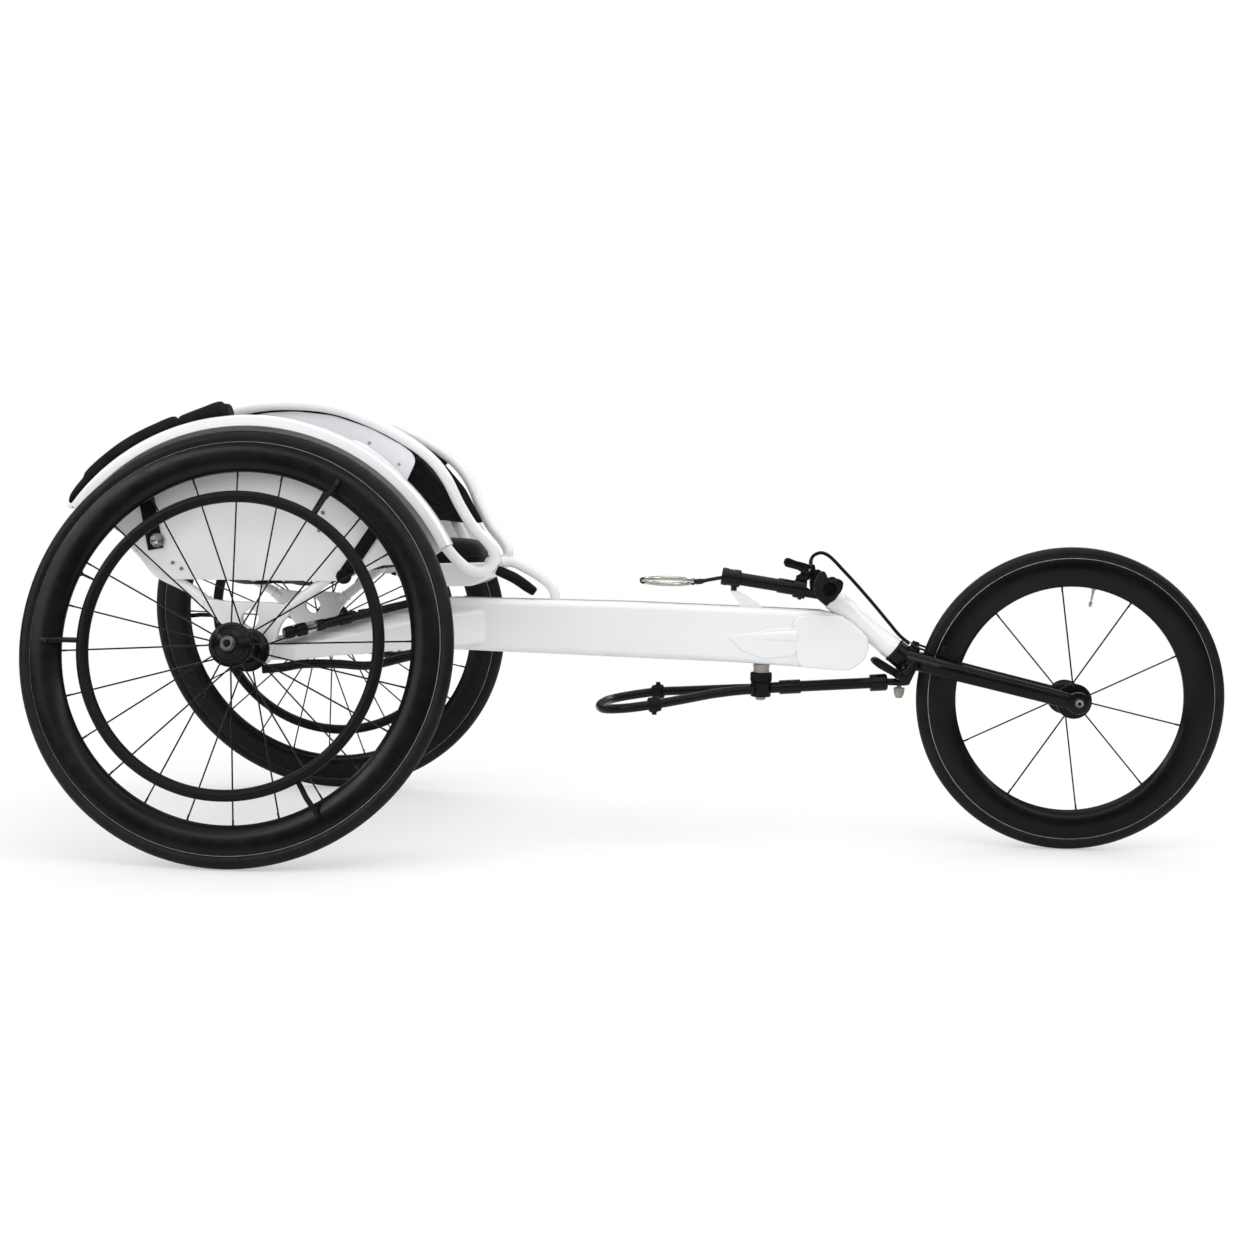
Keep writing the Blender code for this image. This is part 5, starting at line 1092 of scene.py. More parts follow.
def soft_loft(stations, corner):
    """Pulls a round-cornered section through (y, x_low, x_high, low, high) stations."""
    y, x_low, x_high, low, high = stations[0]
    corners = [rear(x, y, z) for x, z in ((x_low, low), (x_high, low), (x_high, high), (x_low, high))]
    bm, face = rounded(corners, corner, 5)
    for before, after in zip(stations, stations[1:]):
        face = pulled(bm, face)
        for vert in face.verts:
            x_share = (vert.co.x - CHAIR_X - before[1]) / (before[2] - before[1])
            z_share = (vert.co.z - AXLE_Z - before[3]) / (before[4] - before[3])
            vert.co = rear(after[1] + x_share * (after[2] - after[1]), after[0],
                           after[3] + z_share * (after[4] - after[3]))
    bmesh.ops.recalc_face_normals(bm, faces=bm.faces)
    return bm


keys = mm((30.3, 225, 345, -8, 50), (75, 150, 255, -14, 36), (125, 75, 160, -22, 13),
          (169.7, 18.5, 62, -30, -6))
lows = smooth_route([(x_low, y, low) for y, x_low, x_high, low, high in keys], 0.02)
highs = smooth_route([(x_high, y, high) for y, x_low, x_high, low, high in keys], 0.02)
last = min(len(lows), len(highs)) - 1
pairs = [(lows[round(k * (len(lows) - 1) / last)], highs[round(k * (len(highs) - 1) / last)])
         for k in range(last + 1)]
for hand, side in SIDES:
    stations = [(side * a.y, a.x, b.x, a.z, b.z) for a, b in pairs]
    piece(f"side_arm_{hand}", soft_loft(stations, 0.009), [white_paint], f"frame_arm_{hand}")

# %% [markdown]
# Under the axle a thin black brace runs from yoke to yoke and forward to the beam, one bar bent in a wide
# arch. Above it, on each side, a threaded adjuster sets the frame arms' angle. It is turned in one piece
# here, with its sleeves, lock nuts and bare thread as steps of the outline.

# %% Lower brace and adjusters
BRACE_RADIUS = 0.0072
brace_half = mm((12, 177, -44.6), (45, 170, -41.2), (68, 158, -37), (115, 125, -38.5), (162, 90, -43.5),
                (207, 50, -34.5), (236, 20, -28.3))
brace_route = rear_route(brace_half) + [rear(0.243, 0, -0.0278)]
brace_route += [rear(x, -y, z) for x, y, z in reversed(brace_half)]
piece("brace_bar", tube(smooth_route(brace_route, 0.01), BRACE_RADIUS, 24), [black_lacquer], "lower_brace")

sleeve_steps = mm((0, 0), (7.8, 0), (9, 1.5), (9.8, 4), (9.8, 15), (9, 16.2), (7.4, 17), (7.4, 20),
                  (9.8, 20.8), (10.5, 22.5), (10.5, 36), (9.6, 37), (4.8, 37.6), (4.5, 38.4))
sleeve_rest = mm((4.5, 54.5), (8.2, 55), (9, 56.2), (9, 66.8), (8.2, 68.4), (7.6, 70), (7.6, 90.5),
                 (8.2, 92.5), (9.2, 93.5), (9.2, 111), (8.4, 112.6), (6.8, 116))
thread_steps = []
for k in range(12):
    height = 0.039 + 0.00125 * k
    thread_steps += [(0.004, height), (0.0045, height + 0.0006)]
for hand, side in SIDES:
    low_end = rear(0.046, side * 0.175, 0.0125)
    reach = rear(0.262, side * 0.0235, 0.0688) - low_end
    outline = sleeve_steps + thread_steps + sleeve_rest
    outline += [(0.0062, reach.length - 0.002), (0.005, reach.length), (0, reach.length)]
    adjuster = begun(turned(outline, 32, frame_at(low_end, reach)))
    put(adjuster, hexagon(0.0104, 0.005, 0.059), 0, frame_at(low_end, reach))
    for face in adjuster.faces:
        along = (face.calc_center_median() - low_end).dot(reach.normalized())
        face.material_index = 1 if 0.0384 < along < 0.0546 else 0
    piece(f"brace_screw_{hand}", adjuster, [black_lacquer, satin_silver], f"brace_adjuster_{hand}", sharp=30)

# %% [markdown]
# The seat cage is one tube on each side, bent up from behind the seat, over the fender, down to the knees
# and back under itself in a long narrow loop. Its route is a short list of places that a smooth curve
# passes through. A fine groove shows where its two lengths are sleeved together near the knee.

# %% Seat cage
cage_places = mm((-213, 163, 185), (-205, 156, 245), (-155, 148, 303), (-100, 144, 340), (-45, 142, 363),
                 (0, 140, 373), (49, 139, 376), (111, 138, 371), (171, 134, 352), (227, 128, 324),
                 (266, 122, 296), (291, 115, 265), (312, 105, 222), (334, 95, 186), (356, 85, 162),
                 (366, 80, 144), (361, 80, 125), (345, 85, 114), (328, 90, 117), (310, 97, 131),
                 (289, 109, 157), (267, 123, 191), (240, 141, 235), (215, 151, 267), (180, 160, 297),
                 (150, 165.5, 316))
GROOVE_AT = rear(0.302, 0, 0.244)
for hand, side in SIDES:
    step_x, step_z = REAR_JOINT_WAY
    start = [rear(REAR_JOINT[0] + step_x * s, side * CAGE_TOUCH, REAR_JOINT[1] + step_z * s)
             for s in (2 * GAP, 0.02)]
    route = smooth_route(start + rear_route(cage_places, side), 0.008)
    nearest = min(range(len(route)),
                  key=lambda i: (route[i].x - GROOVE_AT.x) ** 2 + (route[i].z - GROOVE_AT.z) ** 2)
    along = (route[nearest + 1] - route[nearest]).normalized()
    groove = [route[nearest] + along * d for d in (-0.001, -0.0004, 0.0004, 0.001)]
    radii = [CAGE_TUBE] * nearest + [CAGE_TUBE, CAGE_TUBE - 0.0007, CAGE_TUBE - 0.0007, CAGE_TUBE]
    radii += [CAGE_TUBE] * (len(route) - nearest - 1)
    radii[-1] = 0.6 * CAGE_TUBE
    radii[-2] = 0.9 * CAGE_TUBE
    route = route[:nearest] + groove + route[nearest + 1:]
    piece(f"seat_tube_{hand}", tube(route, radii, 28), [white_paint], f"cage_loop_{hand}")

# %% [markdown]
# A thin grey-white shell closes the seat on each side, inside the tubes. It is a plate with a rounded rim,
# held by small domed rivets near its edge.

# %% Side panels
PANEL_INNER = 0.1277
PANEL_THICKNESS = 0.0028
panel_outline = mm((-175, 200), (-150, 283), (-100, 328.5), (-45, 351.5), (0, 362.5), (49, 365.8),
                   (111, 360.5), (171, 341.5), (227, 313), (247, 295), (226, 249), (185, 190), (150, 115),
                   (-140, 115))
rivet_places = mm((-150, 205), (-120, 290), (-30, 335), (75, 343), (170, 318), (218, 285), (180, 222),
                  (155, 160), (-128, 135), (5, 130))
dome = mm((0, 0), (2.8, 0), (2.52, 0.6), (1.4, 1.2), (0, 1.4))
for hand, side in SIDES:
    face_at = side * (PANEL_INNER + PANEL_THICKNESS)
    panel = begun(plate(at_rear(panel_outline), side * PANEL_INNER, face_at, 0.012, 0.0009))
    for x, z in rivet_places:
        put(panel, turned(dome, 16, frame_at(rear(x, face_at, z), Y_WAY * side)), 1)
    piece(f"seat_panel_{hand}", panel, [grey_panel, satin_silver], f"side_panel_{hand}")

# %% [markdown]
# The fender is a moulded shell: a band over the tyre with a rolled edge, and a flat guard below it that
# keeps the rider's arm off the spokes. The band is its section carried round the axle, which is a spin of
# less than a full turn, with its two ends closed. The band's faces that look towards the axle, and the
# inner face of its skirt, get the black finish as painted shade.

# %% Fenders
FENDER_RADIUS = 0.353
FENDER_START = math.radians(27.0)
FENDER_END = math.radians(143.5)
FENDER_STEPS = 72
GUARD_THICKNESS = 0.003


def carried_round(section, start, end, steps, side):
    """Spins a (radius, y) section about the rear axle line from one angle to another."""
    bm = bmesh.new()
    points = [bm.verts.new(rear(r * math.cos(start), side * y, r * math.sin(start))) for r, y in section]
    face = bm.faces.new(points)
    bmesh.ops.spin(bm, geom=[face], cent=rear(0, 0, 0), axis=(0, -1, 0), angle=end - start, steps=steps,
                   use_duplicate=False)
    return bm


fender_section = mm((336, 0), (349, 0), (352.2, 0.8), (353.6, 2.6), (354.5, 7), (354.5, 20), (353.9, 28),
                    (352.4, 32.2), (350, 34.2), (347, 34.5), (337.3, 34.5), (336.5, 33.7), (336.5, 32.5),
                    (337.3, 31.8), (345, 31.2), (348.5, 29), (350.5, 25), (351.2, 20), (351.2, 8),
                    (349, 4.2), (344, 3), (336, 3))
guard_low = mm((-215, 165), (-150, 105), (-130, 95), (135, 98), (205, 125), (268, 128))
angles = [FENDER_START + (FENDER_END - FENDER_START) * k / 40 for k in range(41)]
guard_outline = at_rear([(0.3425 * math.cos(a), 0.3425 * math.sin(a)) for a in angles] + guard_low)
bead_at = FENDER_END + 0.003 / FENDER_RADIUS
bead_radius = FENDER_RADIUS - 0.0016
for hand, side in SIDES:
    section = [(r, GUARD_INNER + y) for r, y in fender_section]
    fender = begun(carried_round(section, FENDER_START, FENDER_END, FENDER_STEPS, side))
    fender.normal_update()
    # Painted shade: faces under the band that face the axle, and the skirt's inner face, get the black finish
    # (index 2) for the shade under the white fender.
    for face in fender.faces:
        outward = face.calc_center_median() - rear(0, 0, 0)
        skirt_side = outward.y * side > GUARD_INNER + 0.015
        outward.y = 0
        inner = face.normal.dot(outward.normalized()) < -0.3 or skirt_side and face.normal.y * side < -0.5
        if inner and FENDER_RADIUS - 0.0152 < outward.length:
            face.material_index = 2
    face_at = side * (GUARD_INNER + GUARD_THICKNESS - 0.0002)
    put(fender, plate(guard_outline, side * (GUARD_INNER + 0.0002), face_at, 0, 0.0008))
    for x, z in mm((108.4, 205), (102.4, 177), (-132, 121), (-118, 112)):
        put(fender, cap_bolt(0.003, 0.0022), 1, frame_at(rear(x, face_at, z), Y_WAY * side))
    rolled = [rear(bead_radius * math.cos(bead_at), side * (GUARD_INNER + y), bead_radius * math.sin(bead_at))
              for y in (0.0005, 0.034)]
    put(fender, tube(rolled, 0.0036, 20))
    # The third finish on the fender is painted shade on its underside, not a black part.
    piece(f"wheel_fender_{hand}", fender, [white_paint, satin_silver, black_plastic], f"fender_{hand}",
          sharp=30)

# %% [markdown]
# Two strips of dense foam lie on each fender, where the rider's arm rests and strikes. Their section is a
# loaf: flat below, rounded above, carried round the axle with a thickness that changes along the way. A
# gap parts the long rear strip from the short front one, which ends in a bulb. These pads are firm, so
# they are shaped directly, with no pressure in them.

# %% Fender pads
PAD_BASE = FENDER_RADIUS + 0.0015 + RUNNING
PAD_THICKNESS = 0.0165
PAD_HALF_WIDTH = 0.0148
PAD_MIDDLE = GUARD_INNER + 0.0172
pad_step = (FENDER_END - FENDER_START) / 16
pad_runs = [[(0.0, 0.2), (0.05, 0.42), (0.22, 0.66), (0.6, 0.76), (0.95, 0.8), (1.1, 1.0), (2, 1.05),
             (3, 1.05), (4, 1.0), (4.6, 1.02), (4.7, 0.96), (4.74, 0.55)],
            [(4.86, 0.5), (4.9, 0.8), (5.1, 0.88), (5.7, 1.1), (6.15, 1.36), (6.33, 1.38), (6.42, 1.14),
             (6.56, 1.08), (6.62, 0.55)]]
SUPER = 2.6


def loaf_point(angle_share, height):
    """One point of the loaf section: a flat bottom and a squarish dome, as (radius, y)."""
    angle = math.pi * angle_share
    c = math.cos(angle)
    s = math.sin(angle)
    y = math.copysign(abs(c) ** (2 / SUPER), c) * PAD_HALF_WIDTH
    return PAD_BASE + height * abs(s) ** (2 / SUPER), PAD_MIDDLE + y


def fender_pad(side, run):
    bm = bmesh.new()
    count = 18
    points = [bm.verts.new((0, 0, 0)) for k in range(count)]
    face = bm.faces.new(points)
    for index, station in enumerate(smooth_route([(a, 0, h) for a, h in run], 0.12)):
        angle = FENDER_END - pad_step * max(run[0][0], min(run[-1][0], station.x))
        if index:
            order = {v.co.to_tuple(6): k for k, v in enumerate(points)}
            face = pulled(bm, face)
            points = sorted(face.verts, key=lambda v: order[v.co.to_tuple(6)])
        for k, vert in enumerate(points):
            r, y = loaf_point(k / (count - 1), PAD_THICKNESS * station.z)
            vert.co = rear(r * math.cos(angle), side * y, r * math.sin(angle))
    bmesh.ops.recalc_face_normals(bm, faces=bm.faces)
    return bm


def subdivided(made):
    modifier = made.modifiers.new("finer", "SUBSURF")
    modifier.levels = 1
    modifier.render_levels = 1


for hand, side in SIDES:
    pads = begun(fender_pad(side, pad_runs[0]))
    put(pads, fender_pad(side, pad_runs[1]))
    pad = piece(f"arm_pad_{hand}", pads, [pad_foam], f"fender_pad_{hand}", sharp=60)
    subdivided(pad)
print("pieces so far:", len(made_pieces))

# %% [markdown]
# The rider kneels: the shins rest in a shallow white tray in front of the seat, and the thighs press on a
# cushion there. The tray is a folded shell with open top. Its hollow is cut out of a solid block by a
# Boolean, which leaves an even wall, and a bar across its nose joins the two seat tubes.

# %% Knee tray
TRAY_HALF = 0.07
TRAY_WALL = 0.004
NOSE_BAR_AT = (0.358, 0.13)
NOSE_BAR_RADIUS = 0.0085
tray_outline = at_rear(mm((200, 123.5), (200, 104), (235, 86.5), (330, 90.5), (352, 104), (354, 130)))
tray = plate(tray_outline, -TRAY_HALF, TRAY_HALF, 0.007, 0.0025)
dish = plate(at_rear(mm((204, 107.5), (237, 90.5), (329, 94.5), (348, 107.5), (348, 145), (204, 145))),
             -TRAY_HALF + TRAY_WALL, TRAY_HALF - TRAY_WALL, 0.005, 0.001)
tray = begun(cut(tray, dish))
bar_at = rear(NOSE_BAR_AT[0], 0, NOSE_BAR_AT[1])
put(tray, rod(bar_at, Y_WAY, NOSE_BAR_RADIUS, 0.1412, 40, 0.0008))
for side in (-1, 1):
    seam_frame = frame_at(bar_at + Y_WAY * (side * 0.069), Y_WAY * side)
    seam_round(tray, NOSE_BAR_RADIUS + 0.0003, 0.0013, seam_frame, 36)
piece("shin_tray", tray, [white_paint], "knee_tray", sharp=32)

# %% [markdown]
# The sling is a bucket of quilted nylon: two walls sewn in channels, and a floor behind the tray. A grid
# is laid over it, and each of its points is placed between the stations of the seat by interpolation.
# Every second row stands in, and between the seams the cloth swells as a sine. Solidify then gives the
# cloth its two faces.

# %% Seat sling
SLING_THICKNESS = 0.005
sling_stations = mm((-185, 118, 225, 140), (-150, 124.8, 262, 122), (-80, 124.8, 330, 116.5),
                    (10, 124.8, 356, 116.5), (90, 124.8, 357, 116.5), (172, 124.8, 334, 117.5),
                    (205, 119.5, 316, 185), (245, 109, 296, 187), (285, 96, 252, 187),
                    (318, 82.5, 196, 184))
SLING_CHANNELS = 6
ROWS_PER_CHANNEL = 6
SLING_COLUMNS = 66
SLING_SWELL = 0.0035


def between_stations(stations, place):
    """The values of a list of stations at a place counted in stations."""
    i = min(int(place), len(stations) - 2)
    t = place - i
    return [a + (b - a) * t for a, b in zip(stations[i], stations[i + 1])]


def station_at(share):
    """The sling's x, half width, top and bottom at a share of its length."""
    return between_stations(sling_stations, share * (len(sling_stations) - 1))


def sling_point(share, down, side):
    """A point of one wall: down runs from 0 at the top to 1 at the floor."""
    x, half, top, bottom = station_at(share)
    swell = SLING_SWELL * abs(math.sin(math.pi * SLING_CHANNELS * down)) ** 0.7
    swell *= 1 - 0.85 * math.exp(-((share * 9 - 7.05) / 0.07) ** 2)
    y = half - SLING_SWELL + swell - 0.0016
    return rear(x, side * y, top + (bottom + 0.012 - top) * down)


def floor_point(share, across):
    """The floor hangs between the walls as a shallow trough, sewn in lengthwise channels."""
    x, half, top, bottom = station_at(share * 5 / (len(sling_stations) - 1))
    swell = 0.003 * abs(math.sin(math.pi * 4 * across)) ** 0.7
    corner = max(0.0, (abs(across) - 0.88) / 0.12) ** 2
    return rear(x, across * (half - 0.004), bottom - 0.0008 + 0.01 * corner + swell * (1 - corner))


def cloth_grid(columns, rows, place, outward):
    """A grid laid over a rule for its points, with its faces towards a direction."""
    bm = bmesh.new()
    bmesh.ops.create_grid(bm, x_segments=columns, y_segments=rows, size=0.5)
    for vert in bm.verts:
        vert.co = place(vert.co.x + 0.5, vert.co.y)
    bm.normal_update()
    if bm.faces[:][0].normal.dot(outward) < 0:
        bmesh.ops.reverse_faces(bm, faces=bm.faces)
    return bm


sling = bmesh.new()
rows = SLING_CHANNELS * ROWS_PER_CHANNEL
for part in (cloth_grid(SLING_COLUMNS, rows, lambda share, y: sling_point(share, 0.5 - y, -1), -Y_WAY),
             cloth_grid(SLING_COLUMNS, rows, lambda share, y: sling_point(share, 0.5 - y, 1), Y_WAY),
             cloth_grid(44, 48, lambda share, y: floor_point(share, y * 2), -Z_WAY)):
    holder = bpy.data.meshes.new("holder")
    part.to_mesh(holder)
    part.free()
    sling.from_mesh(holder)
    bpy.data.meshes.remove(holder)
bmesh.ops.remove_doubles(sling, verts=sling.verts, dist=0.0002)
sling = piece("quilted_sling", sling, [quilted_cloth], "seat_sling", sharp=60)
cloth_wall = sling.modifiers.new("cloth", "SOLIDIFY")
cloth_wall.thickness = SLING_THICKNESS
cloth_wall.offset = 0

# %% [markdown]
# Each wall is edged along its top with a bound hem, and a second hem runs down its rear edge. Both are
# thin rounded tubes: the top one is laid along the side panel's outline, the rear one along the sling's
# own points, so it follows the quilting.

# %% Hems of the sling
HEM_AT = 0.1262
top_line = [(x, HEM_AT, z + 0.0018) for x, z in panel_outline[1:10]]
for hand, side in SIDES:
    back_line = [sling_point(0.0, k / 10, side) for k in range(11)]
    for name, line, radius in (("hem", rear_route(top_line, side), 0.0034), ("back_hem", back_line, 0.003)):
        hem = tube(smooth_route(line, 0.006), radius, 12)
        piece(f"sling_{name}_{hand}", hem, [webbing], sharp=60)

# %% [markdown]
# The knee cushion is a plump block of foam in the same cloth. It is the one piece that is truly filled
# with pressure: a small rounded box is remeshed to an even grid, Blender's Cloth blows it up for twenty
# frames with gravity off, and no point may move further than a cap. The piping comes after, on the line
# where the finished cushion is widest.

# %% Knee cushion
CUSHION_HALF = Vector((0.069, TRAY_HALF - TRAY_WALL - 0.0012, 0.04))
CUSHION_MIDDLE = rear(0.2765, 0, 0.1334)
CUSHION_CAP = 0.009
CUSHION_SHRINK = 0.0055
VOXEL = 0.005
CLOTH_FRAMES = 20


def cushion_start():
    bm = bmesh.new()
    bmesh.ops.create_cube(bm, size=2)
    bmesh.ops.subdivide_edges(bm, edges=bm.edges, cuts=11, use_grid_fill=True)
    size = CUSHION_HALF - Vector((1, 1, 1)) * CUSHION_SHRINK
    for vert in bm.verts:
        unit = vert.co / sum(abs(c) ** 4 for c in vert.co) ** 0.25
        waist = 1 - 0.05 * abs(unit.z) ** 3
        vert.co = CUSHION_MIDDLE + Vector((unit.x * size.x * waist, unit.y * size.y * waist, unit.z * size.z))
    return bm


cushion = piece("thigh_cushion", cushion_start(), [quilted_cloth], "knee_cushion", sharp=180)


def applied(made):
    """Takes the mesh as its modifiers leave it, and drops the modifiers."""
    graph = bpy.context.evaluated_depsgraph_get()
    mesh = bpy.data.meshes.new_from_object(made.evaluated_get(graph))
    made.modifiers.clear()
    made.data = mesh


def blown_up(made, cap):
    """Fills a closed piece with a little air pressure, moving no point further than the cap."""
    remesh = made.modifiers.new("remesh", "REMESH")
    remesh.mode = "VOXEL"
    remesh.voxel_size = VOXEL
    applied(made)
    before = [v.co.copy() for v in made.data.vertices]
    cloth = made.modifiers.new("air", "CLOTH")
    cloth.settings.use_pressure = True
    cloth.settings.uniform_pressure_force = 4.0
    cloth.settings.effector_weights.gravity = 0.0
    cloth.settings.tension_stiffness = 12.0
    cloth.point_cache.frame_start = 1
    cloth.point_cache.frame_end = CLOTH_FRAMES
    for number in range(1, CLOTH_FRAMES + 1):
        scene.frame_set(number)
    applied(made)
    scene.frame_set(1)
    for vert, old in zip(made.data.vertices, before):
        moved = vert.co - old
        if moved.length > cap:
            vert.co = old + moved * (cap / moved.length)
    made.data.shade_smooth()


blown_up(cushion, CUSHION_CAP)
low_limit = CUSHION_MIDDLE - CUSHION_HALF
high_limit = CUSHION_MIDDLE + CUSHION_HALF
for vert in cushion.data.vertices:
    for axis in range(3):
        vert.co[axis] = min(max(vert.co[axis], low_limit[axis]), high_limit[axis])
subdivided(cushion)
print("cushion points:", len(cushion.data.vertices))

# %% Piping round the cushion
PIPING_RADIUS = 0.0019
PIPING_POINTS = 96
skin = BVHTree.FromObject(cushion, bpy.context.evaluated_depsgraph_get())
route = []
for way in (ray(angle) for angle in around(PIPING_POINTS, 0)):
    hit = skin.ray_cast(CUSHION_MIDDLE + Vector((0, 0, 0.004)) + way * 0.3, -way)
    route.append(hit[0] - way * 0.0006)
piece("cushion_piping", tube(route, PIPING_RADIUS, 10, True), [webbing], sharp=60)

# %% [markdown]
# Two wide web straps cross below the seat from guard to guard, and carry the sling's floor. A strap is one
# ribbon: its width stays level while it sags between its ends. Each side has a short upright strap with a
# hex bolt through it, and a wide band closes the seat's back.

# %% Straps


def ribbon(points, width_way, width, thick, thickness_way):
    """A flat strap along points, rounded a little at its long edges."""
    half = [(-0.5, -0.32), (-0.47, -0.5), (0.47, -0.5), (0.5, -0.32)]
    bm = bmesh.new()
    corners = [bm.verts.new(points[0] + width_way * (a * width) + thickness_way * (b * thick))
               for a, b in half + [(-a, -b) for a, b in half]]
    face = bm.faces.new(corners)
    for before, after in zip(points, points[1:]):
        face = pulled(bm, face)
        bmesh.ops.translate(bm, vec=after - before, verts=face.verts)
    return bm


webs = bmesh.new()
cross_half = mm((-174.7, 101), (-150, 96.6), (-120, 92.6), (-85, 88.2), (-50, 84.8))
cross_points = cross_half + [(0.0, 0.0842)] + [(-y, z) for y, z in reversed(cross_half)]
for x in (-0.045, 0.05):
    put(webs, ribbon([rear(x, y, z) for y, z in cross_points], X_WAY, 0.03, 0.0028, Z_WAY))
link_points = [rear(x, 0, 0.085 + 0.001 * abs(math.sin(30 * x))) for x in (-0.055, -0.03, 0.0, 0.03, 0.06)]
put(webs, ribbon(link_points, Y_WAY, 0.024, 0.0022, Z_WAY))
piece("seat_webs", webs, [webbing], "seat_straps", sharp=50)

STRAP_IN = GUARD_INNER + GUARD_THICKNESS + GAP
for hand, side in SIDES:
    y = side * (STRAP_IN + 0.0015)
    strip = [rear(-0.176 + 0.017 * t, y, 0.234 - 0.092 * t) for t in (0, 0.2, 0.4, 0.6, 0.8, 1)]
    strap = begun(ribbon(strip, Vector((1, 0, 0.2)), 0.024, 0.0028, Y_WAY))
    bolt_frame = frame_at(rear(-0.156, side * (STRAP_IN + 0.0028), 0.156), Y_WAY * side)
    put(strap, hex_bolt(0.009, 0.0062), 1, bolt_frame)
    piece(f"side_web_{hand}", strap, [webbing, satin_silver], f"side_strap_{hand}", sharp=50)

knob = mm((0, 0), (11.2, 0), (11.8, 1.2), (11.8, 6), (10.8, 7.4), (6, 8), (5.4, 6.2), (0, 6.2))
for hand, side in SIDES:
    y = side * (STRAP_IN + 0.0016)
    strip = [rear(0.205 - 0.067 * t, y, 0.2 - 0.1 * t) for t in (0, 0.25, 0.5, 0.75, 1)]
    strap = begun(ribbon(strip, Vector((0.83, 0, -0.56)), 0.02, 0.003, Y_WAY))
    knob_frame = frame_at(rear(0.144, side * (STRAP_IN + 0.0028), 0.106), Y_WAY * side)
    put(strap, turned(knob, 40, knob_frame), 1)
    piece(f"front_web_{hand}", strap, [webbing, black_plastic], sharp=50)

back_half = mm((-199, -147.5), (-199.6, -130), (-200, -110), (-200.4, -55))
back_route = [rear(x, y, 0.215) for x, y in
              back_half + [(-0.2005, 0.0)] + [(x, -y) for x, y in reversed(back_half)]]
back = begun(ribbon(back_route, Z_WAY, 0.055, 0.0036, X_WAY))
for rise in (-0.0225, 0.0225):
    put(back, tube([p + Vector((-0.0019, 0, rise)) for p in back_route], 0.0005, 6), 1)
piece("back_web", back, [webbing, thread], "back_strap", sharp=50)

# %% [markdown]
# Under the seat's nose a grey stay comes down to the beam, and a short black rubber bumper lies below it.
# Both are thick round bars.

# %% Front stay and bumper
stay_foot = rear(0.458, 0, BEAM_TOP + GAP + (0.458 - 0.285) / (beam_mid_x - 0.285)
                 * (beam_mid_z + BEAM_TOP_MIDDLE - BEAM_TOP))
stay_route = rear_route([(NOSE_BAR_AT[0] + NOSE_BAR_RADIUS + RUNNING, 0, NOSE_BAR_AT[1] - 0.001),
                         (0.384, 0, 0.129), (0.402, 0, 0.122), (0.434, 0, 0.104), (0.452, 0, 0.088)])
stay_route += [stay_foot + Z_WAY * 0.0057, stay_foot]
stay = begun(tube(smooth_route(stay_route, 0.005), 0.0082, 28))
piece("nose_stay", stay, [grey_panel], "front_stay", sharp=50)
bumper_places = mm((358.5, 0, 115), (388, 0, 102.5), (412, 0, 87), (424, 0, 79))
bumper_route = smooth_route(rear_route(bumper_places), 0.004)
last = len(bumper_route) - 1
bumper_radii = [0.0086 + 0.0006 * math.sin(math.pi * k / last) - 0.0012 * max(0.0, k / last - 0.75) * 4
                for k in range(last + 1)]
bumper_radii[0] = 0.0078
bumper_radii[-1] = 0.0062
piece("nose_bumper", tube(bumper_route, bumper_radii, 28), [black_plastic], "front_strap", sharp=50)
print("seat pieces are done:", len(made_pieces))

# %% [markdown]
# The fork turns in the head tube. Its two legs leave the crown, spread round the tyre and run straight to
# the dropouts, with an oval section that gets thinner. A leg is a lofted oval: one face is pulled from
# station to station, and each ring is set by its own height and width. Booleans weld legs, crown and
# dropouts together and drill the axle hole.

# %% Fork
CROWN_RADIUS = 0.0205
CROWN_DROP = 0.0215
CROWN_HEIGHT = 0.034
STEERER_TOP = HEAD_TUBE_LENGTH + 0.012
CROWN_AT = steer(0, 0, -CROWN_DROP)
DROPOUT_MID = FRONT_HUB_HALF + RUNNING + DROPOUT_THICKNESS / 2
LEG_STATIONS = [(0.0, 0.008, 0.0145, 0.01), (0.055, 0.0172, 0.015, 0.01), (0.11, 0.026, 0.015, 0.01),
                (0.165, 0.0355, 0.0148, 0.0093), (0.22, 0.044, 0.0145, 0.0085), (0.36, 0.0475, 0.014, 0.008),
                (0.5, DROPOUT_MID - 0.004, 0.0135, 0.0075), (0.75, DROPOUT_MID - 0.0015, 0.013, 0.0067),
                (1.0, DROPOUT_MID, 0.0125, 0.006)]


def fork_leg(side):
    reach = FRONT_AXLE - CROWN_AT
    along = reach.normalized()
    turn = Matrix((along.cross(Y_WAY), Y_WAY * side, along)).transposed().to_4x4()
    matrices = []
    for place in smooth_route([(share, spread, 0) for share, spread, tall, wide in LEG_STATIONS], 0.03):
        passed = sum(1 for station in LEG_STATIONS[1:-1] if place.x > station[0])
        before, after = LEG_STATIONS[passed:passed + 2]
        t = (place.x - before[0]) / (after[0] - before[0])
        tall, wide = (before[i] + (after[i] - before[i]) * t for i in (2, 3))
        center = CROWN_AT + reach * place.x + Y_WAY * (side * place.y)
        matrices.append(Matrix.Translation(center) @ turn @ Matrix.Diagonal((tall, wide, 1, 1)))
    return swept(matrices, 28)


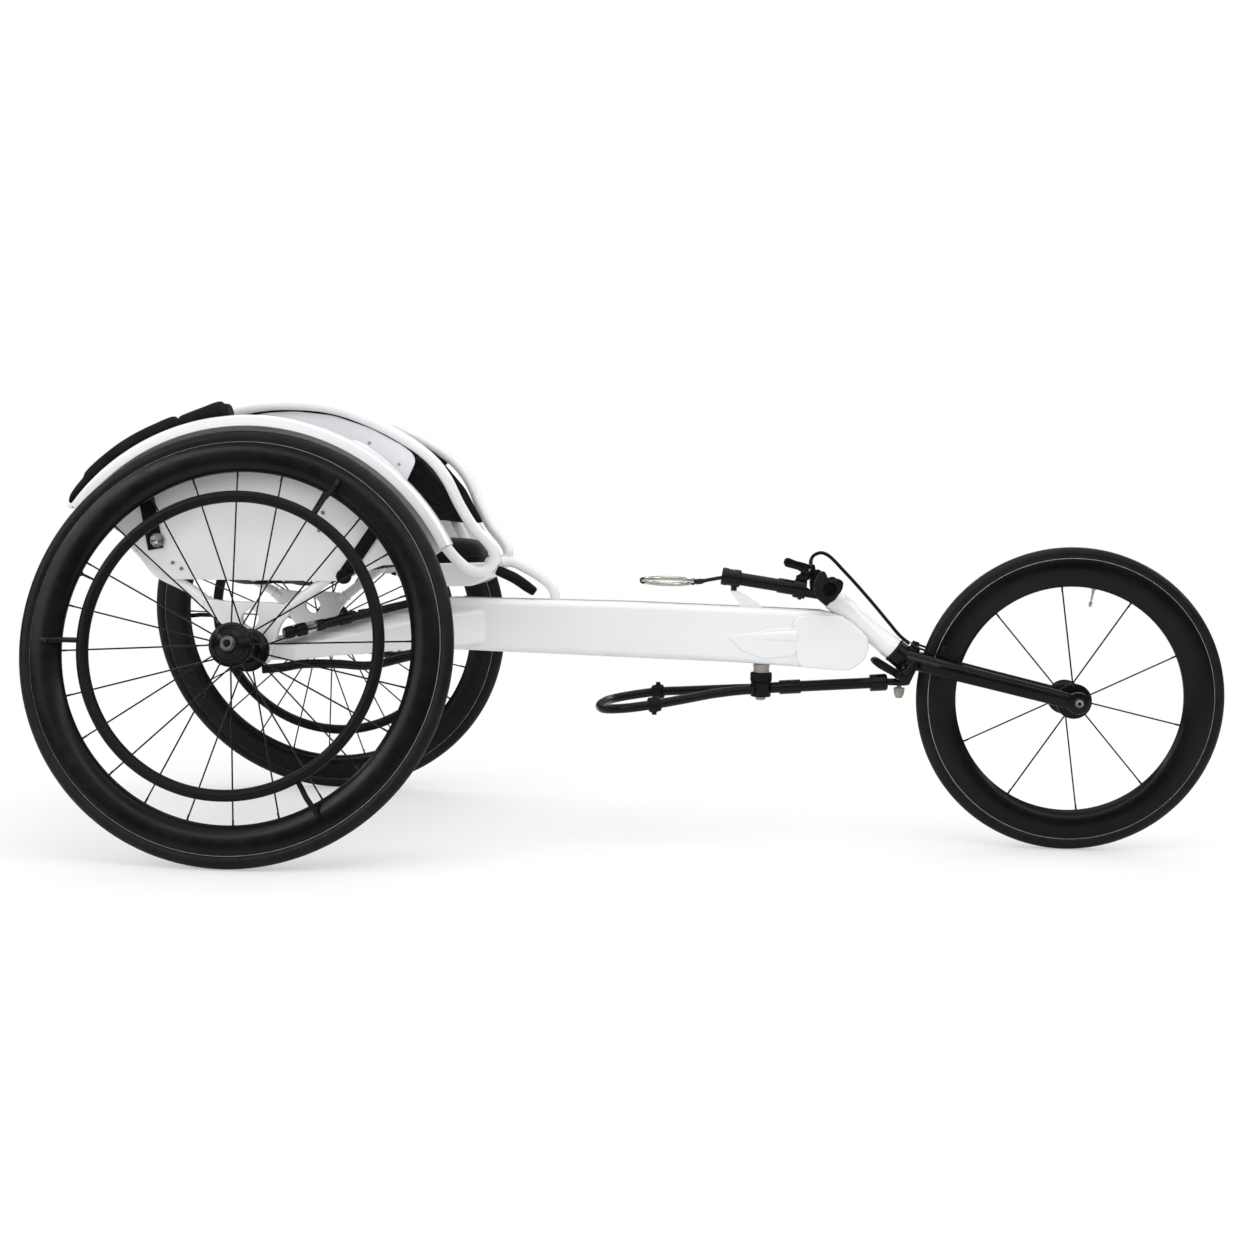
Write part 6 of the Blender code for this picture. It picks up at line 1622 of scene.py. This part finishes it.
crown_shape = mm((0, -34), (12, -34), (16.5, -32.2), (19.5, -29.2), (20.5, -26), (20.5, -2.4), (19.1, -1),
                 (12.5, -1), (12.5, 143.7), (0, 143.7))
fork = turned(crown_shape, 64, STEER_FRAME)
for side in (-1, 1):
    fork = joined(fork, fork_leg(side))
    fork = joined(fork, rod(FRONT_AXLE + Y_WAY * (side * DROPOUT_MID), Y_WAY, 0.018, DROPOUT_THICKNESS, 64,
                            0.0016))
fork = cut(fork, rod(FRONT_AXLE, Y_WAY, FRONT_AXLE_RADIUS + 2 * RUNNING, 0.2, 40))

BRAKE_AT = steer(0.0242, 0, -0.0255)
BRAKE_WAY = (FRONT_AXLE - BRAKE_AT).normalized()
BRAKE_UP = Vector((-BRAKE_WAY.z, 0, BRAKE_WAY.x))
BRAKE_FRAME = frame_at(BRAKE_AT, BRAKE_UP)
ARM_LOW = 0.0006
ARM_THICK = 0.0036
pivot = mm((0, -12), (10.5, -12), (10.5, -0.5), (9.7, 0.3), (3.2, 0.3), (3.2, 8.4), (6, 8.4), (6, 10.6),
           (5.2, 11.1), (0, 11.1))
fork_look = begun(fork)
put(fork_look, turned(pivot, 32, BRAKE_FRAME), 1)
seam = ring_route(CROWN_RADIUS + 0.0002, 0, 0, math.tau * 35 / 36,
                  frame_at(steer(0, 0, -0.003), STEER_UP), 35)
put(fork_look, tube(seam, 0.0009, 8, True), 1)
piece("front_fork", fork_look, [black_lacquer, black_steel], "fork", "steering", 34)

# %% [markdown]
# Short upright grips stand on a cross bar at the top of the steerer: the rider steers with them on long
# runs. The bar and its stem are lathe work welded by a Boolean, and a grip is a plate with a hand's
# outline and well rounded edges, with finger grooves on its rear side.

# %% Stem, cross bar and grips
STEM_RADIUS = 0.0172
CROSS_BAR_RADIUS = 0.011
CROSS_BAR_AT = steer(0.0075, 0, HEAD_TUBE_LENGTH + 0.0183)
stem_shape = mm((0, 132.2), (16.2, 132.2), (17.2, 133.2), (17.2, 160.7), (16, 163.5), (13.5, 165.1),
                (11, 165.7), (3.4, 165.7), (3.4, 162.2), (0, 162.2))
stem = turned(stem_shape, 64, STEER_FRAME)
stem = joined(stem, rod(CROSS_BAR_AT, Y_WAY, CROSS_BAR_RADIUS, 0.104, 48, 0.001))
stem = cut(stem, rod(steer(0, 0, STEERER_TOP + GAP - 0.0112), STEER_UP, STEERER_RADIUS + RUNNING, 0.0224, 48))
for side in (-1, 1):
    stem = cut(stem, rod(CROSS_BAR_AT + Y_WAY * (side * 0.052), Y_WAY, 0.0082, 0.024, 40))
piece("stem_and_bar", begun(stem), [black_lacquer], "handlebar", "steering", 34)

grip_outline = mm((-16, 29), (-9, 30), (-3, 17), (4, 14.5), (14, 18.5), (22, 13), (20, 0), (8, -18),
                  (-3, -24), (-12, -21), (-24, -8), (-26, 10))
for hand, side in SIDES:
    grip = plate([(CROSS_BAR_AT.x + x, CROSS_BAR_AT.z + z) for x, z in grip_outline], side * 0.036,
                 side * 0.058, 0.0042, 0.0026)
    grip = cut(grip, rod(CROSS_BAR_AT, Y_WAY, CROSS_BAR_RADIUS + RUNNING, 0.14, 48))
    piece(f"hand_grip_{hand}", begun(grip), [pad_foam], f"handlebar_grip_{hand}", "steering", 50)

# %% [markdown]
# The tiller reaches back from the steering to the rider's hand. A collar, a thin neck and a thicker sleeve
# follow each other on one axis, so a lathe shapes it, and a bent wire from the collar's end holds the
# ring. The collar has a bolt on each side.

# %% Tiller
TILLER_SLOPE = math.radians(8.0)
SLEEVE_RADIUS = 0.0125
CLAMP_RADIUS = 0.0148
RING_RADIUS = 0.0425
RING_TUBE = 0.0037
RING_LEAN = math.radians(-9.0)
TILLER_WAY = Vector((math.cos(TILLER_SLOPE), 0, -math.sin(TILLER_SLOPE)))
CLAMP_REAR = front(-0.2888, 0, 0.1155)
TILLER_FRAME = frame_at(CLAMP_REAR, TILLER_WAY)
tiller_shape = mm((0, 0), (12.8, 0), (14.2, 0.6), (14.8, 2), (14.8, 10), (14, 10.8), (14, 20), (14.8, 20.8),
                  (14.8, 30), (14.2, 31.4), (12.8, 32), (10.8, 32.4), (10.8, 94), (12.1, 95), (12.5, 96),
                  (12.5, 117.5), (12.1, 118), (12.5, 118.5), (12.5, 172), (0, 172))
tiller = turned(tiller_shape, 48, TILLER_FRAME)
stem_room = rod(steer(0, 0, HEAD_TUBE_LENGTH + 0.02), STEER_UP, STEM_RADIUS + GAP, 0.1, 64)
tiller_look = begun(cut(tiller, stem_room))
ring_center = front(-0.3788, 0, 0.1046)
ring_front = ring_center + X_WAY * (RING_RADIUS + RING_TUBE + GAP)
wire = smooth_route([CLAMP_REAR + Vector((0.006, 0, -0.002)), CLAMP_REAR + Vector((-0.006, 0, -0.004)),
                     front(-0.314, 0, 0.1076), ring_front + Vector((0.009, 0, 0.001)),
                     ring_front + X_WAY * 0.0001], 0.0015)
wire_radii = [0.0032 + 0.0016 * max(0.0, min(1.0, (ring_front.x + 0.015 - p.x) / 0.006)) for p in wire]
wire_radii[-1] = 0.004
put(tiller_look, tube(wire, wire_radii, 20), 1)
foot_frame = Matrix.Translation(front(-0.268, 0, REST_TOP + 2 * GAP))
put(tiller_look, turned(mm((0, 0), (4.4, 0), (5, 0.8), (5, 10), (0, 10)), 32, foot_frame), 1)
for side in (-1, 1):
    bolt_at = CLAMP_REAR + TILLER_WAY * 0.0154 + Y_WAY * (side * (CLAMP_RADIUS - 0.002)) + Z_WAY * 0.003
    put(tiller_look, cap_bolt(0.0032, 0.003), 1, frame_at(bolt_at, Y_WAY * side))
piece("steering_tiller", tiller_look, [black_lacquer, black_steel], "tiller_tube", "steering", 34)

# %% [markdown]
# The hand ring is a bright steel wire hoop. Two short black inserts, at its front where the wire is
# clamped and at its rear tip, cover its joints.

# %% Hand ring
ring_turn = Matrix.Translation(ring_center) @ Matrix.Rotation(RING_LEAN, 4, "X")
hoop = [(RING_RADIUS + RING_TUBE * math.cos(a), RING_TUBE * math.sin(a)) for a in around(20, 0)]
ring = begun(turned(hoop, 112, ring_turn))
INSERT_HALF = math.radians(7.0)
for middle_angle in (0, math.pi):
    cover = ring_route(RING_RADIUS, 0, middle_angle - INSERT_HALF, middle_angle + INSERT_HALF, ring_turn, 8)
    put(ring, tube(cover, 0.0052, 20), 1)
piece("hand_ring", ring, [bright_steel, black_plastic], "ring_handle", "steering", 50)

# %% [markdown]
# A bicycle brake lever is clamped on the tiller's sleeve, with its blade pointing back over the ring. The
# mount is a band with a block that stands on it; the lever is a fork-shaped plate round that block. It
# turns on a pin that goes through both.

# %% Brake lever and mount
LEVER_PIVOT_AT = front(-0.1433, 0, 0.1293)
LEVER_PIN_RADIUS = 0.0022
band_inner = SLEEVE_RADIUS + RUNNING
band_shape = mm((13, 122), (15.2, 122), (16, 122.8), (16, 141.2), (15.2, 142), (13, 142))
mount = turned(band_shape, 48, TILLER_FRAME)
block_outline = at_front(mm(
    (-164.5, 113), (-146.5, 111), (-135, 118), (-132, 125), (-135, 138.5), (-149, 138.5), (-154.5, 130),
    (-158, 121.5), (-164.5, 119)))
block = plate(block_outline, -0.008, 0.008, 0.0022, 0.0012)
block = cut(block, rod(CLAMP_REAR + TILLER_WAY * 0.145, TILLER_WAY, band_inner, 0.09, 48))
block = cut(block, rod(LEVER_PIVOT_AT, Y_WAY, LEVER_PIN_RADIUS + RUNNING, 0.03, 24))
mount_look = begun(mount)
put(mount_look, block)
bolt_at = CLAMP_REAR + TILLER_WAY * 0.132 - Z_WAY * (band_inner + 0.0024)
put(mount_look, cap_bolt(0.0032, 0.0028), 1, frame_at(bolt_at, -Z_WAY))
piece("lever_clamp", mount_look, [black_lacquer, black_steel], "brake_lever_mount", "steering", 34)

lever_outline = at_front(mm(
    (-137.8, 123.3), (-135.8, 130), (-140, 136.5), (-150, 140), (-166.8, 144), (-177.8, 148.5),
    (-183.8, 147), (-186.2, 140), (-183.5, 133.5), (-170, 130.5), (-162, 128.3), (-156.8, 125),
    (-146.8, 122)))
blade = plate(lever_outline, -0.0113, 0.0113, 0.0022, 0.0016)
fork_room = plate(at_front(mm((-162, 110), (-162, 150), (-125, 150), (-125, 110))),
                  -0.0084, 0.0084, 0.002)
lever_look = begun(cut(blade, fork_room))
put(lever_look, rod(LEVER_PIVOT_AT, Y_WAY, LEVER_PIN_RADIUS, 0.023, 24, 0.0005), 1)
piece("lever_blade", lever_look, [black_lacquer, satin_silver], "brake_lever", "brake_lever", 34)

# %% [markdown]
# The brake cable runs in a loop from the lever over the tiller's front and down past the head tube to the
# caliper on the fork crown. Its housing is a tube of spline points, with a metal ferrule at each end. The
# rubber finish carries a fine ripple.

# %% Brake cable
CABLE_RADIUS = 0.0029
cable_places = mm((-141.2, 138.9), (-140.9, 145), (-136.8, 153), (-124.6, 158), (-112.8, 154),
                  (-83.9, 126.8), (-40.9, 81.1), (-6.4, 41.8))
cable_clear = CROWN_RADIUS + CABLE_RADIUS + 2 * RUNNING
cable_end = [steer(cable_clear, 0, 0.006), steer(cable_clear, 0, -0.015)]
cable_route = smooth_route([front(x, 0, z) for x, z in cable_places] + cable_end, 0.004)
cable = begun(tube(cable_route, CABLE_RADIUS, 20))
ferrule = mm((0, 0), (3.2, 0), (3.2, 6.8), (2.9, 7.6), (2.6, 7.8), (0, 7.8))
for tip, inner in ((cable_route[0], cable_route[2]), (cable_route[-1], cable_route[-3])):
    put(cable, turned(ferrule, 24, frame_at(tip, inner - tip)), 1)
piece("cable_housing", cable, [grip_rubber, black_steel], "brake_cable", "steering", 40)

# %% [markdown]
# The caliper's two arms lie one over the other on a pin at the crown and reach round the tyre to the rim.
# Each is a curved plate that is lofted between two heights, with a boss at the pin and a rubber pad
# at the rim.

# %% Brake arms
BRAKE_TO_AXLE = (FRONT_AXLE - BRAKE_AT).length
PAD_FROM = BRAKE_TO_AXLE - FRONT_RIM_OUTER + 0.003
PAD_TO = PAD_FROM + 0.009
PAD_FACE = RIM_HALF_WIDTH + 0.002


def caliper_plate(outline, low, high, side, corner, edge):
    """A plate cut in the plane of the brake, between two heights above it."""
    bm = plate([(r, side * y) for y, r in outline], 0, high - low, corner, edge, "Z", 2)
    turn = Matrix((BRAKE_WAY, Y_WAY, BRAKE_UP)).transposed().to_4x4()
    return moved(bm, Matrix.Translation(BRAKE_AT + BRAKE_UP * low) @ turn)


arm_outline = [(0.003, -0.007), (0.016, -0.004), (0.0265, 0.008), (0.0275, 0.03),
               (0.0262, PAD_TO + 0.001), (0.0205, PAD_TO + 0.001), (0.0205, 0.03), (0.019, 0.013),
               (0.012, 0.0065), (0.003, 0.007)]
pad_outline = [(PAD_FACE, PAD_FROM), (0.0215, PAD_FROM), (0.0215, PAD_TO), (PAD_FACE, PAD_TO)]
for hand, side in SIDES:
    low = ARM_LOW if side < 0 else ARM_LOW + ARM_THICK + GAP
    arm = caliper_plate(arm_outline, low, low + ARM_THICK, side, 0.003, 0.0006)
    middle = BRAKE_AT + BRAKE_UP * (low + ARM_THICK / 2)
    arm = joined(arm, rod(middle, BRAKE_UP, 0.0075, ARM_THICK - 0.0002, 40))
    arm = begun(cut(arm, rod(BRAKE_AT, BRAKE_UP, 0.0032 + RUNNING, 0.05, 32)))
    put(arm, caliper_plate(pad_outline, -0.008, 0.02, side, 0.0012, 0.0008), 1)
    piece(f"caliper_arm_{hand}", arm, [black_lacquer, tyre_rubber], f"brake_arm_{hand}", f"brake_arm_{hand}",
          34)

# %% [markdown]
# Below the crown an arm reaches back to the stud that drives the track rod. Its saddle is a plate whose
# outline follows the crown. Two short horns curve up beside the legs, each with a web below it. The stud
# ends in a ball and a grey rubber boot.

# %% Steering arm and stud
STUD_X = 0.0124
EYE_RISE = -0.0552
ARM_BOTTOM = -0.0452
saddle_outline = at_front(mm(
    (-36.3, -22.2), (-33.8, -15.7), (-26.8, -14.2), (-20.3, -17.7), (-13.5, -21.5), (9.5, -35.2),
    (19, -39.2), (21.2, -45.2), (2.2, -45.2), (-11.8, -38.2), (-26.8, -30.2)))
saddle = plate(saddle_outline, -0.014, 0.014, 0.003, 0.0024)
for side in (-1, 1):
    horn = smooth_route([front(0.0032, side * 0.01, -0.0407), front(0.0092, side * 0.027, -0.0412),
                         front(0.0192, side * 0.0365, -0.0337), front(0.0307, side * 0.037, -0.0157)], 0.004)
    saddle = joined(saddle, tube(horn, [0.005] * (len(horn) - 2) + [0.0046, 0.003], 20))
crown_room = rod(steer(0, 0, -0.5 * CROWN_HEIGHT), STEER_UP, CROWN_RADIUS + GAP, 2 * CROWN_HEIGHT, 64)
horn_look = begun(cut(saddle, crown_room))
web_outline = at_front(mm(
    (2, -39), (13, -34.5), (23, -26.5), (33, -16), (37.2, -17), (35, -29), (29, -42), (23.2, -56),
    (13, -56), (6.5, -48)))
tie_outline = at_front(mm((2, -39.5), (12, -37), (12, -44.8), (5, -44.8)))
for side in (-1, 1):
    put(horn_look, plate(web_outline, side * 0.0345, side * 0.0385, 0.003, 0.0012))
    put(horn_look, plate(tie_outline, side * 0.013, side * 0.035, 0.0015, 0.001))
piece("steering_horn", horn_look, [black_lacquer], "steering_arm", "steering", 36)

BALL_RADIUS = 0.0065
stud_at = front(STUD_X, 0, EYE_RISE)
stud_top = HEAD_LOW.z + ARM_BOTTOM - GAP - stud_at.z
ball = [(BALL_RADIUS * math.cos(math.radians(d)), BALL_RADIUS * math.sin(math.radians(d)))
        for d in (46, 34, 22, 10, 0, -10, -22, -34, -46)]
boot = mm((4, -6.2), (4, -9), (8.6, -9.4), (9.2, -10.2), (9.2, -12.4), (8.4, -13), (9, -14), (8.7, -16.2),
          (7.9, -17), (8.4, -18), (8, -20.2), (6.6, -23.2), (5, -26.5), (0, -26.5))
stud_shape = [(0, stud_top), (0.0045, stud_top), (0.0045, 0.0062)] + ball + boot
piece("stud_and_boot", turned(stud_shape, 48, Matrix.Translation(stud_at)), [grey_plastic], "steering_stud",
      "steering", 34)

# %% [markdown]
# The track lever lets the rider set the front wheel for a bend with one push. It is a black loop that
# turns on a grey post under the beam, and a rod from its hub drives the stud. The loop is one closed
# smooth route, and the hub, two joint clamps with their bolts and the eye are added to it.

# %% Post and collar
BLOCK_HIGH = -0.0607
BLOCK_LOW = -0.0858
TRACK_PIVOT_AT = front(-0.2183, 0, -0.0697)
POST_FRAME = Matrix.Translation(Vector((TRACK_PIVOT_AT.x, 0, HEAD_LOW.z)))
post_shape = mm((0, -30.4), (12.6, -30.4), (13.8, -31.6), (13.8, -36), (13.2, -36.6), (13.2, -44.7),
                (5.8, -44.7), (5.8, -86.1), (8.5, -86.1), (8.5, -89.8), (7, -91.4), (6, -91.8), (3, -91.8),
                (3, -89.3), (0, -89.3))
post = begun(turned(post_shape, 48, POST_FRAME))
collar_shape = mm((5.4, -60.4), (17, -60.4), (18.2, -59.2), (18.2, -46.6), (16.8, -45), (5.4, -45))
put(post, turned(collar_shape, 64, POST_FRAME), 1)
piece("lever_post", post, [grey_plastic, black_plastic], "pivot_post", sharp=34)

# %% Track loop
LOOP_TUBE = 0.0078
loop_half = mm((-12, 10.5, -0.5), (-30, 13, -1.5), (-78, 30, -6.5), (-128, 61, -13.5), (-175.5, 88, -20),
               (-222, 88, -27.5), (-255, 66, -32.5), (-267, 32, -34.5))
block_mid = HEAD_LOW.z + (BLOCK_HIGH + BLOCK_LOW) / 2
near = [Vector((TRACK_PIVOT_AT.x + x, -y, block_mid + z)) for x, y, z in loop_half]
far = [Vector((p.x, -p.y, p.z)) for p in reversed(near)]
turn_point = Vector((TRACK_PIVOT_AT.x - 0.27, 0, block_mid - 0.035))
loop = tube(smooth_route(near + [turn_point] + far, 0.01), LOOP_TUBE, 28)
hub_block = mm((0, -85.8), (16, -85.8), (17.2, -84.6), (17.2, -61.9), (16, -60.7), (0, -60.7))
loop = joined(loop, turned(hub_block, 64, POST_FRAME))
post_room = mm((0, -105.8), (6.3, -105.8), (6.3, -40.7), (0, -40.7))
loop_look = begun(cut(loop, turned(post_room, 48, POST_FRAME)))
clamp_outer = LOOP_TUBE + 0.0045
clamp_shape = mm((0, -9.5), (10.9, -9.5), (12.3, -8.1), (12.3, 8.1), (10.9, 9.5), (0, 9.5))
for side in (-1, 1):
    clamp_at = Vector((TRACK_PIVOT_AT.x - 0.1755, side * 0.088, block_mid - 0.02))
    clamp_frame = frame_at(clamp_at, Vector((0.094, -side * 0.027, 0.014)))
    put(loop_look, turned(clamp_shape, 40, clamp_frame), 1)
    bolt_frame = frame_at(clamp_at + Z_WAY * (side * (clamp_outer - 0.0012)), Z_WAY * side)
    put(loop_look, hex_bolt(0.0046, 0.0056), 2, bolt_frame)
piece("push_loop", loop_look, [black_lacquer, black_plastic, black_steel], "track_loop", "track_lever", 36)

# %% Track rod with its eye
ROD_RADIUS = 0.0092
ROD_RISE = 0.0025
rod_start = Vector((TRACK_PIVOT_AT.x + 0.0166, 0, block_mid + ROD_RISE))
rod_end = front(STUD_X - 0.0205, 0, EYE_RISE - 0.0006)
rod_way = rod_end - rod_start
rod_length = rod_way.length
rod_shape = [(0, 0), (ROD_RADIUS - 0.0006, 0), (ROD_RADIUS, 0.0006), (ROD_RADIUS, 0.014), (0.0112, 0.0144),
             (0.0118, 0.0154), (0.0118, 0.049), (0.0112, 0.05), (ROD_RADIUS, 0.0505),
             (ROD_RADIUS, rod_length - 0.029), (0.0136, rod_length - 0.0286), (0.0142, rod_length - 0.0276),
             (0.0142, rod_length - 0.004), (0.0134, rod_length - 0.0012), (0.012, rod_length),
             (0, rod_length)]
bar = turned(rod_shape, 56, frame_at(rod_start, rod_way))
eye_half = mm((-26, -11.5), (1, -13.5), (11.5, -9))
eye_outline = [(stud_at.x + x, y) for x, y in
               eye_half + [(0.013, 0)] + [(x, -y) for x, y in reversed(eye_half)]]
eye = plate(eye_outline, stud_at.z - 0.0048, stud_at.z + 0.0048, 0.0035, 0.0014, "Z")
slot_outline = [(stud_at.x + x, y) for x, y in mm((-9.5, -7.2), (9.2, -7.2), (9.2, 7.2), (-9.5, 7.2))]
slot_room = plate(slot_outline, stud_at.z - 0.0185, stud_at.z + 0.0185, 0, 0, "Z")
bar = cut(joined(bar, eye), slot_room)
piece("track_bar", begun(bar), [black_lacquer], "track_rod", "track_lever", 34)
print("all pieces:", len(made_pieces))

# %% [markdown]
# At the end the box of the dressed model is measured again and kept next to the box of the solids.

# %% Triangles and sizes
triangles = 0
graph = bpy.context.evaluated_depsgraph_get()
for made in made_pieces:
    shown = made.evaluated_get(graph).to_mesh()
    shown.calc_loop_triangles()
    triangles += len(shown.loop_triangles)
    made.evaluated_get(graph).to_mesh_clear()
print("triangles in the dressed model:", triangles)
dressed_box = [[float(c) for c in corner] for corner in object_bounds()]
for low_or_high, a, b in zip(("lowest", "highest"), solid_box, dressed_box):
    print(low_or_high, "corner of solids and dressed model:", a, b)
